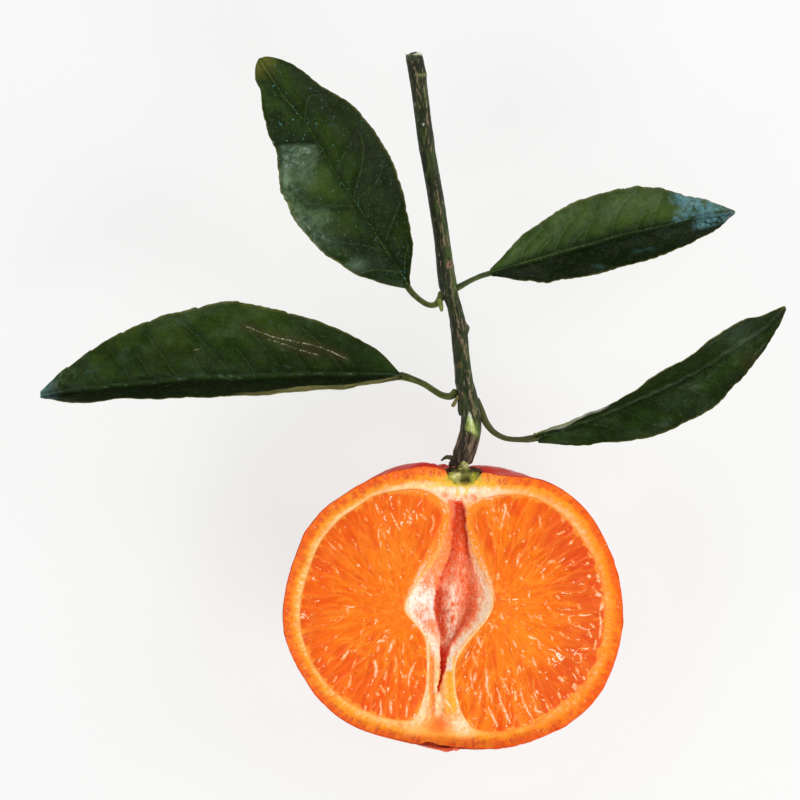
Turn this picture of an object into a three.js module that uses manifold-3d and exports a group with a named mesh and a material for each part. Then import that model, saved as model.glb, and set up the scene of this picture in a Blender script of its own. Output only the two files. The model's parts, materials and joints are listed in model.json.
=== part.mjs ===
// Half a mandarin, cut through its stem axis, with its calyx, a woody twig and four leaves.
// It lies on its skin with the cut face up. Millimetres, +Z up, +Y towards the stem, +X to the right
// of the cut face. The origin is the centre of the small flat spot that the skin rests on.
import * as THREE from 'three';
import { mergeVertices } from 'three/addons/utils/BufferGeometryUtils.js';
import Module from 'manifold-3d';

const wasm = await Module();
wasm.setup();

// ---- driving dimensions, mm and degrees ----
const CUT_HEIGHT = 31.5;        // the cut face above the surface it rests on
const MEAN_RADIUS = 30.82;      // of the cut outline about the fruit's centre
const OUTLINE_COS = [0.434, 2.703, -0.224, -0.497, -0.124, 0.058, 0.025, -0.02, -0.027, 0.113];
const OUTLINE_SIN = [0.176, -0.265, -0.194, 0.089, -0.116, -0.119, 0.022, 0.106, -0.113, 0.057];
const DEPTH_RATIO = 1.0;        // depth behind the cut to its half width
const RIND = 4.0;               // skin, pith and outer membrane at the sides
const SEGMENT_PROUD = 0.3;      // how far the cut segments swell above the skin's cut edge
const DIMPLE_DROP = 1.0;        // how far the skin sinks at the stem
const SHOULDER_RIGHT = 1.5;     // lobes of skin beside the stem that stand above the cut outline
const SHOULDER_LEFT = 0.7;
const GAP = 0.3;                // clearance between neighbouring pieces

const HOLLOW_TOP = 20.4;        // the open core runs along Y between these
const HOLLOW_BOTTOM = -16.0;
const HOLLOW_DEPTH = 7.0;
const CALYX_X = 2.25;           // the calyx sits a little right of the middle
const CALYX_RADIUS = 3.35;
const CALYX_LOW = 23.6;
const CALYX_HIGH = 28.35;

const TWIG_RADIUS = 1.56;
const TWIG_DROP = 1.4;          // the twig's axis behind the cut face at its foot
const LEAF_THICKNESS = 0.8;
const PETIOLE_RADIUS = 0.62;

const RAD = Math.PI / 180;
const clamp01 = (v) => Math.min(1, Math.max(0, v));
const smooth = (a, b, v) => { const t = clamp01((v - a) / (b - a)); return t * t * (3 - 2 * t); };
const bump = (v, centre, width) => Math.exp(-(((v - centre) / width) ** 2));
const V = (x, y, z) => new THREE.Vector3(x, y, z);

// ---- closed meshes and solids ----
function meshOf(points, faces) {
  const geometry = new THREE.BufferGeometry();
  geometry.setAttribute('position', new THREE.Float32BufferAttribute(points.flatMap((p) => [p.x, p.y, p.z]), 3));
  geometry.setIndex(faces);
  return geometry;
}

function solidOf(geometry) {
  const bare = geometry.clone();
  bare.deleteAttribute('normal');
  bare.deleteAttribute('uv');
  const merged = mergeVertices(bare, 1e-5);
  const position = merged.getAttribute('position');
  const index = Array.from(merged.index.array);
  const at = (k) => V(position.getX(k), position.getY(k), position.getZ(k));
  const kept = [];
  let volume = 0;
  for (let k = 0; k < index.length; k += 3) {
    const [a, b, c] = [index[k], index[k + 1], index[k + 2]];
    if (a === b || b === c || a === c) continue;
    kept.push(a, b, c);
    volume += at(a).dot(at(b).clone().cross(at(c)));
  }
  if (volume < 0) for (let k = 0; k < kept.length; k += 3) [kept[k], kept[k + 1]] = [kept[k + 1], kept[k]];
  return new wasm.Manifold(new wasm.Mesh({
    numProp: 3,
    vertProperties: new Float32Array(position.array),
    triVerts: new Uint32Array(kept),
  }));
}

function geometryOf(solid) {
  const mesh = solid.getMesh();
  const geometry = new THREE.BufferGeometry();
  geometry.setAttribute('position', new THREE.BufferAttribute(new Float32Array(mesh.vertProperties), 3));
  geometry.setIndex(new THREE.BufferAttribute(new Uint32Array(mesh.triVerts), 1));
  geometry.computeVertexNormals();
  return geometry;
}

function block(x0, x1, y0, y1, z0, z1) {
  const box = new THREE.BoxGeometry(x1 - x0, y1 - y0, z1 - z0);
  box.translate((x0 + x1) / 2, (y0 + y1) / 2, (z0 + z1) / 2);
  return solidOf(box);
}

// A closed skin through rings of equally many points, with a fan over each end.
function loft(rings) {
  const n = rings[0].length;
  const points = rings.flat();
  const faces = [];
  for (let i = 0; i + 1 < rings.length; i++) {
    for (let j = 0; j < n; j++) {
      const [a, b] = [i * n + j, i * n + ((j + 1) % n)];
      faces.push(a, b, b + n, a, b + n, a + n);
    }
  }
  for (const [ring, start, turn] of [[rings[0], 0, true], [rings.at(-1), (rings.length - 1) * n, false]]) {
    const middle = points.length;
    points.push(ring.reduce((s, p) => s.add(p), V(0, 0, 0)).multiplyScalar(1 / n));
    for (let j = 0; j < n; j++) {
      const [a, b] = [start + j, start + ((j + 1) % n)];
      faces.push(...(turn ? [middle, b, a] : [middle, a, b]));
    }
  }
  return solidOf(meshOf(points, faces));
}

// A round stem of varying radius along a curve.
function stem(curve, steps, sides, radiusAt) {
  const rings = [];
  for (let i = 0; i <= steps; i++) {
    const t = i / steps;
    const centre = curve.getPointAt(t);
    const along = curve.getTangentAt(t);
    const side = V(0, 0, 1).cross(along).normalize();
    const up = along.clone().cross(side).normalize();
    const ring = [];
    for (let j = 0; j < sides; j++) {
      const turn = (2 * Math.PI * j) / sides;
      const r = radiusAt(t, turn);
      ring.push(centre.clone().addScaledVector(side, r * Math.cos(turn)).addScaledVector(up, r * Math.sin(turn)));
    }
    rings.push(ring);
  }
  return loft(rings);
}

// ---- the fruit's skin: meridians about the stem axis, behind the cut face ----
function outline(theta) {
  let r = MEAN_RADIUS;
  for (let k = 0; k < OUTLINE_COS.length; k++) {
    r += OUTLINE_COS[k] * Math.cos((k + 1) * theta) + OUTLINE_SIN[k] * Math.sin((k + 1) * theta);
  }
  const degrees = ((theta / RAD) % 360 + 360) % 360;
  return r - DIMPLE_DROP * bump(degrees, 88, 9)
    - 0.9 * SHOULDER_RIGHT * bump(degrees, 69, 11) - SHOULDER_LEFT * bump(degrees, 110, 9);
}

// latitude from -90 at the blossom end to 90 at the stem; around from 0 at the right of the cut to 180 at its left.
function skin(latitude, around) {
  const right = outline(latitude * RAD);
  const left = outline((180 - latitude) * RAD);
  const share = (1 - Math.cos(around * RAD)) / 2;
  const inside = smooth(0, 16, around) * smooth(0, 16, 180 - around);
  const shoulders = (0.9 * SHOULDER_RIGHT + 0.2) * bump(latitude, 69, 12) * bump(around, 42, 34)
    + (SHOULDER_RIGHT * 0.9) * bump(latitude, 66, 13) * bump(around, 100, 24)
    + (SHOULDER_LEFT + 0.3) * bump(latitude, 68, 12) * bump(around, 148, 26);
  const foot = 0.5 * bump(latitude, -80, 9) * bump(around, 105, 45);
  const r = right * (1 - share) + left * share + inside * (shoulders + foot);
  const flat = r * Math.cos(latitude * RAD);
  return V(flat * Math.cos(around * RAD), r * Math.sin(latitude * RAD),
    CUT_HEIGHT - DEPTH_RATIO * flat * Math.sin(around * RAD));
}

function fruitBody() {
  const rows = 38;
  const columns = 30;
  const points = [V(0, skin(-90, 0).y, CUT_HEIGHT)];
  for (let i = 1; i < rows; i++) {
    for (let j = 0; j <= columns; j++) points.push(skin(-90 + (180 * i) / rows, (180 * j) / columns));
  }
  const stemEnd = points.push(V(0, skin(90, 0).y, CUT_HEIGHT)) - 1;
  const middle = points.push(V(0, 0, CUT_HEIGHT)) - 1;
  const at = (i, j) => (i === 0 ? 0 : i === rows ? stemEnd : 1 + (i - 1) * (columns + 1) + j);
  const faces = [];
  for (let i = 0; i < rows; i++) {
    for (let j = 0; j < columns; j++) {
      const [a, b, c, d] = [at(i, j), at(i, j + 1), at(i + 1, j + 1), at(i + 1, j)];
      if (a !== b) faces.push(a, b, c);
      if (c !== d) faces.push(a, c, d);
    }
    faces.push(middle, at(i, 0), at(i + 1, 0), middle, at(i + 1, columns), at(i, columns));
  }
  return solidOf(meshOf(points, faces));
}

// ---- the two cut segments, swelling a little above the skin's edge ----
// The inner edge of each follows the open core: x at a few stations of y, from the stem downwards.
const INNER_LEFT = new THREE.SplineCurve([[-3.4, 22.3], [-0.9, 18.5], [-2.2, 13.5], [-6.2, 6.8], [-9.2, 1.2], [-7.1, -3.3],
  [-5.1, -9.8], [-5.5, -16.4], [-7.8, -21.6]].map(([x, y]) => new THREE.Vector2(x, y)));
const INNER_RIGHT = new THREE.SplineCurve([[5.6, 20.9], [3.0, 17.6], [4.0, 12.6], [6.4, 6.8], [7.8, 1.2], [5.4, -4.2],
  [1.6, -9.0], [0.9, -15.4], [3.2, -22.4]].map(([x, y]) => new THREE.Vector2(x, y)));

function segmentPad(inner, from, to) {
  const shape = new THREE.Shape();
  const arc = [];
  for (let i = 0; i <= 28; i++) {
    const theta = (from + ((to - from) * i) / 28) * RAD;
    const r = outline(theta) - RIND * (1 + 0.12 * Math.abs(Math.sin(theta)));
    arc.push(new THREE.Vector2(r * Math.cos(theta), r * Math.sin(theta)));
  }
  shape.setFromPoints([...arc, ...inner.getPoints(24)]);
  return solidOf(new THREE.ExtrudeGeometry(shape, { depth: SEGMENT_PROUD + 1, bevelEnabled: false, curveSegments: 1 })
    .translate(0, 0, CUT_HEIGHT - 1));
}

// ---- the open core: a spindle whose walls slope in, with the next segment's edge as a ridge at its back ----
const HOLLOW_LEFT = new THREE.SplineCurve([[-0.6, HOLLOW_TOP], [-0.8, 16.6], [-2.6, 12.0], [-6.4, 6.2], [-8.9, 0.6], [-6.0, -3.6],
  [-3.2, -7.2], [-2.7, -12.0], [-2.5, HOLLOW_BOTTOM]].map(([x, y]) => new THREE.Vector2(x, y)));
const HOLLOW_RIGHT = new THREE.SplineCurve([[2.6, HOLLOW_TOP], [3.0, 16.0], [4.0, 11.5], [6.0, 5.6], [7.2, 0.8], [5.0, -3.2],
  [0.7, -7.4], [-1.5, -12.0], [-2.1, HOLLOW_BOTTOM]].map(([x, y]) => new THREE.Vector2(x, y)));

function edgeAt(curve, y) {
  let low = 0;
  let high = 1;
  for (let k = 0; k < 30; k++) {
    const t = (low + high) / 2;
    if (curve.getPoint(t).y > y) low = t; else high = t;
  }
  return curve.getPoint((low + high) / 2).x;
}

function hollow() {
  const rings = [];
  const steps = 22;
  for (let i = 0; i <= steps; i++) {
    const t = i / steps;
    const y = HOLLOW_TOP - 0.02 + (HOLLOW_BOTTOM - HOLLOW_TOP + 0.04) * t;
    const left = edgeAt(HOLLOW_LEFT, y);
    const right = edgeAt(HOLLOW_RIGHT, y);
    const wide = right - left;
    const middle = (left + right) / 2;
    const deep = HOLLOW_DEPTH * Math.sin(Math.PI * clamp01(0.1 + 0.82 * t)) ** 0.7 * clamp01(0.35 + wide / 12);
    const ring = [];
    // across the mouth, down the right wall, over the ridge at the back and up the left wall
    for (const [across, down] of [[-0.5, -1], [0.5, -1], [0.5, 0], [0.4, 0.25], [0.33, 0.6], [0.22, 1], [0.08, 0.86],
      [-0.08, 0.84], [-0.22, 1], [-0.33, 0.6], [-0.4, 0.25], [-0.5, 0]]) {
      ring.push(V(middle + wide * across, y, CUT_HEIGHT - (down < 0 ? down * 2 : down * deep)));
    }
    rings.push(ring);
  }
  return loft(rings);
}

// ---- the calyx: a five-lobed button, cut through with the fruit ----
function calyxSolid(grow) {
  const sides = 30;
  const profile = [[0.62, CALYX_LOW - grow], [0.9, CALYX_LOW + 0.7], [1.0, CALYX_LOW + 1.9], [1.06, CALYX_LOW + 2.9],
    [0.97, CALYX_LOW + 3.5], [0.72, CALYX_LOW + 4.0], [0.62, CALYX_HIGH + grow]];
  const rings = profile.map(([share, y], k) => {
    const ring = [];
    for (let j = 0; j < sides; j++) {
      const turn = (2 * Math.PI * j) / sides;
      const lobe = 1 + 0.13 * Math.cos(5 * turn + 0.6) * bump(k, 3, 1.4);
      const r = CALYX_RADIUS * share * lobe + grow;
      ring.push(V(CALYX_X + r * Math.cos(turn), y, CUT_HEIGHT - TWIG_DROP * 0.6 + r * Math.sin(turn)));
    }
    return ring;
  });
  return loft(rings);
}

// ---- the twig ----
const TWIG_PATH = new THREE.CatmullRomCurve3([[1.3, 28.65, 0], [2.1, 30.4, 0], [3.35, 34.4, 0.25], [2.9, 38.6, 0.6],
  [2.05, 44.0, 0.9], [1.6, 51.0, 0.9], [0.6, 57.2, 0.7], [-1.1, 63.2, 0.6], [-2.2, 70.0, 0.9], [-3.4, 80.0, 1.5],
  [-5.0, 90.0, 2.2], [-6.4, 99.6, 2.9], [-7.3, 107.9, 3.4]].map(([x, y, z]) => V(x, y, CUT_HEIGHT - TWIG_DROP + z)));

function twigRadius(t, turn, grow) {
  const y = TWIG_PATH.getPointAt(t).y;
  return grow + TWIG_RADIUS + 0.55 * (1 - smooth(29, 38, y)) + 0.2 * bump(y, 59.5, 1.6) + 0.25 * bump(y, 41, 1.8)
    + 0.3 * bump(y, 35.5, 1.6) + 0.16 * bump(y, 104.2, 0.9)
    + 0.07 * Math.sin(3 * turn + 0.12 * y) + 0.04 * Math.sin(5 * turn - 0.3 * y);
}
const twigSolid = (grow) => stem(TWIG_PATH, 56, 10, (t, turn) => twigRadius(t, turn, grow));

// ---- the leaves: a folded blade, its midrib and its petiole ----
const STATIONS = [0, 0.1, 0.2, 0.35, 0.5, 0.65, 0.8, 0.9, 1];
function along(values, t) {
  const curve = new THREE.SplineCurve(values.map((v, k) => new THREE.Vector2(STATIONS[k], v)));
  let low = 0;
  let high = 1;
  for (let k = 0; k < 26; k++) {
    const m = (low + high) / 2;
    if (curve.getPoint(m).x < t) low = m; else high = m;
  }
  return curve.getPoint((low + high) / 2).y;
}

// wide and narrow are how far the two halves reach from the midrib, seen from above, at the stations.
// side is +1 when the wide half lies to the left of the way from base to tip. tilt is the wide half's
// angle to the cut plane, and the narrow half, equally broad, folds up as far as its reach asks.
function leaf({ base, tip, wide, narrow, side, tilt, bow, rise, petiole }) {
  const start = V(...base);
  const end = V(...tip);
  const forward = end.clone().sub(start).setZ(0).normalize();
  const left = V(-forward.y, forward.x, 0).multiplyScalar(side);
  const spine = (t) => start.clone().lerp(end, t).addScaledVector(left, bow * Math.sin(Math.PI * t))
    .add(V(0, 0, rise * Math.sin(Math.PI * t)));
  const surface = (t, s) => {
    const reach = Math.max(0.25, along(wide, t));
    const breadth = reach / Math.cos(tilt * RAD);
    const other = Math.min(breadth * 0.98, Math.max(0.12, along(narrow, t)));
    const angle = s >= 0 ? tilt * RAD : Math.acos(other / breadth);
    const bend = s >= 0 ? 0.25 * Math.abs(s) : 0.18 * (Math.abs(s) - 1);
    const a = angle + bend;
    return spine(t).addScaledVector(left, breadth * s * Math.cos(a)).add(V(0, 0, breadth * Math.abs(s) * Math.sin(a)));
  };
  // rows of the blade along t; across it, from the narrow half's margin over the midrib to the wide one's
  const rows = 18;
  const across = [-1, -0.62, -0.28, 0, 0.28, 0.62, 1];
  const n = across.length;
  const points = [];
  for (let i = 0; i <= rows; i++) {
    const t = 0.004 + (0.992 * i) / rows;
    for (const face of [1, -1]) {
      for (const s of across) {
        const normal = surface(Math.min(1, t + 0.01), s).sub(surface(Math.max(0, t - 0.01), s))
          .cross(surface(t, s + 0.02).sub(surface(t, s - 0.02))).multiplyScalar(side).normalize();
        const half = (LEAF_THICKNESS / 2) * (1 - 0.35 * Math.abs(s));
        const midrib = face < 0 && s === 0 ? 0.5 * (1 - t) : 0;
        points.push(surface(t, s).addScaledVector(normal, face * half - midrib));
      }
    }
  }
  const faces = [];
  const quad = (a, b, c, d) => faces.push(a, b, c, a, c, d);
  for (let i = 0; i < rows; i++) {
    const [here, next] = [i * 2 * n, (i + 1) * 2 * n];
    for (let j = 0; j + 1 < n; j++) {
      quad(here + j, next + j, next + j + 1, here + j + 1);
      quad(here + n + j, here + n + j + 1, next + n + j + 1, next + n + j);
    }
    quad(here, here + n, next + n, next);
    quad(here + n - 1, next + n - 1, next + 2 * n - 1, here + 2 * n - 1);
  }
  const last = rows * 2 * n;
  for (let j = 0; j + 1 < n; j++) {
    quad(j, j + 1, n + j + 1, n + j);
    quad(last + j, last + n + j, last + n + j + 1, last + j + 1);
  }
  const blade = solidOf(meshOf(points, faces));
  const stalk = new THREE.CatmullRomCurve3([...petiole.map((p) => V(...p)), start.clone(),
    ...[0.05, 0.1].map((t) => spine(t).add(V(0, 0, -0.2)))]);
  return blade.add(stem(stalk, 13, 7, (t) => PETIOLE_RADIUS * (1 + 0.3 * bump(t, 0, 0.15) - 0.35 * smooth(0.6, 1, t))));
}

const Z = CUT_HEIGHT;
const LEAVES = {
  leaf_upper_left: {
    base: [-8.68, 62.6, Z - 0.4], tip: [-37.5, 107.2, Z - 1.5],
    wide: [0.8, 5.6, 8.8, 11.2, 11.4, 8.4, 6.0, 3.7, 0.2], narrow: [0.9, 4.7, 7.4, 10.0, 11.2, 8.2, 5.8, 3.6, 0.2],
    side: 1, tilt: 16, bow: 0, rise: 2.0,
    petiole: [[-2.7, 59.6, Z - 1.0], [-4.4, 58.9, Z - 0.8], [-6.0, 59.7, Z - 0.7]],
  },
  leaf_left: {
    base: [-9.85, 45.05, Z - 0.6], tip: [-80.2, 40.6, Z - 3.0],
    wide: [1.1, 6.9, 10.2, 13.4, 14.5, 12.9, 9.3, 5.6, 0.3], narrow: [0.6, 1.55, 2.35, 3.3, 4.0, 3.9, 2.6, 2.6, 0.3],
    side: -1, tilt: -14, bow: 2.3, rise: 2.5,
    petiole: [[0.9, 41.0, Z - 0.7], [-2.05, 41.3, Z - 0.5], [-5.6, 43.6, Z - 0.5]],
  },
  leaf_upper_right: {
    base: [7.51, 65.33, Z - 0.2], tip: [55.1, 77.2, Z + 1.5],
    wide: [0.8, 3.8, 6.1, 8.5, 9.2, 8.8, 5.6, 3.6, 0.3], narrow: [0.7, 3.0, 5.0, 5.9, 6.05, 5.75, 4.5, 3.1, 0.2],
    side: 1, tilt: 6, bow: 0.85, rise: 1.6,
    petiole: [[-0.9, 61.6, Z - 0.7], [1.6, 62.6, Z - 0.5], [4.2, 63.8, Z - 0.4]],
  },
  leaf_lower_right: {
    base: [16.28, 33.15, Z - 0.6], tip: [64.8, 58.7, Z - 2.0],
    wide: [1.1, 3.6, 5.3, 7.7, 8.2, 7.8, 5.6, 3.65, 0.4], narrow: [0.5, 0.65, 1.2, 1.65, 3.1, 2.9, 3.25, 1.8, 0.2],
    side: -1, tilt: -10, bow: 2.7, rise: 1.5,
    petiole: [[3.6, 39.0, Z - 0.8], [5.9, 36.9, Z - 0.6], [7.4, 34.5, Z - 0.6], [9.5, 33.1, Z - 0.6], [13.2, 32.7, Z - 0.6]],
  },
};

// ---- the model ----
const LOOKS = {
  fruit_half: [0xf0851d, 0.45], calyx: [0x6f7a2c, 0.6], twig: [0x4a4a2c, 0.75], leaf_upper_left: [0x1d4422, 0.4],
  leaf_left: [0x18371d, 0.4], leaf_upper_right: [0x214d24, 0.38], leaf_lower_right: [0x1c4220, 0.4],
};
const mandarin = new THREE.Group();
function place(name, solid) {
  const [color, roughness] = LOOKS[name];
  const material = new THREE.MeshStandardMaterial({ color, roughness, metalness: 0 });
  const mesh = new THREE.Mesh(geometryOf(solid), material);
  mesh.name = name;
  mandarin.add(mesh);
}

const keepOut = twigSolid(GAP);
const above = block(-100, 100, -100, 150, CUT_HEIGHT, CUT_HEIGHT + 40);
const fruit = fruitBody()
  .subtract(block(-60, 60, -60, 60, -20, 0))
  .add(segmentPad(INNER_LEFT, 250.5, 99))
  .add(segmentPad(INNER_RIGHT, -80.5, 75.5))
  .subtract(hollow())
  .subtract(calyxSolid(GAP))
  .subtract(keepOut);
place('fruit_half', fruit);
place('calyx', calyxSolid(0).subtract(above).subtract(keepOut));
place('twig', twigSolid(0));
for (const [name, spec] of Object.entries(LEAVES)) place(name, leaf(spec).subtract(keepOut));

export default mandarin;
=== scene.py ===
"""The looks of half a mandarin with its twig and leaves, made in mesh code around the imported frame.

The cut face lies level and looks up. Places on it are given in the 800 by 800 picture frame and turned
into millimetres by one scale, so that every piece keeps its place on the one below it.
"""

import json
import math

import bpy
import numpy as np
from mathutils import Vector
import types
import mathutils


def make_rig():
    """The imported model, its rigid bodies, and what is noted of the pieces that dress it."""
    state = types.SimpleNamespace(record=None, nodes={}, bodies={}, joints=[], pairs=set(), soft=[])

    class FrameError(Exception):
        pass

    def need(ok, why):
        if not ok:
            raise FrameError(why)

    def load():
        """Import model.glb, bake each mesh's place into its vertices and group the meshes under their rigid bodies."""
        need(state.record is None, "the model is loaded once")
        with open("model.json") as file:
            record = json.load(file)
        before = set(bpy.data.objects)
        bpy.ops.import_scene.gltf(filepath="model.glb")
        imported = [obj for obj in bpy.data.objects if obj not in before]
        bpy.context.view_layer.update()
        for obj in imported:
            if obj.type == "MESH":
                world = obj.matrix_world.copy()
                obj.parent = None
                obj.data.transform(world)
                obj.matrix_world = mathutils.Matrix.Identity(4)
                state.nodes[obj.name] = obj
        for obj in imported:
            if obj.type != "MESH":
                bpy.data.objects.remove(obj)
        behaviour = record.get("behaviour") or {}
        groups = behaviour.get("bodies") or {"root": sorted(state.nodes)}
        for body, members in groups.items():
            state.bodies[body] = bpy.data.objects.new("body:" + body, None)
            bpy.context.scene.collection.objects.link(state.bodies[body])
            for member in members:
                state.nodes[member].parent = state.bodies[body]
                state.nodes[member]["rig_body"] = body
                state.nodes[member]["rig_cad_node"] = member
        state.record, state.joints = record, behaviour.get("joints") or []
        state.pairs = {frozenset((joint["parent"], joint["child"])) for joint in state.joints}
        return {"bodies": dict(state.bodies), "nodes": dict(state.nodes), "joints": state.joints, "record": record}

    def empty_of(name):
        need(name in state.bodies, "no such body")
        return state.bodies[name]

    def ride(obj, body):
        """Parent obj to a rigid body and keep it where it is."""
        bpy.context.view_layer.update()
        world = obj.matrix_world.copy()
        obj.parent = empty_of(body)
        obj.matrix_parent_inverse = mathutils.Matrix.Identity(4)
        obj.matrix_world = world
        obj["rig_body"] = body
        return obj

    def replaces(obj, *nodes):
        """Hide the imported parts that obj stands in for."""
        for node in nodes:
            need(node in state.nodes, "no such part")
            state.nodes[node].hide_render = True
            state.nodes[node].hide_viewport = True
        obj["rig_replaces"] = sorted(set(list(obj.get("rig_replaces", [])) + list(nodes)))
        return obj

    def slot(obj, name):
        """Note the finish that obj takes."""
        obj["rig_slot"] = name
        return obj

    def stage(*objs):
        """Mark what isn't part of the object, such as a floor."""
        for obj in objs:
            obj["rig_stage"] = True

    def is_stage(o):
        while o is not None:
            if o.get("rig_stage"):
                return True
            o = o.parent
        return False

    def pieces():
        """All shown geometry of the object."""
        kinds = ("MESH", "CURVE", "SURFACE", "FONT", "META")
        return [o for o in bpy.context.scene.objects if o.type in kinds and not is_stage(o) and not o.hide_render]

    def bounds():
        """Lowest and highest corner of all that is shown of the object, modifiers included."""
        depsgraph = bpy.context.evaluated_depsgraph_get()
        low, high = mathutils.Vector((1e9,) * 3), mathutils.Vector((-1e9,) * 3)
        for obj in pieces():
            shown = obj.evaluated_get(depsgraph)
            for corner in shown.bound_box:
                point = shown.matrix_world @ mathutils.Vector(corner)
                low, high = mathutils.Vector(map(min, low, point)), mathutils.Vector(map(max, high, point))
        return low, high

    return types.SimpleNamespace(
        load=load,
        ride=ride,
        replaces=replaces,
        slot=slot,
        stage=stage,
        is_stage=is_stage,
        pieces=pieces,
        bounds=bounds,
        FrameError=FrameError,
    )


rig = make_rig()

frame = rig.load()
cad_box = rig.bounds()

# ---------------------------------------------------------------- frame of the picture
MM = 0.001
SCALE = 0.195                 # mm for each unit of the picture frame, on the cut face
CX, CY = 452.5, 608.0         # the fruit's centre in the picture frame
CUT = 31.5                    # height of the cut face, mm
MID_X, MID_Y = (400 - CX) * SCALE, (CY - 400) * SCALE
LENS = 200.0
DISTANCE = LENS * 800 * SCALE / 36.0   # mm from the cut face to the camera


def at(px, py):
    """Picture frame to millimetres on the cut face."""
    return (np.asarray(px, float) - CX) * SCALE, (CY - np.asarray(py, float)) * SCALE


def drawn_in(x, y, rise):
    """A point that stands proud of the cut face keeps its place in the picture by moving a little inwards."""
    k = 1 - np.asarray(rise, float) / DISTANCE
    return MID_X + (x - MID_X) * k, MID_Y + (y - MID_Y) * k


# ---------------------------------------------------------------- small maths
def smooth(a, b, v):
    t = np.clip((v - a) / (b - a), 0, 1)
    return t * t * (3 - 2 * t)


def bump(v, centre, width):
    return np.exp(-(((v - centre) / width) ** 2))


def mix(a, b, t):
    t = np.asarray(t, float)
    if np.ndim(t) and (np.ndim(a) > 0 or np.ndim(b) > 0) and (np.shape(a)[-1:] == (3,) or np.shape(b)[-1:] == (3,)):
        t = t[..., None]
    return a * (1 - t) + b * t


def srgb(r, g, b):
    """A colour as seen, 0 to 255, in linear light."""
    c = np.array([r, g, b], float) / 255
    return np.where(c <= 0.04045, c / 12.92, ((c + 0.055) / 1.055) ** 2.4)


def rnd(ix, iy, iz=0, seed=0):
    h = (np.asarray(ix).astype(np.int64) * 73856093) ^ (np.asarray(iy).astype(np.int64) * 19349663)
    h = h ^ (np.asarray(iz).astype(np.int64) * 83492791) ^ (int(seed) * 2654435)
    h = h & 0xFFFFFFFF
    h = ((h ^ (h >> 16)) * 0x45D9F3B) & 0xFFFFFFFF
    h = ((h ^ (h >> 16)) * 0x45D9F3B) & 0xFFFFFFFF
    return (h ^ (h >> 16)) / 4294967296.0


def noise(x, y, z=0.0, seed=0):
    """Smooth noise from -1 to 1 over three coordinates."""
    x, y = np.broadcast_arrays(np.asarray(x, float), np.asarray(y, float))
    z = np.broadcast_to(np.asarray(z, float), x.shape)
    ix, iy, iz = np.floor(x), np.floor(y), np.floor(z)
    fx, fy, fz = x - ix, y - iy, z - iz
    fx, fy, fz = (f * f * f * (f * (f * 6 - 15) + 10) for f in (fx, fy, fz))
    total = 0
    for a in (0, 1):
        for b in (0, 1):
            for c in (0, 1):
                w = (fx if a else 1 - fx) * (fy if b else 1 - fy) * (fz if c else 1 - fz)
                total = total + w * rnd(ix + a, iy + b, iz + c, seed)
    return total * 2 - 1


def fbm(x, y, z=0.0, seed=0, octaves=3, gain=0.5):
    total, size, weight, norm = 0, 1.0, 1.0, 0.0
    for k in range(octaves):
        total = total + weight * noise(np.asarray(x) * size + 7.3 * k, np.asarray(y) * size - 3.1 * k,
                                       np.asarray(z) * size + 1.7 * k, seed + k)
        norm += weight
        size *= 2.03
        weight *= gain
    return total / norm


def cells(u, v, seed=0, jitter=0.9, reach=1):
    """Nearest and second nearest cell seed over (u, v): distances, the offset from the seed and the cell's key."""
    iu, iv = np.floor(u), np.floor(v)
    d1 = np.full(np.shape(u), 9.0)
    d2 = np.full(np.shape(u), 9.0)
    ou, ov = np.zeros(np.shape(u)), np.zeros(np.shape(u))
    ku, kv = np.zeros(np.shape(u)), np.zeros(np.shape(u))
    for a in range(-reach, reach + 1):
        for b in range(-reach, reach + 1):
            cu, cv = iu + a, iv + b
            du = u - (cu + 0.5 + jitter * (rnd(cu, cv, 1, seed) - 0.5))
            dv = v - (cv + 0.5 + jitter * (rnd(cu, cv, 2, seed) - 0.5))
            d = np.sqrt(du * du + dv * dv)
            near = d < d1
            d2 = np.where(near, d1, np.minimum(d2, d))
            d1 = np.where(near, d, d1)
            ou, ov = np.where(near, du, ou), np.where(near, dv, ov)
            ku, kv = np.where(near, cu, ku), np.where(near, cv, kv)
    return d1, d2, ou, ov, ku, kv


def pits(x, y, z, size, seed=0):
    """Distance, in the coordinates' unit, to the nearest of points scattered through space about size apart, and its key."""
    x, y, z = (np.asarray(c, float) / size for c in (x, y, z))
    ix, iy, iz = np.floor(x), np.floor(y), np.floor(z)
    best = np.full(np.shape(x), 9.0)
    key = np.zeros(np.shape(x))
    for a in (-1, 0, 1):
        for b in (-1, 0, 1):
            for c in (-1, 0, 1):
                cx, cy, cz = ix + a, iy + b, iz + c
                d = ((x - cx - 0.15 - 0.7 * rnd(cx, cy, cz, seed)) ** 2 + (y - cy - 0.15 - 0.7 * rnd(cx, cy, cz, seed + 1)) ** 2
                     + (z - cz - 0.15 - 0.7 * rnd(cx, cy, cz, seed + 2)) ** 2)
                near = d < best
                best = np.where(near, d, best)
                key = np.where(near, rnd(cx, cy, cz, seed + 3), key)
    return np.sqrt(best) * size, key


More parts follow.
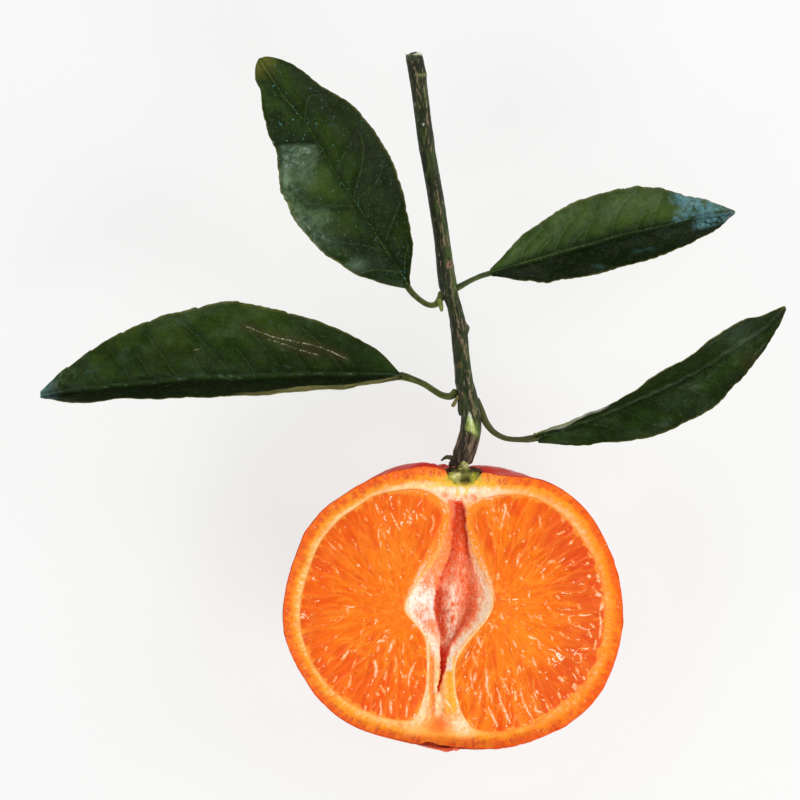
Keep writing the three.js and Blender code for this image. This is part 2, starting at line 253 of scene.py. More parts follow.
def curve(points, count, closed=False):
    """A smooth line through a few points, as count points evenly spread over it."""
    p = np.array(points, float)
    n = len(p)
    dense = []
    spans = n if closed else n - 1
    for i in range(spans):
        if closed:
            p0, p1, p2, p3 = p[(i - 1) % n], p[i], p[(i + 1) % n], p[(i + 2) % n]
        else:
            p1, p2 = p[i], p[i + 1]
            p0 = p[i - 1] if i else 2 * p1 - p2
            p3 = p[i + 2] if i + 2 < n else 2 * p2 - p1
        t = np.linspace(0, 1, 24, endpoint=False)[:, None]
        dense.append(0.5 * (2 * p1 + (p2 - p0) * t + (2 * p0 - 5 * p1 + 4 * p2 - p3) * t * t + (3 * p1 - p0 - 3 * p2 + p3) * t ** 3))
    dense.append(p[:1] if closed else p[-1:])
    dense = np.vstack(dense)
    length = np.concatenate([[0], np.cumsum(np.linalg.norm(np.diff(dense, axis=0), axis=1))])
    s = np.linspace(0, length[-1], count, endpoint=not closed)
    return np.stack([np.interp(s, length, dense[:, k]) for k in range(p.shape[1])], 1)


def signed_distance(poly, x, y):
    """Distance to a closed outline, negative inside it."""
    shape = np.shape(x)
    px, py = np.ravel(x), np.ravel(y)
    a = poly
    b = np.roll(poly, -1, 0)
    ab = b - a
    ll = (ab ** 2).sum(1)
    out = np.empty(len(px))
    for s in range(0, len(px), 20000):
        qx, qy = px[s:s + 20000, None], py[s:s + 20000, None]
        t = np.clip(((qx - a[:, 0]) * ab[:, 0] + (qy - a[:, 1]) * ab[:, 1]) / ll, 0, 1)
        d = np.sqrt(((qx - a[:, 0] - t * ab[:, 0]) ** 2 + (qy - a[:, 1] - t * ab[:, 1]) ** 2).min(1))
        crosses = ((a[:, 1] > qy) != (b[:, 1] > qy)) & (qx < ab[:, 0] * (qy - a[:, 1]) / np.where(ab[:, 1] == 0, 1e-12, ab[:, 1]) + a[:, 0])
        out[s:s + 20000] = np.where(crosses.sum(1) % 2 == 1, -d, d)
    return out.reshape(shape)


# ---------------------------------------------------------------- meshes
def make(name, co, quads=(), tris=(), ngons=(), colour=None, floats=None, uv=None):
    """A smooth mesh object. co in mm, uv one pair for each corner in the order quads, tris, ngons."""
    me = bpy.data.meshes.new(name)
    quads = np.asarray(quads, np.int64).reshape(-1, 4)
    tris = np.asarray(tris, np.int64).reshape(-1, 3)
    loops = np.concatenate([quads.ravel(), tris.ravel()] + [np.asarray(n, np.int64) for n in ngons]).astype(np.int32)
    sizes = np.concatenate([np.full(len(quads), 4), np.full(len(tris), 3), np.array([len(n) for n in ngons], int)]).astype(np.int32)
    starts = np.concatenate([[0], np.cumsum(sizes)[:-1]]).astype(np.int32)
    me.vertices.add(len(co))
    me.vertices.foreach_set("co", (np.asarray(co, np.float64) * MM).astype(np.float32).ravel())
    me.loops.add(len(loops))
    me.loops.foreach_set("vertex_index", loops)
    me.polygons.add(len(sizes))
    me.polygons.foreach_set("loop_start", starts)
    me.update(calc_edges=True)
    me.validate()
    me.polygons.foreach_set("use_smooth", np.ones(len(me.polygons), bool))
    if colour is not None:
        c = np.ones((len(co), 4), np.float32)
        c[:, :3] = np.clip(colour, 0, 1)
        me.color_attributes.new("Tint", "FLOAT_COLOR", "POINT").data.foreach_set("color", c.ravel())
    for key, values in (floats or {}).items():
        me.attributes.new(key, "FLOAT", "POINT").data.foreach_set("value", np.asarray(values, np.float32).ravel())
    if uv is not None and len(uv) == len(me.loops):
        me.uv_layers.new(name="OFBake").data.foreach_set("uv", np.asarray(uv, np.float32).ravel())
    ob = bpy.data.objects.new(name, me)
    bpy.context.scene.collection.objects.link(ob)
    return ob


def grid_faces(rows, columns, wrap=False, start=0):
    """Quads of a grid of rows by columns points, joined round if wrap."""
    i = np.arange(rows - 1)[:, None]
    j = np.arange(columns if wrap else columns - 1)[None, :]
    k = (j + 1) % columns
    a, b, c, d = i * columns + j, i * columns + k, (i + 1) * columns + k, (i + 1) * columns + j
    return np.stack([a + 0 * k, b, c, d], -1).reshape(-1, 4) + start


def patch(inside, step, box):
    """Points and quads of an even grid over the region where inside(x, y) > 0, with its rim drawn onto the
    region's edge, and the rim's loops of points."""
    xs = np.arange(box[0], box[1] + step, step)
    ys = np.arange(box[2], box[3] + step, step)
    gx, gy = np.meshgrid(xs, ys)
    f = inside(gx, gy)
    rows, columns = gx.shape
    quads = grid_faces(rows, columns)
    flat = f.ravel()
    corner = flat[quads]
    keep = (corner > -0.45 * step).sum(1) == 4
    quads = quads[keep]
    used = np.zeros(rows * columns, bool)
    used[quads.ravel()] = True
    # rim points slide along the slope of inside to where it is nought
    fy, fx = np.gradient(f, step)
    slope = np.maximum(fx * fx + fy * fy, 0.2)
    edges = np.concatenate([quads[:, [0, 1]], quads[:, [1, 2]], quads[:, [2, 3]], quads[:, [3, 0]]])
    code = np.minimum(edges[:, 0], edges[:, 1]) * (rows * columns) + np.maximum(edges[:, 0], edges[:, 1])
    order, first, count = np.unique(code, return_index=True, return_counts=True)
    rim_edges = edges[first[count == 1]]
    rim = np.unique(rim_edges)
    x, y = gx.ravel().copy(), gy.ravel().copy()
    for _ in range(2):
        shift = np.clip(flat[rim], -1.1 * step, 1.1 * step) if _ == 0 else inside(x[rim], y[rim])
        shift = np.clip(shift, -step, step)
        x[rim] -= shift * fx.ravel()[rim] / slope.ravel()[rim]
        y[rim] -= shift * fy.ravel()[rim] / slope.ravel()[rim]
    index = np.full(rows * columns, -1)
    index[used] = np.arange(used.sum())
    following = {}
    for a, b in index[rim_edges]:
        following.setdefault(int(a), []).append(int(b))
    loops = []
    while following:
        here = next(iter(following))
        start, loop = here, []
        while here in following:
            onward = following[here].pop()
            if not following[here]:
                del following[here]
            loop.append(here)
            here = onward
        if len(loop) > 8:
            loops.append(loop)
    return x[used], y[used], index[quads], loops


# ---------------------------------------------------------------- the fruit's shape
RADIUS = 30.82
OUT_COS = [0.434, 2.703, -0.224, -0.497, -0.124, 0.058, 0.025, -0.02, -0.027, 0.113]
OUT_SIN = [0.176, -0.265, -0.194, 0.089, -0.116, -0.119, 0.022, 0.106, -0.113, 0.057]
SHOULDER_RIGHT, SHOULDER_LEFT = 1.5, 0.7


def outline(theta):
    """Radius of the cut edge of the skin, mm, about the fruit's centre."""
    theta = np.asarray(theta, float)
    r = RADIUS + 0 * theta
    for k in range(10):
        r = r + OUT_COS[k] * np.cos((k + 1) * theta) + OUT_SIN[k] * np.sin((k + 1) * theta)
    deg = np.degrees(theta) % 360
    return (r - 1.0 * bump(deg, 88, 9) - 0.9 * SHOULDER_RIGHT * bump(deg, 69, 11) - SHOULDER_LEFT * bump(deg, 110, 9)
            - 1.7 * smooth(77.2, 79.8, deg) * (1 - smooth(91.0, 93.2, deg)))


def short_pith(theta):
    """Share of the ring's width that is there: it is short under the stem, where the core comes near."""
    deg = np.degrees(theta) % 360
    return 1 - 0.46 * smooth(75, 80, deg) * (1 - smooth(91, 96, deg))


def skin(latitude, around):
    """The skin behind the cut face. latitude -90 at the blossom end to 90 at the stem, around 0 to 180."""
    right = outline(np.radians(latitude))
    left = outline(np.radians(180 - latitude))
    share = (1 - np.cos(np.radians(around))) / 2
    inside = smooth(0, 16, around) * smooth(0, 16, 180 - around)
    lobes = ((0.9 * SHOULDER_RIGHT + 0.2) * bump(latitude, 69, 12) * bump(around, 42, 34)
             + 0.9 * SHOULDER_RIGHT * bump(latitude, 66, 13) * bump(around, 100, 24)
             + (SHOULDER_LEFT + 0.3) * bump(latitude, 68, 12) * bump(around, 148, 26))
    foot = 0.95 * bump(latitude, -82, 9) * bump(around, 112, 52)
    r = right * (1 - share) + left * share + inside * (lobes + foot)
    # the skin heaves a little over each segment behind it
    r = r + inside * 0.22 * np.cos(np.radians(around) * 9 + 0.8) * np.cos(np.radians(latitude)) ** 0.5
    flat = r * np.cos(np.radians(latitude))
    return flat * np.cos(np.radians(around)), r * np.sin(np.radians(latitude)), CUT - flat * np.sin(np.radians(around))


LEFT_SEGMENT = [(374, 496), (393, 491.5), (412, 489), (426, 491), (436, 496), (445, 506), (449, 521), (443, 537), (433, 554),
                (421, 573), (412, 591), (405, 603), (406, 613), (416, 625), (425, 639), (427, 662), (426, 686), (421, 705),
                (415, 717), (404, 720.5), (383, 717), (353, 705), (329, 686), (310, 658), (301, 629), (301, 601), (308, 573),
                (319.5, 544), (338, 521), (357, 507)]
RIGHT_SEGMENT = [(467, 514), (475, 503), (494, 496), (518, 495), (541, 501), (565, 518), (584, 542), (598, 568), (604, 596),
                 (604, 629), (598, 658), (584, 684), (560, 705), (537, 721), (506, 731), (482, 731), (468, 723), (459, 705),
                 (455, 681), (457, 661), (467, 643.5), (481, 627), (492, 610.5), (492, 594), (485, 573), (476, 550), (468, 531)]
LEFT_RIM = curve(np.stack(at(*np.array(LEFT_SEGMENT).T), 1), 420, True)
RIGHT_RIM = curve(np.stack(at(*np.array(RIGHT_SEGMENT).T), 1), 420, True)
LEFT_HEART = at(403, 607.5)
RIGHT_HEART = at(495, 604)


def depth_in(x, y):
    """How far a point of the cut face lies inside the skin's cut edge, mm."""
    theta = np.arctan2(y, x)
    return (outline(theta) - np.hypot(x, y)) * 0.985


# ---------------------------------------------------------------- colours
SKIN_DEEP = srgb(176, 26, 14)
SKIN = srgb(226, 76, 24)
SKIN_PALE = srgb(242, 112, 34)
FLAVEDO = srgb(250, 112, 34)
GLAND = srgb(216, 70, 28)
YOLK = srgb(255, 156, 40)
CREAM = srgb(255, 178, 84)
PITH = srgb(255, 226, 180)
WALL = srgb(255, 158, 56)
JUICE = srgb(247, 110, 20)
JUICE_DEEP = srgb(228, 74, 16)
JUICE_GLOW = srgb(254, 138, 24)
JUICE_EDGE = srgb(255, 158, 62)
WET = srgb(255, 220, 194)
CORE_RED = srgb(222, 62, 34)
CORE_ORANGE = srgb(236, 96, 54)
CORE_PINK = srgb(248, 160, 122)
FUZZ = srgb(255, 236, 224)


def section_colour(x, y):
    """The cut skin and pith, from the oily outer skin to the pale inner wall."""
    d = depth_in(x, y)
    theta = np.arctan2(y, x)
    deg = np.degrees(theta) % 360
    px, py = x / SCALE + CX, CY - y / SCALE
    rough = fbm(x * 0.9, y * 0.9, seed=3)
    # the coloured skin is thicker at the bottom right and the top
    thick = 1.75 + 0.3 * bump(deg, 300, 50) + 0.35 * bump(deg, 75, 30) + 0.3 * bump(deg, 130, 30) + 0.45 * rough
    c = mix(FLAVEDO, YOLK, smooth(thick - 1.0, thick + 0.35, d + 0.25 * fbm(x * 1.3, y * 1.3, seed=4)))
    paler = 0.55 + 0.45 * bump(deg, 180, 60) - 0.35 * bump(deg, 350, 40)
    c = mix(c, CREAM, paler * smooth(thick + 0.3, thick + 1.2, d + 0.3 * fbm(x * 1.7, y * 1.7, seed=5)))
    pale = bump(deg, 96, 22) + 0.5 * bump(deg, 126, 12) + 0.32 * bump(deg, 243, 9) + 0.5 * bump(deg, 275, 7)
    c = mix(c, PITH, np.clip(pale, 0, 1) * smooth(thick + 0.5, thick + 1.3, d + 0.3 * rough))
    # a pale thread of pith runs along the inside on the left and the top right
    thread = bump(d, 3.3 + 0.3 * rough, 0.38) * (bump(deg, 140, 26) + 0.6 * bump(deg, 196, 26) + 0.55 * bump(deg, 40, 22))
    c = mix(c, PITH, 0.6 * np.clip(thread, 0, 1))
    # bubbly pale cells on the left
    w = cells(x / 0.62, y / 0.62, seed=14)
    bubbles = (1 - smooth(0.15, 0.42, w[0])) * bump(deg, 168, 26) * smooth(thick, thick + 0.6, d)
    c = mix(c, srgb(255, 206, 128), 0.65 * bubbles)
    # oil glands: dark ovals that point inwards, in the coloured skin
    arc = theta * 31.0
    wide_share = smooth(52, 62, deg) * (1 - smooth(152, 166, deg))
    plain = 1 - 0.6 * bump(deg, 5, 38)
    gland = np.zeros_like(d)
    clear = bump(deg, 86, 15)
    for pitch, deep, share, seed in ((1.36, 1.85, 1 - wide_share, 11), (1.95, 2.1, wide_share, 12)):
        g1, g2, gu, gv, ku, kv = cells(arc / pitch, (d + 0.12 * rough) / deep + 0.05, seed=seed, jitter=0.45)
        size = 0.34 + 0.14 * rnd(ku, kv, 5, 2)
        oval = np.sqrt((gu * 1.12) ** 2 + (gv * 0.86) ** 2)
        here = (1 - smooth(thick - 0.35, thick + 0.25, d)) * smooth(0.05, 0.35, d) * share * (0.4 + 0.6 * rnd(ku, kv, 7, 2)) * plain
        body = (1 - smooth(size * 0.55, size * 1.22, oval)) * here
        tone = mix(srgb(216, 76, 34), srgb(236, 98, 42), rnd(ku, kv, 9, 2))
        c = mix(c, YOLK, 0.45 * bump(oval, size * 1.5, 0.12) * here)
        tone = mix(tone, srgb(204, 84, 38), np.clip(bump(deg, 262, 46), 0, 1))
        c = mix(c, tone, (0.82 + 0.1 * clear) * body)
        # beside the stem each gland has a darker outline and a lighter heart
        c = mix(c, srgb(206, 62, 30), 0.55 * clear * bump(oval, size * 0.80, 0.07) * here)
        c = mix(c, srgb(246, 124, 66), (0.15 + 0.35 * clear) * np.exp(-((gu - 0.03) / 0.12) ** 2 - ((gv + 0.02) / 0.2) ** 2) * here)
        spark = np.exp(-((gu - 0.10) / 0.05) ** 2 - ((gv + 0.08) / 0.12) ** 2) * (rnd(ku, kv, 8, 2) > 0.62) * share
        c = mix(c, srgb(255, 202, 148), 0.75 * spark * (d < thick) * (d > 0.2) * (1 - 0.7 * bump(deg, 262, 50)))
        gland = gland + body * (0.35 + 0.65 * clear)
    blot = smooth(0.0, 0.4, fbm(x * 0.62, y * 0.62, seed=19)) * (0.3 + 0.7 * bump(deg, 135, 30)) * (1 - smooth(thick - 0.5, thick + 0.6, d)) * (1 - clear)
    c = mix(c, srgb(224, 86, 38), 0.55 * blot)
    glow = smooth(0.05, 0.5, fbm(x * 0.55, y * 0.55, seed=20)) * (1 - smooth(thick - 0.1, thick + 0.5, d)) * (1 - clear)
    c = mix(c, srgb(255, 150, 44), 0.6 * glow)
    c = mix(c, srgb(222, 66, 26), 0.85 * (1 - smooth(0.03, 0.24, d)))
    c = mix(c, srgb(236, 90, 30), 0.30 * (1 - smooth(0.3, 0.9, d)))
    # yellower on the upper right, deeper at the bottom
    c = mix(c, srgb(255, 176, 44), 0.45 * bump(deg, 48, 24) * smooth(thick - 0.5, thick + 0.1, d) * (1 - smooth(thick + 0.9, thick + 1.5, d)))
    c = c * (1 - 0.22 * bump(deg, 272, 46) * (1 - smooth(1.4, 2.6, d)))[..., None]
    c = mix(c, srgb(150, 44, 24), 0.6 * bump(deg, 245, 26) * (1 - smooth(0.10, 0.35, d)))
    for gx, gy, gw, gh in ((439.0, 475.6, 2.3, 3.8), (430.5, 473.5, 1.9, 3.0), (445.0, 477.8, 1.4, 2.6), (482.3, 477.2, 1.3, 2.4), (487.6, 478.6, 2.6, 4.6), (493.6, 476.8, 2.2, 3.4), (499.4, 482.0, 2.2, 3.4), (505.0, 481.2, 2.1, 3.2)):
        oval = np.sqrt(((px - gx) / gw) ** 2 + ((py - gy) / gh) ** 2)
        c = mix(c, srgb(255, 168, 74), 0.6 * bump(oval, 1.35, 0.22))
        c = mix(c, srgb(228, 92, 44), 0.85 * (1 - smooth(0.7, 1.1, oval)))
        c = mix(c, srgb(200, 62, 30), 0.55 * bump(oval, 0.92, 0.16))
        c = mix(c, srgb(255, 196, 150), 0.7 * np.exp(-((px - gx + 0.3) / 0.7) ** 2 - ((py - gy - 0.35 * gh) / 0.8) ** 2))
    # the inner wall shows as ragged cream patches
    ragged = smooth(0.0, 0.35, fbm(x * 1.0, y * 1.0, seed=73) + 0.4 * fbm(x * 3.0, y * 3.0, seed=74)) * bump(d, 3.7, 0.8)
    c = mix(c, srgb(255, 204, 132), 0.55 * ragged * (1 - bump(deg, 90, 26)))
    # fine grain and faint fibres that run inwards through the pale layer
    fibre = fbm(theta * 95, d * 0.8, seed=16, octaves=2)
    c = mix(c, PITH, np.clip(0.45 * smooth(0.12, 0.5, fibre), 0, 1) * smooth(thick, thick + 0.8, d) * (0.4 + 0.6 * paler))
    c = mix(c, FLAVEDO, np.clip(0.40 * smooth(0.1, 0.5, fbm(x * 0.7, y * 0.7, seed=18)), 0, 1) * smooth(thick - 0.2, thick + 0.8, d))
    border = smooth(3.9, 4.6, d + 0.35 * fbm(x * 1.1, y * 1.1, seed=21)) * (1 - bump(deg, 90, 26)) * (1 - bump(deg, 266, 26))
    c = mix(c, srgb(255, 148, 44), 0.75 * border)
    c = c * (1 + 0.07 * fbm(x * 3.2, y * 3.2, seed=8))[..., None]
    # around the button: lime where they meet, yellow below, then white pith with the two threads that feed the core
    soft = 3.2 * fbm(x * 0.9, y * 0.9, seed=66) + 1.6 * fbm(x * 3.2, y * 3.2, seed=69)
    wide = bump(px, 462, 26 + 3 * soft) * smooth(493, 484, py + 1.3 * soft) * smooth(474, 481, py + 0.10 * np.abs(px - 463))
    c = mix(c, srgb(250, 196, 62), 0.85 * np.clip(wide * 1.2, 0, 1))
    beside = (bump(px, 447.5, 2.4) + bump(px, 480.0, 2.2)) * bump(py, 479, 5.0)
    c = mix(c, srgb(190, 176, 58), 0.75 * np.clip(beside, 0, 1))
    c = mix(c, srgb(255, 206, 70), 0.85 * np.clip(1.2 * bump(px, 463, 30), 0, 1) * bump(py + 0.6 * soft, 485.2 + 0.02 * (px - 463) ** 2 / 10, 2.8))
    c = mix(c, srgb(206, 190, 60), 0.6 * bump(px, 463, 15) * bump(py, 485.0, 2.4))
    below = (bump(px, 452, 30) + 0.45 * bump(px, 490, 22)) * smooth(485, 492, py + 1.1 * soft) * (1 - smooth(499, 504, py))
    c = mix(c, mix(srgb(255, 240, 218), srgb(255, 224, 190), smooth(0.0, 0.5, fbm(x * 1.5, y * 1.5, seed=67))), 0.92 * np.clip(below * 1.4, 0, 1))
    for x0, lean in ((457.5, 0.0), (468.2, -0.35)):
        thread = bump(px, x0 + lean * (py - 486) + 0.5 * noise(py * 0.4, x0), 2.0) * smooth(482, 486, py) * (1 - smooth(494, 499.5, py))
        c = mix(c, srgb(250, 204, 84), 0.85 * thread)
    # deeper on the right and at the bottom, warmer under the stem
    outer = 1 - smooth(thick - 0.2, thick + 0.5, d)
    right, bottom, top = smooth(0.15, 0.8, np.cos(theta)), bump(deg, 272, 40), bump(deg, 90, 34)
    for amount, tint in ((right * outer, (1, .86, .58)), (right * (1 - outer), (1, .84, .84)), (bottom * outer, (.96, .78, .64)),
                         (bottom * (1 - outer), (1, .94, .66)), (top * (1 - outer), (1, .92, .76))):
        c = c * (1 - amount[..., None] * (1 - np.array(tint)))
    c = foot_colour(c, px, py, x, y)
    return c, gland


def foot_colour(c, px, py, x, y):
    """Where the column of pith meets the blossom end: pale corners beside an orange middle."""
    grain = fbm(x * 2.2, y * 2.2, seed=61)
    own = smooth(713, 720, py + 2 * grain) * smooth(402, 412, px) * (1 - smooth(470, 482, px)) * (1 - smooth(730, 738, py + 2 * grain))
    c = mix(c, srgb(253, 176, 82), own)
    c = mix(c, srgb(250, 134, 46), np.clip(1.2 * bump(px, 439 + 3 * grain, 12) * bump(py, 726, 10), 0, 0.9))
    c = mix(c, srgb(248, 112, 44), np.clip(1.1 * bump(px, 440 + 3 * grain, 7) * bump(py, 724, 5), 0, 0.8))
    c = mix(c, srgb(255, 214, 158), np.clip(1.3 * bump(px, 417 + 0.5 * (722 - py), 8) * bump(py, 719, 8) * (0.8 + 0.9 * grain), 0, 0.9))
    c = mix(c, srgb(255, 224, 184), np.clip(1.3 * bump(px - 0.35 * (py - 724), 461, 10) * bump(py, 725, 8) * (0.75 + 1.0 * grain), 0, 0.92))
    return c


# the open core, from the fruit's left wall to its right wall: places across, in the picture frame, and depths in mm
CORE = [
    (499.5, [446, 448, 449.5, 451, 452.5, 454, 456.5, 459, 461, 462.5], [0, -.1, -.2, -.3, -.3, -.2, -.3, -.3, -.1, 0]),
    (504, [445.2, 448, 450, 452.2, 454.4, 457, 460, 462.4, 464.2, 465.6], [0, -.9, -1.8, -2.8, -2.8, -2.4, -2.6, -2.5, -1.2, 0]),
    (512, [447, 449.6, 451.4, 453, 455.2, 459, 462.4, 464.8, 466.4, 468], [0, -1.4, -2.6, -4.2, -4.2, -3.6, -4.0, -4.0, -2, 0]),
    (530, [444.5, 448, 451.2, 452.6, 455, 460, 463.5, 465.6, 467, 468.6], [0, -2, -4, -5.8, -5.4, -4.4, -5.2, -6.2, -3.5, 0]),
    (550, [437.5, 444, 450, 451.5, 454, 460, 465, 468, 470, 472.8], [0, -2.2, -5, -7.2, -6.6, -5.2, -6.4, -7.7, -4, 0]),
    (576, [420, 430, 439, 441.5, 446, 455, 463, 471, 480, 486], [0, -2.1, -4.6, -8.0, -7.0, -5.4, -6.6, -8.0, -3.0, 0]),
    (600, [406, 419, 432, 435.5, 441.5, 452.5, 462.5, 471.5, 483, 492.5], [0, -2.2, -5, -9.2, -8.0, -5.6, -7.2, -8.8, -3.0, 0]),
    (617, [408, 421, 433.5, 437, 443, 452.5, 461, 468.5, 478.5, 487.5], [0, -2, -4.6, -9.0, -8.0, -5.8, -7.2, -8.4, -2.8, 0]),
    (635, [424, 431, 438.5, 441, 444, 450, 454, 457.5, 462, 470], [0, -1.2, -3, -7.4, -7.2, -5.8, -6.2, -6.8, -2.0, 0]),
    (651, [430, 436, 439.6, 440.4, 441.6, 443.6, 445.6, 447.2, 451, 460], [0, -.5, -1.4, -5.6, -5.9, -5.6, -5.5, -5.2, -1.4, 0]),
    (671, [434, 437.6, 440.0, 440.5, 441.2, 442.2, 443.2, 444.0, 444.8, 450], [0, -.2, -.5, -3.3, -3.7, -3.7, -3.5, -3.1, -.5, 0]),
    (689, [434, 436, 437.0, 437.4, 437.9, 438.5, 439.0, 439.4, 440.1, 442], [0, -.05, -.15, -1, -1.2, -1.2, -1.1, -.9, -.15, 0]),
    (696, [434, 435.5, 436.5, 437, 437.3, 437.6, 438, 438.4, 439, 441], [0, 0, 0, -.1, -.1, -.1, -.1, -.1, 0, 0]),
]
CORE_Y = np.array([row[0] for row in CORE], float)
CORE_X = np.array([row[1] for row in CORE], float)
CORE_D = np.array([row[2] for row in CORE], float)


def core_at(px, py):
    """Depth of the open core, mm and negative, and where across it a point is, 0 to 9 from wall to wall."""
    shape = np.shape(px)
    px, py = np.ravel(px), np.ravel(py)
    inside = (py > CORE_Y[0]) & (py < CORE_Y[-1])
    y = np.clip(py, CORE_Y[0] + 1e-6, CORE_Y[-1] - 1e-6)
    k = np.clip(np.searchsorted(CORE_Y, y) - 1, 0, len(CORE_Y) - 2)
    t = (y - CORE_Y[k]) / (CORE_Y[k + 1] - CORE_Y[k])
    # places across follow a smooth line from row to row
    km, kp = np.maximum(k - 1, 0), np.minimum(k + 2, len(CORE_Y) - 1)

    def line(table):
        p0, p1, p2, p3 = table[km], table[k], table[k + 1], table[kp]
        h = (CORE_Y[k + 1] - CORE_Y[k])[:, None]
        m1 = (p2 - p0) / (CORE_Y[k + 1] - CORE_Y[km])[:, None] * h
        m2 = (p3 - p1) / (CORE_Y[kp] - CORE_Y[k])[:, None] * h
        tt = t[:, None]
        return ((2 * tt ** 3 - 3 * tt ** 2 + 1) * p1 + (tt ** 3 - 2 * tt ** 2 + tt) * m1
                + (-2 * tt ** 3 + 3 * tt ** 2) * p2 + (tt ** 3 - tt ** 2) * m2)
    places, depths = line(CORE_X), line(CORE_D)
    places = np.maximum.accumulate(places, 1)
    q = np.zeros(len(px))
    depth = np.zeros(len(px))
    for c in range(9):
        a, b = places[:, c], places[:, c + 1]
        here = (px >= a) & (px < b)
        s = np.where(here, (px - a) / np.maximum(b - a, 1e-6), 0)
        e = s * s * (3 - 2 * s) * 0.55 + s * 0.45
        q = np.where(here, c + s, q)
        depth = np.where(here, (depths[:, c] * (1 - e) + depths[:, c + 1] * e) * 0.5, depth)
    q = np.where(px >= places[:, 9], 9, q)
    depth = np.where(inside, np.minimum(depth, 0), 0)
    return depth.reshape(shape), q.reshape(shape)


def core_height(x, y):
    px, py = x / SCALE + CX, CY - y / SCALE
    # ragged walls
    wx = px + (1.1 * fbm(x * 1.1, y * 1.1, seed=31) + 0.8 * fbm(x * 3.2, y * 3.2, seed=30)) * smooth(500, 520, py)
    wy = py + 1.4 * fbm(x * 0.9, y * 0.9, seed=32)
    depth, q = core_at(wx, wy)
    return depth, q, px, py


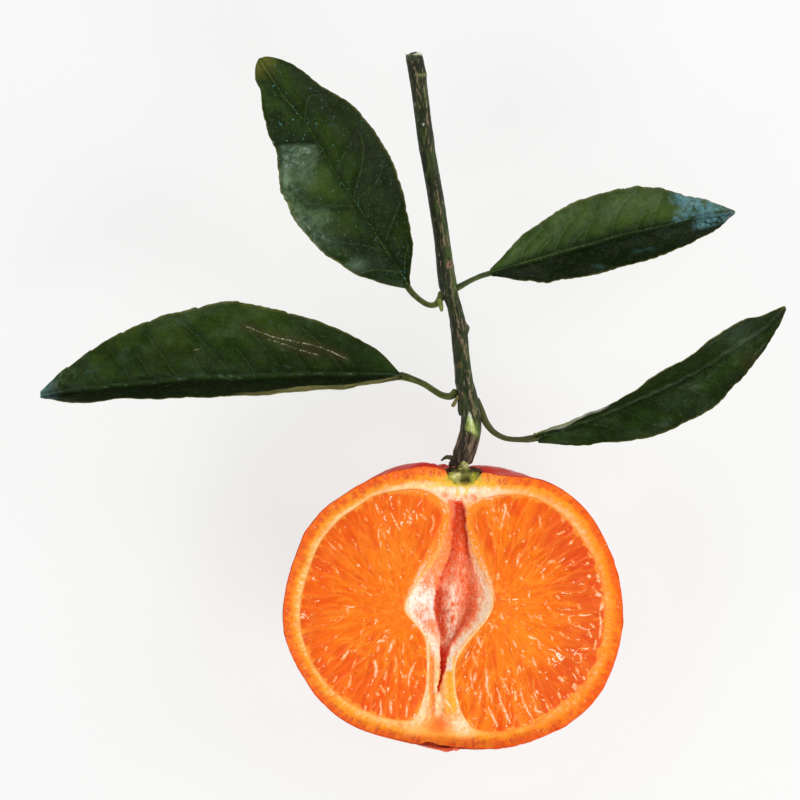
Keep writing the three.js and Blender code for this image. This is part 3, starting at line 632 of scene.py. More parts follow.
def pith_colour(x, y, depth, q, px, py):
    """The pith, the walls of the core and what shows at its back."""
    c, gland = section_colour(x, y)
    sl, sr = signed_distance(LEFT_RIM, x, y), signed_distance(RIGHT_RIM, x, y)
    fuzz = fbm(x * 2.4, y * 1.2, seed=41, octaves=4)
    fine = fbm(x * 6.0, y * 3.0, seed=43, octaves=3)
    # below the core: a column of pale and orange bands that run to the blossom end
    column = smooth(628, 650, py) * (1 - smooth(720, 736, py)) * smooth(-11, -9, -np.abs(x + 2.6))
    sway = 0.8 * noise(py * 0.05, 0, seed=51)
    cx0 = px - sway
    low = smooth(688, 700, py)
    soft = fbm(x * 2.5, y * 1.2, seed=68)
    band = np.broadcast_to(srgb(252, 158, 68), c.shape).copy()
    edge_line = 428.2 - 1.2 * smooth(676, 700, py) - 3.4 * smooth(694, 716, py)
    band = mix(band, srgb(255, 218, 170), smooth(0.25, 0.75, bump(cx0, edge_line - 1.6 * low, 1.5 + 3.2 * low)) * np.clip(0.85 + 0.8 * soft, 0, 1) * (1 - smooth(712, 722, py)))
    band = mix(band, srgb(250, 138, 54), smooth(0.15, 0.75, bump(cx0, 432.0 + 0.6 * low, 2.3)))
    band = mix(band, srgb(255, 216, 168), smooth(0.3, 0.75, bump(cx0, 436.8 + 2.0 * low, 2.9 + 2.0 * low)) * np.clip(0.75 + 1.0 * soft, 0, 1) * (1 - smooth(714, 723, py)))
    band = mix(band, srgb(255, 226, 196), smooth(0.2, 0.8, bump(cx0, 435.5, 4.4)) * (1 - smooth(646, 656, py)))
    band = mix(band, srgb(254, 184, 112), 0.85 * bump(cx0, 444.5, 2.6) * smooth(668, 674, py) * (1 - low))
    wedge = smooth(445.0 + 0.06 * np.maximum(700 - py, 0) * 1.2, 447.5 + 0.06 * np.maximum(700 - py, 0) * 1.2, cx0) * (1 - smooth(455, 457.5, cx0))
    band = mix(band, srgb(255, 172, 44), wedge * smooth(646, 656, py) * (1 - smooth(708, 718, py)))
    band = mix(band, srgb(250, 128, 50), 0.85 * bump(cx0, 448, 4.6) * smooth(702, 714, py) * (1 - wedge * (1 - smooth(712, 720, py))))
    block = smooth(444, 446, cx0) * (1 - smooth(451.5, 453.5, cx0)) * smooth(656, 659, py + 0.5 * (px - 448)) * (1 - smooth(668, 673, py))
    band = mix(band, srgb(255, 230, 206), 0.95 * block)
    band = band * (1 + 0.07 * fbm(x * 7, y * 1.3, seed=44) + 0.05 * fine)[..., None]
    band = foot_colour(band, px, py, x, y)
    fibre = bump((px - 448) * 0.77 - (py - 703.5) * 0.64, 0, 0.75) * smooth(444.6, 445.4, px) * (1 - smooth(450.6, 451.6, px))
    band = mix(band, srgb(255, 244, 216), 0.9 * fibre)
    line = 456.0 + 0.0022 * (py - 684) ** 2 + 0.8 * noise(py * 0.35, 3, seed=60)
    beads = bump(px - line, 0.3, 1.0) * smooth(646, 654, py) * (1 - smooth(712, 722, py))
    band = mix(band, srgb(255, 236, 204), 0.95 * beads * smooth(-0.25, 0.25, noise(px * 0.4, py * 0.6, seed=63)))
    c = mix(c, band, column)
    # upper walls of the segments beside the core
    beside = smooth(500, 512, py) * (1 - smooth(636, 650, py))
    pale_wall = mix(WALL, srgb(255, 206, 146), smooth(-0.3, 0.4, fuzz))
    pale_wall = mix(mix(srgb(255, 150, 56), srgb(254, 168, 84), smooth(-0.3, 0.4, fuzz)), pale_wall, smooth(568, 590, py))
    c = mix(c, pale_wall, beside * (depth > -0.6))
    # the core itself: strands of white wool over salmon walls
    hair = fbm(x * 5.0, y * 1.7, seed=48, octaves=3)
    wool = fbm(x * 1.3, y * 0.7, seed=49, octaves=3)
    curl = fbm(x * 3.0, y * 3.0, seed=65, octaves=3)
    salmon = mix(srgb(248, 128, 72), srgb(252, 160, 106), np.clip(0.5 + hair + wool, 0, 1))
    white = 0.62 * bump(py, 600, 17) + 0.30 * bump(py, 618, 22) + 0.50 * hair + 0.5 * wool + 0.3 * curl
    left_wall = mix(salmon, srgb(250, 188, 158), smooth(0.05, 0.45, white))
    left_wall = mix(left_wall, FUZZ, smooth(0.35, 0.95, white))
    left_wall = mix(left_wall, srgb(253, 144, 68), 0.75 * smooth(582, 560, py))
    left_wall = mix(left_wall, srgb(238, 108, 64), 0.55 * smooth(-0.05, 0.35, hair + 0.5 * wool) * smooth(590, 560, py))
    left_wall = mix(left_wall, srgb(236, 120, 66), 0.6 * smooth(612, 640, py) * smooth(-0.1, 0.3, hair))
    left_wall = mix(left_wall, srgb(246, 142, 78), 0.8 * bump(px, 432, 4.0) * bump(py, 627, 5.5))
    left_wall = mix(left_wall, srgb(255, 214, 176), 0.7 * smooth(630, 642, py))
    knots = bump(px, 427, 3.0) * bump(py, 610, 2.2) + bump(px, 414, 2.0) * bump(py, 612, 2.6) + 0.8 * bump(px, 421, 1.5) * bump(py, 616, 1.6)
    left_wall = mix(left_wall, srgb(228, 104, 62), 0.55 * np.clip(knots * (1 + 1.5 * hair), 0, 1))
    right_wall = mix(srgb(252, 150, 104), srgb(255, 228, 198), np.clip(0.52 + 1.3 * hair + 0.6 * wool + 0.4 * bump(py, 600, 26) + 0.55 * (q - 8.1), 0, 1))
    strands = fbm((px - 0.42 * (py - 600)) * 0.9 * SCALE * 2.4, py * SCALE * 0.9, seed=71, octaves=3)
    right_wall = mix(right_wall, srgb(250, 150, 92), 0.75 * smooth(0.05, 0.40, strands) * (1 - smooth(8.35, 8.8, q)))
    right_wall = mix(right_wall, srgb(255, 232, 202), 0.8 * smooth(0.0, 0.35, -strands) * smooth(7.9, 8.4, q))
    right_wall = mix(right_wall, srgb(255, 190, 120), 0.7 * smooth(574, 556, py))
    right_wall = mix(right_wall, srgb(255, 224, 184), 0.7 * smooth(8.2, 8.7, q + 0.5 * curl))
    right_wall = mix(right_wall, srgb(255, 182, 116), 0.5 * smooth(0.05, 0.35, fbm(x * 1.6, y * 1.6, seed=72)) * smooth(8.0, 8.5, q))
    mid = np.clip(smooth(540, 596, py) * (0.62 + 0.9 * hair + 0.7 * wool), 0, 1)
    back = mix(srgb(240, 102, 48), srgb(252, 164, 118), mid)
    strand = np.clip(0.50 + 1.1 * hair + 0.7 * wool + 0.35 * curl, 0, 1)
    back = mix(back, srgb(255, 232, 212), 0.90 * bump(px, 450.5 + 2.5 * noise(py * 0.06, 4), 7.0) * smooth(572, 594, py) * (1 - smooth(640, 656, py)) * strand)
    back = mix(back, srgb(250, 176, 148), 0.55 * smooth(0.1, 0.5, hair) * smooth(530, 560, py) * (1 - smooth(590, 610, py)))
    back = mix(back, srgb(214, 50, 20), 0.8 * smooth(453, 456, px) * (1 - smooth(505, 545, py)))
    back = mix(back, srgb(246, 150, 116), 0.85 * bump(px, 452.4 + 0.12 * (py - 502), 1.6) * (1 - smooth(512, 524, py)))
    left_furrow = smooth(0.1, 0.8, bump(q + 0.25 * hair, 3.4, 0.95)) * smooth(584, 594, py) * (1 - smooth(634, 644, py))
    right_furrow = bump(q, 6.9, 0.75) * smooth(574, 592, py) * (1 - smooth(640, 652, py))
    stripes = 0.55 * smooth(0.0, 0.5, noise(x * 1.2, y * 7.0, seed=64))
    back = mix(back, mix(srgb(212, 64, 28), srgb(232, 108, 62), stripes), 0.92 * left_furrow)
    back = mix(back, mix(srgb(238, 96, 50), srgb(252, 152, 108), stripes), 0.80 * right_furrow)
    back = mix(back, srgb(226, 60, 28), smooth(640, 654, py))
    back = mix(back, srgb(250, 176, 152), 0.8 * bump(px, 449.5, 2.6) * bump(py, 663, 7))
    spot = bump(px, 448, 3.6) * bump(py, 612, 2.0) + 0.8 * bump(px, 443, 2.0) * bump(py, 614, 1.6)
    back = mix(back, srgb(176, 70, 44), 0.62 * np.clip(spot * (1 + curl), 0, 1))
    inner = mix(left_wall, back, smooth(2.35, 2.75, q + 0.35 * curl))
    inner = mix(inner, right_wall, smooth(7.4, 7.8, q + 0.2 * curl))
    c = mix(c, inner, smooth(-0.15, -0.45, depth))
    # a thin pale lip where the walls start
    lip = bump(depth, -0.35, 0.35) * (q > 0.02) * (q < 8.98) * smooth(520, 560, py)
    c = mix(c, mix(srgb(255, 170, 88), srgb(255, 238, 218), smooth(562, 592, py)), 0.8 * lip * np.clip(0.8 + 1.2 * curl, 0, 1) * (1 - smooth(650, 665, py)))
    # ragged orange scraps where the top of the core meets the pith
    blush = np.clip(bump(px, 446.5, 5.5) * bump(py, 498, 6) + bump(px, 474, 10) * bump(py, 498.5, 5.5) + 0.6 * bump(px, 459, 9) * bump(py, 500, 2.5), 0, 1)
    c = mix(c, srgb(252, 184, 146), 0.8 * blush * (depth > -0.35))
    scraps = smooth(-0.05, 0.2, fbm(x * 2.2, y * 2.2, seed=57)) * np.clip(blush * 1.4, 0, 1)
    c = mix(c, srgb(244, 126, 66), 0.75 * scraps * (depth > -0.5))
    # the membranes along the segments
    wall = bump(np.minimum(sl, sr), 0.12, 0.28)
    c = mix(c, mix(srgb(255, 166, 72), srgb(255, 214, 160), smooth(575, 600, py)), 0.6 * wall * (depth > -0.4))
    return c


# ---------------------------------------------------------------- materials
def material(name, roughness=0.4, coat=0.0, coat_rough=0.1, specular=0.5, sheen=0.0, subsurface=0.0, radius=(1, .35, .1), scale=0.001):
    """A painted material: the Tint of the mesh, with its own noise on top. Returns it with its nodes and shader."""
    m = bpy.data.materials.new(name)
    m.use_nodes = True
    nodes, links = m.node_tree.nodes, m.node_tree.links
    nodes.clear()
    out = nodes.new("ShaderNodeOutputMaterial")
    shader = nodes.new("ShaderNodeBsdfPrincipled")
    links.new(shader.outputs[0], out.inputs[0])
    shader.inputs["Roughness"].default_value = roughness
    shader.inputs["Coat Weight"].default_value = coat
    shader.inputs["Coat Roughness"].default_value = coat_rough
    shader.inputs["Specular IOR Level"].default_value = specular
    shader.inputs["Sheen Weight"].default_value = sheen
    shader.inputs["Subsurface Weight"].default_value = subsurface
    shader.inputs["Subsurface Radius"].default_value = radius
    shader.inputs["Subsurface Scale"].default_value = scale
    return m, nodes, links, shader


def node(nodes, kind, **settings):
    n = nodes.new(kind)
    for key, value in settings.items():
        if key in n.inputs:
            n.inputs[key].default_value = value
        else:
            setattr(n, key, value)
    return n


def tint_nodes(nodes, links, name="Tint"):
    return node(nodes, "ShaderNodeAttribute", attribute_name=name)


def place_nodes(nodes):
    return node(nodes, "ShaderNodeTexCoord").outputs["Object"]


def line_mask(nodes, links, distance, wobble, low, high, share=1.0):
    """1 where distance is under low, 0 where it is over high, made uneven by wobble."""
    moved = node(nodes, "ShaderNodeMath", operation="ADD")
    links.new(distance, moved.inputs[0])
    links.new(wobble, moved.inputs[1])
    span = node(nodes, "ShaderNodeMapRange")
    span.inputs["From Min"].default_value, span.inputs["From Max"].default_value = low, high
    span.inputs["To Min"].default_value, span.inputs["To Max"].default_value = share, 0.0
    links.new(moved.outputs[0], span.inputs["Value"])
    return span.outputs[0]


def spread(nodes, links, value, low, high, to_low=0.0, to_high=1.0):
    span = node(nodes, "ShaderNodeMapRange")
    span.inputs["From Min"].default_value, span.inputs["From Max"].default_value = low, high
    span.inputs["To Min"].default_value, span.inputs["To Max"].default_value = to_low, to_high
    links.new(value, span.inputs["Value"])
    return span.outputs[0]


def times(nodes, links, a, b):
    both = node(nodes, "ShaderNodeMath", operation="MULTIPLY")
    links.new(a, both.inputs[0])
    links.new(b, both.inputs[1])
    return both.outputs[0]


def over(nodes, links, colour, tone, mask):
    blend = node(nodes, "ShaderNodeMix", data_type="RGBA")
    blend.inputs[7].default_value = (*tone, 1)
    links.new(mask, blend.inputs[0])
    links.new(colour, blend.inputs[6])
    return blend.outputs[2]


def noise_of(nodes, links, place, size, detail=3.0, stretch=None, turn=0.0):
    if stretch is not None:
        mapping = node(nodes, "ShaderNodeMapping")
        mapping.inputs["Rotation"].default_value = (0, 0, turn)
        mapping.inputs["Scale"].default_value = stretch
        links.new(place, mapping.inputs["Vector"])
        place = mapping.outputs[0]
    tex = node(nodes, "ShaderNodeTexNoise", Scale=1.0 / (size * MM), Detail=detail, Roughness=0.6)
    links.new(place, tex.inputs["Vector"])
    return tex.outputs["Fac"]


def dots_of(nodes, links, place, size, keep, radius):
    """Small round dots: the share keep of the cells of the given size, mm, has one."""
    tex = node(nodes, "ShaderNodeTexVoronoi", Scale=1.0 / (size * MM), Randomness=1.0)
    links.new(place, tex.inputs["Vector"])
    split = node(nodes, "ShaderNodeSeparateColor")
    links.new(tex.outputs["Color"], split.inputs[0])
    return (times(nodes, links, spread(nodes, links, split.outputs[0], 1 - keep, 1 - keep + 0.02),
                  spread(nodes, links, tex.outputs["Distance"], radius, radius * 0.5)), split.outputs[1])


def mottled(nodes, links, colour, vector, size, amount, detail=4.0, dark=0.0):
    """The colour made a little lighter and darker by noise of the given size, mm."""
    tex = node(nodes, "ShaderNodeTexNoise", Scale=1.0 / (size * MM), Detail=detail, Roughness=0.6)
    links.new(vector, tex.inputs["Vector"])
    span = node(nodes, "ShaderNodeMapRange")
    span.inputs["From Min"].default_value, span.inputs["From Max"].default_value = 0.3, 0.7
    span.inputs["To Min"].default_value, span.inputs["To Max"].default_value = 1 - amount - dark, 1 + amount
    links.new(tex.outputs["Fac"], span.inputs["Value"])
    scale = node(nodes, "ShaderNodeVectorMath", operation="SCALE")
    links.new(colour, scale.inputs[0])
    links.new(span.outputs[0], scale.inputs["Scale"])
    return scale.outputs[0]


def bumped(nodes, links, shader, vector, layers, coat=False):
    """Fine relief from noise: layers of (size mm, height mm, detail)."""
    previous = None
    for size, height, detail in layers:
        tex = node(nodes, "ShaderNodeTexNoise", Scale=1.0 / (size * MM), Detail=detail, Roughness=0.55)
        links.new(vector, tex.inputs["Vector"])
        b = node(nodes, "ShaderNodeBump", Strength=1.0, Distance=height * MM)
        links.new(tex.outputs["Fac"], b.inputs["Height"])
        if previous is not None:
            links.new(previous.outputs[0], b.inputs["Normal"])
        previous = b
    links.new(previous.outputs[0], shader.inputs["Normal"])
    if coat:
        links.new(previous.outputs[0], shader.inputs["Coat Normal"])


def rough_by(nodes, links, shader, vector, size, low, high):
    tex = node(nodes, "ShaderNodeTexNoise", Scale=1.0 / (size * MM), Detail=3.0)
    links.new(vector, tex.inputs["Vector"])
    span = node(nodes, "ShaderNodeMapRange")
    span.inputs["From Min"].default_value, span.inputs["From Max"].default_value = 0.35, 0.65
    span.inputs["To Min"].default_value, span.inputs["To Max"].default_value = low, high
    links.new(tex.outputs["Fac"], span.inputs["Value"])
    links.new(span.outputs[0], shader.inputs["Roughness"])


def skin_material():
    m, nodes, links, shader = material("skin_peel", 0.38, specular=0.10, subsurface=0.06, scale=0.0006)
    place = place_nodes(nodes)
    c = mottled(nodes, links, tint_nodes(nodes, links).outputs["Color"], place, 0.7, 0.07)
    c = mottled(nodes, links, c, place, 9.0, 0.05, 2.0)
    # oil glands as deeper dots, a few of them with a pale heart
    mask, _ = dots_of(nodes, links, place, 0.95, 0.8, 0.30)
    c = over(nodes, links, c, srgb(176, 34, 12), spread(nodes, links, mask, 0, 1, 0, 0.34))
    mask, _ = dots_of(nodes, links, place, 1.6, 0.3, 0.12)
    c = over(nodes, links, c, srgb(250, 150, 80), spread(nodes, links, mask, 0, 1, 0, 0.4))
    links.new(c, shader.inputs["Base Color"])
    bumped(nodes, links, shader, place, [(0.35, 0.03, 3.0)])
    rough_by(nodes, links, shader, place, 2.5, 0.3, 0.46)
    return m


def section_material():
    m, nodes, links, shader = material("cut_peel", 0.42, specular=0.16, subsurface=0.1, scale=0.0006)
    place = place_nodes(nodes)
    c = mottled(nodes, links, tint_nodes(nodes, links).outputs["Color"], place, 0.28, 0.13)
    c = mottled(nodes, links, c, place, 1.1, 0.10)
    # small pale beads and a few wet sparks
    mask, _ = dots_of(nodes, links, place, 0.52, 0.36, 0.26)
    c = over(nodes, links, c, srgb(255, 196, 112), spread(nodes, links, mask, 0, 1, 0, 0.30))
    mask, _ = dots_of(nodes, links, place, 1.3, 0.16, 0.12)
    c = over(nodes, links, c, srgb(255, 226, 188), spread(nodes, links, mask, 0, 1, 0, 0.7))
    links.new(c, shader.inputs["Base Color"])
    bumped(nodes, links, shader, place, [(0.5, 0.05, 3.0), (0.14, 0.02, 2.0)])
    rough_by(nodes, links, shader, place, 1.2, 0.3, 0.55)
    return m


def pith_material():
    m, nodes, links, shader = material("pith_and_core", 0.6, specular=0.14, subsurface=0.12, scale=0.0007)
    place = place_nodes(nodes)
    stretch = node(nodes, "ShaderNodeMapping")
    stretch.inputs["Scale"].default_value = (1.0, 0.32, 1.0)
    links.new(place, stretch.inputs["Vector"])
    c = mottled(nodes, links, tint_nodes(nodes, links).outputs["Color"], stretch.outputs[0], 0.3, 0.10)
    # fine fibres, some white and some deep
    fibre = noise_of(nodes, links, place, 0.55, 4.0, (2.2, 0.7, 1.0), 0.12)
    c = over(nodes, links, c, srgb(255, 240, 216), spread(nodes, links, fibre, 0.57, 0.64, 0.0, 0.32))
    c = over(nodes, links, c, srgb(236, 108, 54), spread(nodes, links, fibre, 0.42, 0.34, 0.0, 0.38))
    links.new(c, shader.inputs["Base Color"])
    bumped(nodes, links, shader, stretch.outputs[0], [(0.45, 0.10, 4.0), (0.12, 0.03, 2.0)])
    rough_by(nodes, links, shader, place, 1.0, 0.38, 0.7)
    return m


def flesh_material():
    m, nodes, links, shader = material("juice_sacs", 0.26, specular=0.11, subsurface=0.06, radius=(1, .4, .1), scale=0.0009)
    place = place_nodes(nodes)
    c = mottled(nodes, links, tint_nodes(nodes, links).outputs["Color"], place, 0.55, 0.05)
    # fine threads along the rays, some glowing and some deep
    ray = tint_nodes(nodes, links, "Ray")
    thread = node(nodes, "ShaderNodeTexNoise", Scale=1.0, Detail=3.0, Roughness=0.6)
    links.new(ray.outputs["Vector"], thread.inputs["Vector"])
    for low, high, tone in ((0.52, 0.72, JUICE_GLOW), (0.44, 0.26, JUICE_DEEP)):
        span = node(nodes, "ShaderNodeMapRange")
        span.inputs["From Min"].default_value, span.inputs["From Max"].default_value = low, high
        span.inputs["To Min"].default_value, span.inputs["To Max"].default_value = 0.0, 0.34
        links.new(thread.outputs["Fac"], span.inputs["Value"])
        c = over(nodes, links, c, tone, times(nodes, links, span.outputs[0], spread(nodes, links, tint_nodes(nodes, links, "Near").outputs["Fac"], 0.0, 0.8, 1.0, 0.1)))
    # wet glints along the rays, bent a little and crowded where the cut is wettest
    shift = node(nodes, "ShaderNodeTexNoise", Scale=1.0 / (1.3 * MM), Detail=1.0)
    links.new(place, shift.inputs["Vector"])
    centred = node(nodes, "ShaderNodeVectorMath", operation="SUBTRACT")
    centred.inputs[1].default_value = (0.5, 0.5, 0.5)
    links.new(shift.outputs["Color"], centred.inputs[0])
    wider = node(nodes, "ShaderNodeVectorMath", operation="SCALE")
    wider.inputs["Scale"].default_value = 2.6
    links.new(centred.outputs[0], wider.inputs[0])
    bent = node(nodes, "ShaderNodeVectorMath", operation="ADD")
    links.new(ray.outputs["Vector"], bent.inputs[0])
    links.new(wider.outputs[0], bent.inputs[1])
    crowd = spread(nodes, links, tint_nodes(nodes, links, "Wet").outputs["Fac"], 0.0, 1.0, -0.02, 0.075)
    for size, low, high, share in ((0.80, 0.700, 0.725, 0.92), (1.7, 0.742, 0.765, 0.80)):
        tex = node(nodes, "ShaderNodeTexNoise", Scale=size, Detail=2.0, Roughness=0.5)
        links.new(bent.outputs[0], tex.inputs["Vector"])
        raised = node(nodes, "ShaderNodeMath", operation="ADD")
        links.new(tex.outputs["Fac"], raised.inputs[0])
        links.new(crowd, raised.inputs[1])
        c = over(nodes, links, c, JUICE_EDGE, spread(nodes, links, raised.outputs[0], low - 0.045, low, 0.0, 0.45))
        c = over(nodes, links, c, srgb(255, 226, 204), spread(nodes, links, raised.outputs[0], low, high, 0.0, share))
    # strips of wet skin
    strip = tint_nodes(nodes, links, "Strip").outputs["Fac"]
    ragged = spread(nodes, links, noise_of(nodes, links, place, 0.35, 2.0), 0.3, 0.7, -0.75, 0.75)
    broken = spread(nodes, links, noise_of(nodes, links, place, 0.55, 2.0), 0.40, 0.54, 0.25, 1.0)
    c = over(nodes, links, c, srgb(255, 156, 76), line_mask(nodes, links, strip, ragged, 0.1, 1.2, 0.60))
    c = over(nodes, links, c, srgb(255, 220, 190), times(nodes, links, broken, line_mask(nodes, links, strip, ragged, -0.62, 0.02, 0.80)))
    # tiny wet points
    dots = node(nodes, "ShaderNodeTexVoronoi", Scale=1.0 / (1.15 * MM), Randomness=1.0)
    links.new(place, dots.inputs["Vector"])
    some = node(nodes, "ShaderNodeSeparateColor")
    links.new(dots.outputs["Color"], some.inputs[0])
    chosen = node(nodes, "ShaderNodeMapRange")
    chosen.inputs["From Min"].default_value, chosen.inputs["From Max"].default_value = 0.80, 0.84
    links.new(some.outputs[0], chosen.inputs["Value"])
    close = node(nodes, "ShaderNodeMapRange")
    close.inputs["From Min"].default_value, close.inputs["From Max"].default_value = 0.13, 0.06
    close.inputs["To Min"].default_value, close.inputs["To Max"].default_value = 0.0, 0.8
    links.new(dots.outputs["Distance"], close.inputs["Value"])
    both = node(nodes, "ShaderNodeMath", operation="MULTIPLY")
    links.new(chosen.outputs[0], both.inputs[0])
    links.new(close.outputs[0], both.inputs[1])
    blend = node(nodes, "ShaderNodeMix", data_type="RGBA")
    blend.inputs[7].default_value = (*WET, 1)
    links.new(both.outputs[0], blend.inputs[0])
    links.new(c, blend.inputs[6])
    links.new(blend.outputs[2], shader.inputs["Base Color"])
    grain = node(nodes, "ShaderNodeBump", Strength=1.0, Distance=0.025 * MM)
    links.new(thread.outputs["Fac"], grain.inputs["Height"])
    tex = node(nodes, "ShaderNodeTexNoise", Scale=1.0 / (0.9 * MM), Detail=2.0)
    links.new(place, tex.inputs["Vector"])
    swell = node(nodes, "ShaderNodeBump", Strength=1.0, Distance=0.05 * MM)
    links.new(tex.outputs["Fac"], swell.inputs["Height"])
    links.new(grain.outputs[0], swell.inputs["Normal"])
    links.new(swell.outputs[0], shader.inputs["Normal"])
    wet = tint_nodes(nodes, links, "Dry")
    span = node(nodes, "ShaderNodeMapRange")
    span.inputs["To Min"].default_value, span.inputs["To Max"].default_value = 0.22, 0.48
    links.new(wet.outputs["Fac"], span.inputs["Value"])
    links.new(span.outputs[0], shader.inputs["Roughness"])
    return m


# ---------------------------------------------------------------- the skin
def build_skin():
    rows, columns = 258, 228
    lat = np.linspace(-90, 90, rows)[:, None]
    aro = np.linspace(0, 180, columns)[None, :]
    # a little closer together towards the cut edges
    aro = aro + 6 * np.sin(np.radians(2 * aro)) * -0.5
    lat, aro = np.broadcast_arrays(lat, aro)
    x, y, z = skin(lat, aro)
    centre = np.stack([x, y, z - CUT], -1)
    n = centre / np.maximum(np.linalg.norm(centre, axis=-1, keepdims=True), 1e-6)
    gland, key = pits(x, y, z, 1.25, seed=70)
    edge = smooth(0, 5, np.minimum(aro, 180 - aro)) * 0.85 + 0.15
    pole = smooth(90, 84, np.abs(lat))
    swell = 0.24 * fbm(x * 0.16, y * 0.16, z * 0.16, seed=74) + 0.10 * fbm(x * 0.5, y * 0.5, z * 0.5, seed=75)
    sink = (0.055 + 0.05 * key) * np.exp(-(gland / 0.36) ** 2)
    # shallow folds that run out from the stem and the blossom end
    folds = 0.32 * np.maximum(smooth(62, 84, lat), 0.4 * smooth(66, 86, -lat)) * np.cos(np.radians(aro) * 15 + 2.2 * noise(aro * 0.02, lat * 0.05, seed=76))
    move = (swell * edge - sink * (0.5 + 0.5 * edge) + folds * pole * edge)[..., None] * n
    x, y, z = x + move[..., 0], y + move[..., 1], z + move[..., 2]
    z = np.where(aro < 0.01, CUT - 0.06, np.where(aro > 179.99, CUT - 0.06, np.minimum(z, CUT - 0.06)))
    z = np.where(z < 0.25, 0.25 * np.exp(np.minimum(z - 0.25, 0) / 0.25) * smooth(-1.6, 0.25, z), z)
    dot = np.exp(-(gland / 0.30) ** 2)
    tone = fbm(x * 0.11, y * 0.11, z * 0.11, seed=77)
    c = mix(SKIN, SKIN_DEEP, np.clip(0.26 + 0.42 * tone + 0.74 * smooth(48, 72, lat), 0, 1))
    c = mix(c, SKIN_PALE, np.clip(0.30 * fbm(x * 0.3, y * 0.3, z * 0.3, seed=78) + 0.10, 0, 0.35))
    c = mix(c, srgb(196, 26, 12), 0.75 * smooth(44, 62, lat) * (1 - smooth(30, 70, np.minimum(aro, 180 - aro))))
    c = mix(c, SKIN_DEEP, (0.60 * dot * (0.4 + 0.6 * key)))
    c = mix(c, SKIN_PALE, 0.30 * bump(gland, 0.52, 0.14) * (1 - smooth(48, 66, lat)))
    c = mix(c, srgb(112, 14, 16), np.clip(0.95 * smooth(69, 78, -lat + 2 * tone) * (0.95 + tone), 0, 0.92) * (1 - 0.88 * smooth(5, 24, np.minimum(aro, 180 - aro))))
    c = mix(c, srgb(120, 92, 30), 0.55 * smooth(85, 88.5, lat))
    # inner face of the peel, coarser
    inner_columns = 12
    ia = np.linspace(0, 180, inner_columns)[None, :]
    il, ia = np.broadcast_arrays(np.linspace(-90, 90, rows)[:, None], ia)
    ix, iy, iz = skin(il, ia)
    k = 1 - 3.2 / 31
    ix, iy, iz = ix * k, iy * k, CUT - 1.0 + (iz - CUT) * k
    iz = np.where(ia < 0.01, CUT - 1.2, np.where(ia > 179.99, CUT - 1.2, np.maximum(iz, 1.2)))
    outer = np.stack([x, y, z], -1).reshape(-1, 3)
    inner = np.stack([ix, iy, iz], -1).reshape(-1, 3)
    start = len(outer)
    quads = grid_faces(rows, columns)[:, ::-1]
    back = grid_faces(rows, inner_columns, start=start)
    i = np.arange(rows - 1)
    right = np.stack([i * columns, (i + 1) * columns, start + (i + 1) * inner_columns, start + i * inner_columns], 1)
    left = np.stack([i * columns + columns - 1, start + i * inner_columns + inner_columns - 1,
                     start + (i + 1) * inner_columns + inner_columns - 1, (i + 1) * columns + columns - 1], 1)
    faces = np.concatenate([quads, back, right[:, ::-1], left[:, ::-1]])
    u = np.concatenate([np.broadcast_to(np.linspace(0, 0.96, columns), (rows, columns)).ravel(),
                        np.broadcast_to(np.linspace(0.965, 1.0, inner_columns), (rows, inner_columns)).ravel()])
    v = np.concatenate([np.broadcast_to(np.linspace(0, 1, rows)[:, None], (rows, columns)).ravel(),
                        np.broadcast_to(np.linspace(0, 1, rows)[:, None], (rows, inner_columns)).ravel()])
    uv = np.stack([u[faces], v[faces]], -1)
    n_main = len(quads) + len(back)
    uv[n_main:, :, 0] = 0.9625
    co = np.vstack([outer, inner])
    within = np.broadcast_to(CREAM, ix.shape + (3,)).copy()
    within[:, 0], within[:, -1] = c[:, 0], c[:, -1]
    colour = np.vstack([c.reshape(-1, 3), within.reshape(-1, 3)])
    ob = make("peel", co, faces, colour=colour, uv=uv.reshape(-1, 2))
    clean(ob)
    ob.data.materials.append(skin_material())
    return ob


def clean(ob):
    """Join points that fell together, such as at a pole, and drop faces without area."""
    import bmesh
    bm = bmesh.new()
    bm.from_mesh(ob.data)
    bmesh.ops.remove_doubles(bm, verts=bm.verts, dist=2e-6)
    bmesh.ops.dissolve_degenerate(bm, edges=bm.edges, dist=1e-7)
    bmesh.ops.recalc_face_normals(bm, faces=bm.faces)
    bm.to_mesh(ob.data)
    bm.free()
    ob.data.polygons.foreach_set("use_smooth", np.ones(len(ob.data.polygons), bool))
    ob.data.update()


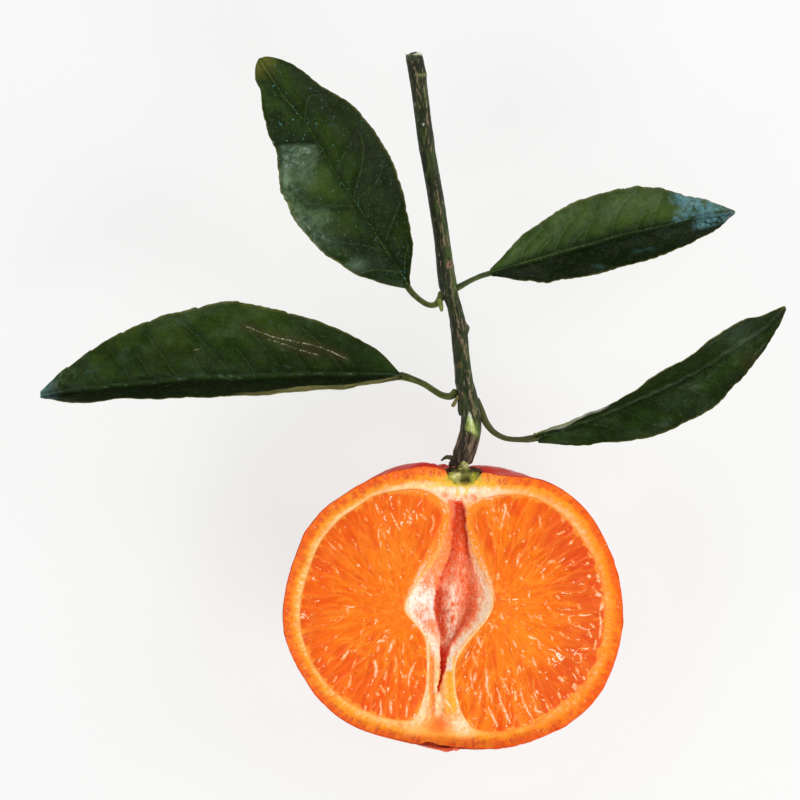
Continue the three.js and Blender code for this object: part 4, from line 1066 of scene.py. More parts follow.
# ---------------------------------------------------------------- the cut ring of skin and pith
def build_ring():
    count = 1440
    theta = np.linspace(0, 2 * np.pi, count, endpoint=False)
    depths = np.concatenate([[0.0, 0.05, 0.12], np.linspace(0.22, 4.9, 34)])
    low = bump(np.degrees(theta), 272, 40)
    deg = np.degrees(theta)
    r0 = outline(theta) + 0.05 * fbm(theta * 31 / 0.9, 0, seed=90) + (0.20 + 0.22 * low) * fbm(theta * 31 / 3.2, 0, seed=91)
    r0 = r0 - 0.75 * bump(deg, 261.2, 3.6) - 0.40 * bump(deg, 267.5, 3.0) - 0.25 * bump(deg, 275, 4.5)
    rows = []
    keep = short_pith(theta)
    for d in depths:
        r = r0 - d * keep
        rows.append((r * np.cos(theta), r * np.sin(theta)))
    x = np.array([r[0] for r in rows])
    y = np.array([r[1] for r in rows])
    c, gland = section_colour(x, y)
    sd = np.minimum(signed_distance(LEFT_RIM, x, y), signed_distance(RIGHT_RIM, x, y))
    d = depths[:, None]
    h = 0.05 * fbm(x * 0.8, y * 0.8, seed=92) + 0.03 * fbm(x * 3, y * 3, seed=93) - 0.14 * gland
    h = h - 0.16 * (1 - smooth(0, 0.16, d)) + 0.05 * smooth(1.2, 2.2, d) * (1 - smooth(2.6, 3.6, d))
    h = h - 0.25 * (1 - smooth(-0.35, 0.2, sd)) - 0.12 * smooth(4.7, 4.9, d)
    px, py = x / SCALE + CX, CY - y / SCALE
    c = mix(c, WALL, 0.45 * (1 - smooth(0.0, 0.6, sd)) * (1 - bump(px, 463, 30) * smooth(520, 505, py)))
    c = mix(c, JUICE, 0.5 * (1 - smooth(-0.05, 0.25, sd)))
    z = CUT + h
    # closing rows: down the inside, along the underside and back up to the edge
    inner = np.array([(r0 - 4.9 * keep) * np.cos(theta), (r0 - 4.9 * keep) * np.sin(theta)])
    outer = np.array([(r0 - 0.35) * np.cos(theta), (r0 - 0.35) * np.sin(theta)])
    x = np.vstack([x, inner[0], outer[0]])
    y = np.vstack([y, inner[1], outer[1]])
    z = np.vstack([z, np.full(count, CUT - 0.75), np.full(count, CUT - 0.75)])
    c = np.concatenate([c, c[-1:], c[:1]])
    n = len(x)
    faces = grid_faces(n, count, wrap=True)
    seam = np.stack([(n - 1) * count + np.arange(count), (n - 1) * count + (np.arange(count) + 1) % count,
                     (np.arange(count) + 1) % count, np.arange(count)], 1)
    faces = np.concatenate([faces, seam])
    co = np.stack([x, y, z], -1).reshape(-1, 3)
    flat = np.stack([(co[:, 0] + 34) / 69.5 * 0.97, (co[:, 1] + 29) / 69.5], 1)
    uv = flat[faces]
    top = (len(depths) - 1) * count
    uv[top:, :, 0] = 0.975 + 0.024 * uv[top:, :, 0]
    uv[top:, :, 1] = 0.024 * uv[top:, :, 1]
    ob = make("cut_ring", co, faces, colour=c.reshape(-1, 3), uv=uv.reshape(-1, 2))
    clean(ob)
    ob.data.materials.append(section_material())
    return ob


# ---------------------------------------------------------------- the two cut segments
def flesh_relief(x, y, heart, rim, seed):
    """Height, colour and dryness of the cut juice sacs, which lie like spokes about the segment's heart."""
    sd = -signed_distance(rim, x, y)
    hx, hy = heart
    dx, dy = x - hx, y - hy
    wx = 0.22 * fbm(x * 0.34, y * 0.34, seed=seed + 1)
    wy = 0.22 * fbm(x * 0.34, y * 0.34, seed=seed + 2)
    r = np.hypot(dx, dy)
    wr = smooth(0.5, 5, r)
    dx, dy = dx + wx * wr * 1.6, dy + wy * wr * 1.6
    phi = np.arctan2(dy, dx)
    lr = np.log(r + 2.2)
    px, py = x / SCALE + CX, CY - y / SCALE
    # big sacs
    wob = 0.030 * fbm(phi * 5, lr * 3.4, seed=seed + 3)
    a1, a2, au, av, ak, al = cells((phi + wob) / 0.125, lr / 0.44 + 0.3 * noise(phi * 9, 1, seed=seed), seed=seed + 4, jitter=0.95)
    edge_a = a2 - a1
    ra = rnd(ak, al, 9, seed)
    rb = rnd(ak, al, 10, seed)
    rc = rnd(ak, al, 11, seed)
    # finer sacs and threads
    b1, b2, bu, bv, bk, bl = cells((phi + 0.6 * wob) / 0.052, lr / 0.28 + 0.25 * noise(phi * 21, 2, seed=seed), seed=seed + 5, jitter=0.95)
    edge_b = b2 - b1
    rd = rnd(bk, bl, 12, seed)
    far = smooth(2, 13, r)
    near = 1 - smooth(1.5, 8, r)
    plump = smooth(0.0, 0.5, edge_a) ** 0.8
    plump_b = smooth(0.0, 0.5, edge_b) ** 0.8
    size = 0.16 + 0.84 * far
    h = 0.10 * size * plump + 0.10 * size * (ra - 0.5)
    h = h + 0.12 * size * ((rb - 0.5) * au + (rc - 0.35) * av)
    h = h + (0.02 + 0.02 * far) * plump_b + 0.02 * (rd - 0.5)
    h = h + 0.10 * fbm(x * 0.35, y * 0.35, seed=seed + 6)
    streak = fbm(phi * 34, lr * 4.0, seed=seed + 8)
    # deep bodies with lighter borders, deeper towards the skin
    tone = fbm(x * 0.16, y * 0.16, seed=seed + 9)
    deep_side = smooth(0.2, 1.0, np.cos(phi + 0.1)) if seed > 150 else 0.35 + 0 * phi
    rim_side = smooth(8, 19, r) * (0.45 + 0.55 * deep_side)
    c = mix(JUICE, JUICE_DEEP, np.clip(0.10 + 0.95 * (ra - 0.5) + 0.5 * tone + 0.5 * rim_side, 0, 1) * (0.4 + 0.6 * plump))
    c = mix(c, srgb(224, 80, 32), np.clip(0.85 * rim_side * deep_side * (1.0 + 1.2 * (rc - 0.5) + tone), 0, 0.85) * (0.5 + 0.5 * plump))
    # broad uneven facets, some deep and some glowing, that cross the rays
    bx, by = 0.5 * fbm(x * 0.4, y * 0.4, seed=seed + 22), 0.5 * fbm(x * 0.4, y * 0.4, seed=seed + 23)
    f1, f2, fu, fv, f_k, fl = cells((phi + 0.10 * bx) / 0.15, (lr + 0.3 * by) / 0.24, seed=seed + 24, jitter=0.95)
    rf = rnd(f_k, fl, 14, seed)
    inside = smooth(0.03, 0.22, f2 - f1) * far
    c = mix(c, srgb(230, 84, 32), 0.62 * smooth(0.62, 0.72, rf) * inside)
    c = mix(c, srgb(255, 140, 40), 0.40 * smooth(0.30, 0.20, rf) * inside * (1 - 0.7 * rim_side))
    h = h + 0.10 * (rf - 0.5) * inside
    # small blots where the sacs meet at the heart
    blots = fbm(x * 1.25, y * 1.25, seed=seed + 25)
    c = mix(c, srgb(255, 152, 52), 0.45 * smooth(0.05, 0.4, blots) * (1 - smooth(4, 11, r)))
    c = mix(c, srgb(240, 104, 28), 0.45 * smooth(0.05, 0.4, -blots) * (1 - smooth(4, 11, r)))
    c = mix(c, JUICE_GLOW, np.clip(0.8 * (rb - 0.5) + 0.55 * near + 0.25 * tone, 0, 1) * (1 - 0.7 * rim_side))
    c = mix(c, srgb(255, 146, 40), 0.55 * (1 - smooth(0.02, 0.24, edge_a)) * (0.25 + 0.75 * far))
    mottle = fbm(phi * 14, lr * 5.0, seed=seed + 17, octaves=3)
    c = mix(c, srgb(232, 88, 26), 0.45 * smooth(0.05, 0.45, mottle) * far)
    c = mix(c, srgb(255, 150, 44), 0.40 * smooth(0.05, 0.45, -mottle))
    c = mix(c, JUICE_DEEP, 0.34 * smooth(0.66, 0.95, rd) * smooth(0.10, 0.35, edge_b))
    c = mix(c, JUICE_GLOW, 0.36 * smooth(0.7, 0.98, 1 - rd) * smooth(0.05, 0.3, edge_b) * (1 - 0.5 * rim_side))
    c = mix(c, JUICE_GLOW, 0.18 * smooth(0.05, 0.5, streak) * (1 - 0.5 * rim_side))
    dark_gap = (1 - smooth(0.0, 0.07, edge_a)) * smooth(0.0, 0.35, fbm(x * 0.5, y * 0.5, seed=seed + 14))
    c = mix(c, srgb(204, 62, 18), 0.40 * dark_gap)
    skin_a = (1 - smooth(0.010, 0.06, np.abs(edge_a - 0.05))) * smooth(-0.1, 0.4, fbm(x * 0.7, y * 0.7, seed=seed + 10))
    skin_b = (1 - smooth(0.01, 0.08, edge_b)) * smooth(0.0, 0.5, fbm(x * 0.9, y * 0.9, seed=seed + 11))
    c = mix(c, JUICE_EDGE, 0.36 * skin_a * (0.35 + 0.65 * far))
    c = mix(c, JUICE_EDGE, 0.12 * skin_b)
    # short bright marks where wet sac skins stand up
    mark = np.zeros(np.shape(x))
    for gx, gy, ga, gl, gw, gs in GLINTS[seed]:
        here = np.nonzero((np.abs(x - gx) < gl + 0.4) & (np.abs(y - gy) < gl + 0.4))[0]
        if len(here) == 0:
            continue
        lx, ly = x[here] - gx, y[here] - gy
        lu, lv = lx * np.cos(ga) + ly * np.sin(ga), -lx * np.sin(ga) + ly * np.cos(ga)
        lv = lv + 0.05 * np.sin(lu * 2.4 + gs * 9)
        body = np.exp(-(np.abs(lu) / gl) ** 4 - (lv / (gw * (1 - 0.45 * lu / max(gl, 0.1)))) ** 2)
        mark[here] = np.maximum(mark[here], body * (0.42 + 0.58 * gs))
    h = h + 0.05 * mark
    c = c * np.array([0.975, 0.945, 1.0])
    # at the heart the sacs are small and lie unevenly
    n1 = cells(x / 0.62, y / 0.62, seed=seed + 33, jitter=0.95)
    loose = mix(mix(JUICE, srgb(255, 148, 48), smooth(0, 0.35, fbm(x * 1.2, y * 1.2, seed=seed + 31))),
                srgb(238, 98, 32), smooth(0.02, 0.35, fbm(x * 1.5, y * 1.5, seed=seed + 32)))
    loose = mix(loose, srgb(255, 160, 74), 0.35 * (1 - smooth(0.02, 0.16, n1[1] - n1[0])))
    near_heart = (0.85 if seed == 200 else 0.30) * (1 - smooth(2.4, 6.6, r + 1.6 * fbm(x * 0.8, y * 0.8, seed=seed + 34)))
    c = mix(c, loose, near_heart)
    # redder along the skin
    far_rim = smooth(11.5, 18.5, r + 2.2 * fbm(x * 0.5, y * 0.5, seed=seed + 35))
    if seed == 200:
        c = mix(c, srgb(222, 74, 34), 0.62 * far_rim * smooth(0.1, 0.7, np.cos(phi + 0.05)))
    else:
        c = mix(c, srgb(240, 92, 30), 0.45 * far_rim)
    golden = bump(px, 536, 36) * bump(py, 622, 52) if seed == 200 else 0.7 * bump(px, 398, 26) * bump(py, 540, 30)
    c = mix(c, srgb(252, 148, 40), 0.40 * golden * (0.8 + tone))
    strip = strip_distance(px, py, seed)
    h = h + 0.05 * (1 - smooth(-0.8, 0.9, strip))
    c = mix(c, JUICE_EDGE, np.clip(1.6 * mark, 0, 0.8))
    c = mix(c, srgb(255, 232, 214), smooth(0.45, 0.9, mark))
    # the segment's own wall
    teeth = (1 - smooth(0.02, 0.32, edge_a)) * smooth(6, 12, r)
    core_side = smooth(11.5, 6, np.abs(x - 0.3)) * smooth(4, -1, np.abs(y - 13) - 9)
    width = 0.24 + 0.7 * teeth + 1.15 * core_side + 0.5 * core_side * smooth(12, 17, y)
    wall = 1 - smooth(0.3 * width, width, sd + 0.10 * tone)
    c = mix(c, mix(WALL, srgb(255, 150, 48), core_side), 0.78 * wall)
    bead = smooth(0.15, 0.45, noise(x * 3.4, y * 3.4, seed=seed + 15)) * core_side * bump(sd, 0.35 + 0.4 * noise(x * 0.8, y * 0.8, seed=seed + 16), 0.16)
    c = mix(c, WET, 0.75 * bead)
    tuft = core_side * smooth(0.75, 0.1, sd + 0.55 * fbm(x * 2.6, y * 2.6, seed=seed + 18)) * smooth(9.5, 5.5, np.abs(y - 1.2))
    c = mix(c, srgb(255, 226, 190), 0.62 * tuft)
    h = h * smooth(0.0, 0.4 + 1.4 * core_side, sd) + 0.16 * smooth(0.0, 1.6, sd) - 0.04
    dry = np.clip(0.25 + 0.35 * rnd(bk, bl, 13, seed) * (1 - far * 0.4) + 0.3 * wall, 0, 1)
    return h, c, dry, np.stack([phi / 0.034, lr / 0.17, r * 0.05], 1), near_heart, strip


# where strips of wet skin lie on each segment: places in the picture frame and half their width there
STRIPS = {
    100: [([(391, 512.5), (394, 519), (400, 531)], .7), ([(386.5, 530.5), (390, 533)], 1.5), ([(408, 516.5), (413, 519.5)], 1.3),
          ([(411.5, 521), (409.5, 524.5)], .8), ([(432.5, 515), (433.5, 524), (430, 533)], .8), ([(420, 514), (427, 520)], .5),
          ([(397.5, 500), (400, 504)], .7), ([(375, 503), (379, 513)], .6), ([(339, 544), (342, 549)], .9), ([(365, 518), (367.5, 521)], .7),
          ([(382, 532), (386, 539)], .6), ([(427.5, 550), (430, 552.5)], .8), ([(357, 564.5), (360, 566)], 1.1), ([(312.5, 577.5), (314.5, 579)], 1.1),
          ([(380, 576), (381, 582.5)], .5), ([(347, 608), (348, 612.5)], .8), ([(375, 619.5), (378, 621)], 1.2), ([(412, 625), (417, 626)], .9),
          ([(385, 632), (390, 629)], .6), ([(412.5, 635), (410, 640)], .9), ([(392.5, 640), (391, 646), (388.5, 652.5)], 1.2),
          ([(376, 643), (380, 641), (385, 640.5)], .9), ([(379, 645), (377.5, 652)], .8), ([(403.5, 643), (402.5, 655)], .6),
          ([(349, 650), (345, 655.5), (341, 660)], 1.1), ([(327, 646), (325, 650)], .6), ([(374, 659), (376.4, 669), (375, 678)], 1.5),
          ([(395, 655), (396.4, 665), (394, 672)], .8), ([(402.5, 660), (404, 666)], .7), ([(415.5, 662), (410.5, 672), (408.6, 680), (409, 686)], .9),
          ([(386, 670), (385, 680)], .6), ([(351, 674), (350.2, 680), (348.6, 687)], .7), ([(337, 676), (333.6, 682)], .6),
          ([(380, 685), (385.5, 693.5)], 1.0), ([(376, 692.5), (379, 695)], .7), ([(366, 705), (364, 715)], .7), ([(390.2, 699), (391.4, 714)], 1.4),
          ([(381, 710), (380, 717)], .8), ([(407.5, 703), (406, 717.5)], .9), ([(411, 696), (409, 700)], .9), ([(418, 680), (415, 688)], .7),
          ([(397, 677), (396, 683)], .7), ([(362, 630), (361, 635)], .6), ([(366, 592), (372, 596)], .4), ([(356, 660), (352, 668)], .5)],
    200: [([(492.5, 507), (495.5, 512)], .8), ([(504.6, 503), (505.4, 510), (502.5, 521)], 1.2), ([(502, 522), (501.5, 528)], .7),
          ([(490, 532.5), (492, 535)], .6), ([(509, 535), (510, 537.5)], 1.0), ([(519, 553), (517.8, 560), (516.4, 565.5)], 1.0),
          ([(505.6, 560.6), (507, 562)], 1.0), ([(539, 515), (541, 528)], .6), ([(561.5, 516), (563.5, 523)], .5), ([(557.5, 534.5), (565, 531)], .9),
          ([(569, 544.4), (573, 540.5)], .9), ([(548, 563), (551, 561.6), (555.5, 561.6)], 1.0), ([(586.4, 562.6), (588.6, 563.6)], 1.1),
          ([(588, 553), (591, 557)], .6), ([(597, 573), (598, 578), (599.4, 583)], 1.1), ([(588, 574.6), (590.4, 577.6)], 1.5),
          ([(499, 572), (497, 580)], .9), ([(542.5, 573), (543.4, 580)], .6), ([(529.4, 590), (529, 598)], .8), ([(556, 594.6), (559.6, 599.4)], .8),
          ([(547.4, 606.6), (550.4, 610)], .8), ([(603, 602.4), (601.6, 607), (600, 611)], 1.7), ([(591.6, 587), (597, 592), (603, 598)], .5),
          ([(568, 617), (570.4, 623)], .8), ([(590, 623.6), (595, 628)], .8), ([(501, 613), (503, 620)], 1.0), ([(488, 622), (492, 626.5), (489.6, 633)], .8),
          ([(495, 624.6), (497.6, 628)], .9), ([(477, 636.6), (481, 647)], .9), ([(472, 652), (474, 659), (477.4, 666)], .9), ([(476.6, 653), (479, 649.5)], .9),
          ([(470, 670), (471, 679), (472.6, 689)], .7), ([(475.6, 672), (474, 682)], 1.1), ([(485.4, 668), (487, 679), (486.8, 688), (490, 697)], 1.3),
          ([(475.6, 691), (475, 696)], .8), ([(480.6, 690), (479.6, 703)], .8), ([(484, 709), (489, 714.5)], .5), ([(501, 648), (503.6, 654.6)], .9),
          ([(500.6, 677), (505, 685), (510, 694.6)], .8), ([(498.6, 692), (501, 702), (505.4, 713)], 1.0), ([(514.6, 690), (516, 700.5)], .9),
          ([(520, 690), (524, 703), (532.4, 719)], .8), ([(532, 696), (538, 714)], .5), ([(536, 690), (538.4, 694)], 1.0), ([(532, 657.6), (536.4, 666.6)], .9),
          ([(548, 657), (549.4, 664)], .8), ([(558, 676.6), (561, 679), (564.4, 681.4)], 1.4), ([(557.6, 691.6), (560.4, 698.4)], 1.0),
          ([(573.6, 683.6), (576.4, 689.6)], 1.7), ([(575.6, 667), (579, 674.6)], .9), ([(589, 631.6), (591.4, 637.6)], .8), ([(600, 615), (601, 624), (599.4, 638)], .9),
          ([(580, 653.6), (581.4, 660)], .6), ([(489.6, 709), (493, 717), (497.4, 727)], 1.3), ([(504.6, 709), (507, 716), (510.4, 723.6)], 1.4),
          ([(540, 614.6), (541.4, 621)], .8), ([(560, 631.6), (564.4, 636.6)], .6), ([(527, 612), (532.4, 619.4)], .5), ([(519, 665), (521, 672)], .7),
          ([(545.6, 702), (548, 708)], .7), ([(567, 694), (569, 697)], .8), ([(583, 676), (585, 680)], .9), ([(596, 640), (594, 650)], .7),
          ([(509, 599), (510, 603)], .6), ([(520, 577), (523, 580)], .6), ([(533, 546), (536, 549)], .5), ([(578, 604), (580, 609)], .6),
          ([(571, 560), (574, 563)], .6), ([(551, 635), (553, 641)], .7), ([(538, 640), (540, 647)], .5), ([(513, 640), (516, 646)], .6)],
}


def strip_distance(px, py, seed):
    """Distance to the nearest strip of wet skin in the picture frame, below 0 on it."""
    best = np.full(len(px), 9.0)
    for points, wide in STRIPS[seed]:
        p = np.array(points)
        here = np.nonzero((px > p[:, 0].min() - 5) & (px < p[:, 0].max() + 5) & (py > p[:, 1].min() - 5) & (py < p[:, 1].max() + 5))[0]
        if len(here):
            d, along = strokes(px[here], py[here], [points])
            best[here] = np.minimum(best[here], d - wide * np.sqrt(np.clip(1 - (2 * along - 1) ** 2, 0, 1)))
    return best


def scatter_marks(rim, heart, seed, count, crowded):
    """Places, directions and sizes of the short bright marks on a cut segment."""
    rng = np.random.default_rng(seed)
    out = []
    lo, hi = rim.min(0), rim.max(0)
    while len(out) < count:
        p = lo + (hi - lo) * rng.random(2)
        px, py = p[0] / SCALE + CX, CY - p[1] / SCALE
        chance = 0.16 + sum(w * math.exp(-((px - cx) / sx) ** 2 - ((py - cy) / sy) ** 2) for cx, cy, sx, sy, w in crowded)
        if rng.random() > chance or signed_distance(rim, p[:1], p[1:2])[0] > -0.35:
            continue
        ray = math.atan2(p[1] - heart[1], p[0] - heart[0])
        r = math.hypot(p[0] - heart[0], p[1] - heart[1])
        turn = rng.normal(0, 0.28) + (rng.random() < 0.16) * rng.normal(0, 1.2)
        long = 0.10 + 1.25 * rng.random() ** 3.2 * min(1, 0.3 + r / 14)
        out.append((p[0], p[1], ray + turn, long, 0.075 + 0.13 * rng.random() ** 3, rng.random()))
    return out


CROWDS = {
    100: [(395, 690, 22, 26, .9), (405, 515, 22, 18, .9), (385, 640, 26, 22, .2), (345, 545, 20, 16, .2)],
    200: [(600, 582, 5, 32, 4.0), (512, 697, 36, 22, 1.0), (497, 512, 16, 12, .6), (478, 645, 12, 12, .6), (560, 660, 30, 22, .4),
          (520, 560, 30, 20, .15)],
}
GLINTS = {
    100: scatter_marks(LEFT_RIM, LEFT_HEART, 5, 90, CROWDS[100]),
    200: scatter_marks(RIGHT_RIM, RIGHT_HEART, 6, 150, CROWDS[200]),
}


def wetness(x, y, seed):
    """How thick the glints lie at a place, 0 to 1."""
    px, py = x / SCALE + CX, CY - y / SCALE
    hx, hy = LEFT_HEART if seed == 100 else RIGHT_HEART
    wet = 0.9 * np.clip(fbm(x * 0.22, y * 0.22, seed=seed + 21), -0.1, 0.5)
    for cx, cy, sx, sy, w in CROWDS[seed]:
        wet = wet + 0.75 * min(w, 1.2) * np.exp(-((px - cx) / sx) ** 2 - ((py - cy) / sy) ** 2)
    return np.clip(wet, 0, 1) * smooth(1, 7, np.hypot(x - hx, y - hy))


def build_segment(name, rim, heart, seed, step):
    box = (rim[:, 0].min() - 0.3, rim[:, 0].max() + 0.3, rim[:, 1].min() - 0.3, rim[:, 1].max() + 0.3)
    x, y, quads, loops = patch(lambda a, b: -signed_distance(rim, a, b), step, box)
    h, c, dry, ray, near_heart, strip = flesh_relief(x, y, heart, rim, seed)
    co = np.stack([x, y, CUT + h], 1)
    co, quads, ngons, colour, floats, uv = close_below(co, quads, loops, CUT - 0.8, c, {"Dry": dry, "Wet": wetness(x, y, seed), "Near": near_heart, "Strip": strip, "R0": ray[:, 0], "R1": ray[:, 1], "R2": ray[:, 2]}, box)
    rays = np.stack([floats.pop("R0"), floats.pop("R1"), floats.pop("R2")], 1)
    ob = make(name, co, quads, ngons=ngons, colour=colour, floats=floats, uv=uv)
    ob.data.attributes.new("Ray", "FLOAT_VECTOR", "POINT").data.foreach_set("vector", rays.astype(np.float32).ravel())
    return ob


def close_below(co, quads, loops, floor, colour, floats, box):
    """Turns a height field into a closed solid: walls straight down from its rim to floor, and a flat underside."""
    top = len(quads)
    n0 = len(co)
    extra_co, extra_c, ngons = [], [], []
    new_quads = [quads]
    keep = {k: [v] for k, v in floats.items()}
    start = n0
    for loop in loops:
        low = co[loop].copy()
        low[:, 2] = floor
        extra_co.append(low)
        extra_c.append(colour[loop])
        for k, v in floats.items():
            keep[k].append(v[loop])
        m = len(loop)
        a = np.array(loop)
        b = np.roll(a, -1)
        la = start + np.arange(m)
        lb = np.roll(la, -1)
        new_quads.append(np.stack([b, a, la, lb], 1))
        ngons.append(la[::-1])
        start += m
    co = np.vstack([co] + extra_co)
    colour = np.vstack([colour] + extra_c)
    quads = np.concatenate(new_quads)
    span = max(box[1] - box[0], box[3] - box[2])
    flat = np.stack([(co[:, 0] - box[0]) / span * 0.97, (co[:, 1] - box[2]) / span], 1)
    uv = flat[quads]
    uv[top:, :, 0] = 0.975 + 0.024 * uv[top:, :, 0]
    uv[top:, :, 1] = 0.024 * uv[top:, :, 1]
    parts = [uv.reshape(-1, 2)]
    for n in ngons:
        u = flat[np.asarray(n)]
        parts.append(np.stack([0.975 + 0.024 * u[:, 0], 0.03 + 0.024 * u[:, 1]], 1))
    return co, quads, ngons, colour, {k: np.concatenate(v) for k, v in keep.items()}, np.vstack(parts)


# ---------------------------------------------------------------- the pith and the open core
def build_core():
    def inside(x, y):
        sl, sr = signed_distance(LEFT_RIM, x, y), signed_distance(RIGHT_RIM, x, y)
        return np.minimum(np.minimum(sl, sr) + 0.3, np.minimum(depth_in(x, y) - 4.6 * short_pith(np.arctan2(y, x)), 11.5 - np.abs(x + 1.2)))
    box = (-13, 10.5, -24.5, 24)
    x, y, quads, loops = patch(inside, 0.125, box)
    depth, q, px, py = core_height(x, y)
    sd = np.minimum(signed_distance(LEFT_RIM, x, y), signed_distance(RIGHT_RIM, x, y))
    c = pith_colour(x, y, depth, q, px, py)
    fuzz = fbm(x * 2.4, y * 1.2, seed=41, octaves=4)
    h = depth + 0.10 * fbm(x * 0.8, y * 0.5, seed=45) + 0.05 * fbm(x * 4, y * 1.0, seed=46)
    inner = smooth(-0.4, -1.5, depth)
    h = h + inner * (0.16 * fuzz + 0.10 * fbm(x * 7, y * 3.5, seed=47))
    column = smooth(640, 660, py) * (1 - smooth(722, 734, py))
    h = h + column * (0.16 * np.cos((px - 428) * 0.78) * bump(px, 440, 16))
    h = np.minimum(h, 0.22)
    h = h - 0.2 * (1 - smooth(-0.3, 0.15, sd)) - 0.10 * (1 - smooth(4.65, 5.0, depth_in(x, y) / short_pith(np.arctan2(y, x))))
    n = len(x)
    co = np.vstack([np.stack([x, y, CUT + h], 1), np.stack([x, y, CUT + np.minimum(h, -0.2) - 0.9], 1)])
    sides = []
    for loop in loops:
        a = np.array(loop)
        b = np.roll(a, -1)
        sides.append(np.stack([b, a, a + n, b + n], 1))
    faces = np.concatenate([quads, quads[:, ::-1] + n] + sides)
    colour = np.vstack([c, c])
    flat = np.stack([(co[:, 0] - box[0]) / 48.5, (co[:, 1] - box[2]) / 48.5], 1)
    uv = flat[faces]
    m = len(quads)
    uv[m:2 * m, :, 0] += 0.5
    uv[2 * m:, :, 0] = 0.99
    ob = make("pith_core", co, faces, colour=colour, uv=uv.reshape(-1, 2))
    ob.data.materials.append(pith_material())
    return ob


# ---------------------------------------------------------------- rods, stalks and flaps
def loft(name, path, wide, thick, sides=24, up=(0, 0, 1), detail=None, ends=4):
    """A closed solid of oval sections along a path, mm. detail(i, angle, points) gives how far each point moves out
    and its colour; angle 0 is towards the path's right and 90 degrees towards up."""
    path = np.asarray(path, float)
    n = len(path)
    wide, thick = np.broadcast_to(wide, n).astype(float), np.broadcast_to(thick, n).astype(float)
    along = np.gradient(path, axis=0)
    along /= np.linalg.norm(along, axis=1, keepdims=True)
    upv = np.broadcast_to(np.asarray(up, float), (n, 3))
    right = np.cross(along, upv)
    right /= np.maximum(np.linalg.norm(right, axis=1, keepdims=True), 1e-9)
    normal = np.cross(right, along)
    a = np.linspace(0, 2 * np.pi, sides, endpoint=False)
    ca, sa = np.cos(a)[None, :, None], np.sin(a)[None, :, None]
    out, colour = 0, None
    points = path[:, None] + right[:, None] * wide[:, None, None] * ca + normal[:, None] * thick[:, None, None] * sa
    angle = np.degrees(a)[None, :] + np.zeros((n, 1))
    if detail:
        out, colour = detail(np.arange(n)[:, None] + np.zeros((1, sides)), angle, points)
    face = right[:, None] * ca / np.maximum(wide[:, None, None], 1e-6) + normal[:, None] * sa / np.maximum(thick[:, None, None], 1e-6)
    face /= np.linalg.norm(face, axis=2, keepdims=True)
    if detail:
        points = points + face * np.asarray(out)[..., None]
    # rounded ends
    rows, tones = [points], [colour]
    for side, k in ((0, 0), (-1, n - 1)):
        centre = points[side].mean(0)
        reach = 0.55 * min(wide[k], thick[k]) * (-1 if side == 0 else 1)
        caps, cap_tones = [], []
        for j in range(1, ends + 1):
            f = j / (ends + 0.35)
            caps.append(centre + (points[side] - centre) * math.sqrt(max(0.0, 1 - f * f)) * (1 - 0.25 * f) + along[k] * reach * f)
            cap_tones.append(colour[side] if colour is not None else None)
        if side == 0:
            rows.insert(0, np.array(caps[::-1]))
            tones.insert(0, np.array(cap_tones[::-1]) if colour is not None else None)
        else:
            rows.append(np.array(caps))
            tones.append(np.array(cap_tones) if colour is not None else None)
    co = np.concatenate(rows)
    total = len(co)
    tone = np.concatenate(tones).reshape(-1, 3) if colour is not None else None
    faces = grid_faces(total, sides, wrap=True)
    first = np.arange(sides)
    last = (total - 1) * sides + np.arange(sides)
    u = np.arange(sides + 1) / sides
    v = np.arange(total) / (total - 1)
    i = np.arange(total - 1)[:, None]
    j = np.arange(sides)[None, :]
    uv = np.stack([np.stack([u[j] + 0 * i, u[j + 1] + 0 * i, u[j + 1] + 0 * i, u[j] + 0 * i], -1) * 0.97,
                   np.stack([v[i] + 0 * j, v[i] + 0 * j, v[i + 1] + 0 * j, v[i + 1] + 0 * j], -1)], -1).reshape(-1, 2)
    cap_uv = np.stack([0.985 + 0.012 * np.cos(a), 0.02 + 0.012 * np.sin(a)], 1)
    ob = make(name, co.reshape(-1, 3), faces[:, ::-1], ngons=[first, last[::-1]], colour=tone,
              uv=np.vstack([uv.reshape(-1, 4, 2)[:, ::-1].reshape(-1, 2), cap_uv, cap_uv[::-1]]))
    return ob


def picture_path(points, count):
    """A path through (px, py, height above the cut face in mm) as count points in mm."""
    p = curve(points, count)
    x, y = at(p[:, 0], p[:, 1])
    x, y = drawn_in(x, y, p[:, 2])
    return np.stack([x, y, CUT + p[:, 2]], 1)


def strokes(px, py, lines):
    """Distance in the picture frame to the nearest of a few lines, and how far along its line that is, 0 to 1."""
    shape = np.shape(px)
    qx, qy = np.ravel(px), np.ravel(py)
    best = np.full(len(qx), 1e6)
    where = np.zeros(len(qx))
    for line in lines:
        p = curve(line, max(8, 5 * len(line)))
        for k in range(len(p) - 1):
            a, d = p[k], p[k + 1] - p[k]
            t = np.clip(((qx - a[0]) * d[0] + (qy - a[1]) * d[1]) / (d @ d), 0, 1)
            dist = np.hypot(qx - a[0] - t * d[0], qy - a[1] - t * d[1])
            near = dist < best
            best = np.where(near, dist, best)
            where = np.where(near, (k + t) / (len(p) - 1), where)
    return best.reshape(shape), where.reshape(shape)


def through(values, t):
    """A smooth line through evenly spaced values, read at t from 0 to 1."""
    v = np.asarray(values, float)
    n = len(v)
    s = np.clip(np.asarray(t, float), 0, 1) * (n - 1)
    k = np.minimum(s.astype(int), n - 2)
    f = s - k
    p0 = np.where(k > 0, v[np.maximum(k - 1, 0)], 2 * v[0] - v[1])
    p3 = np.where(k < n - 2, v[np.minimum(k + 2, n - 1)], 2 * v[-1] - v[-2])
    p1, p2 = v[k], v[k + 1]
    return 0.5 * (2 * p1 + (p2 - p0) * f + (2 * p0 - 5 * p1 + 4 * p2 - p3) * f * f + (3 * p1 - p0 - 3 * p2 + p3) * f ** 3)


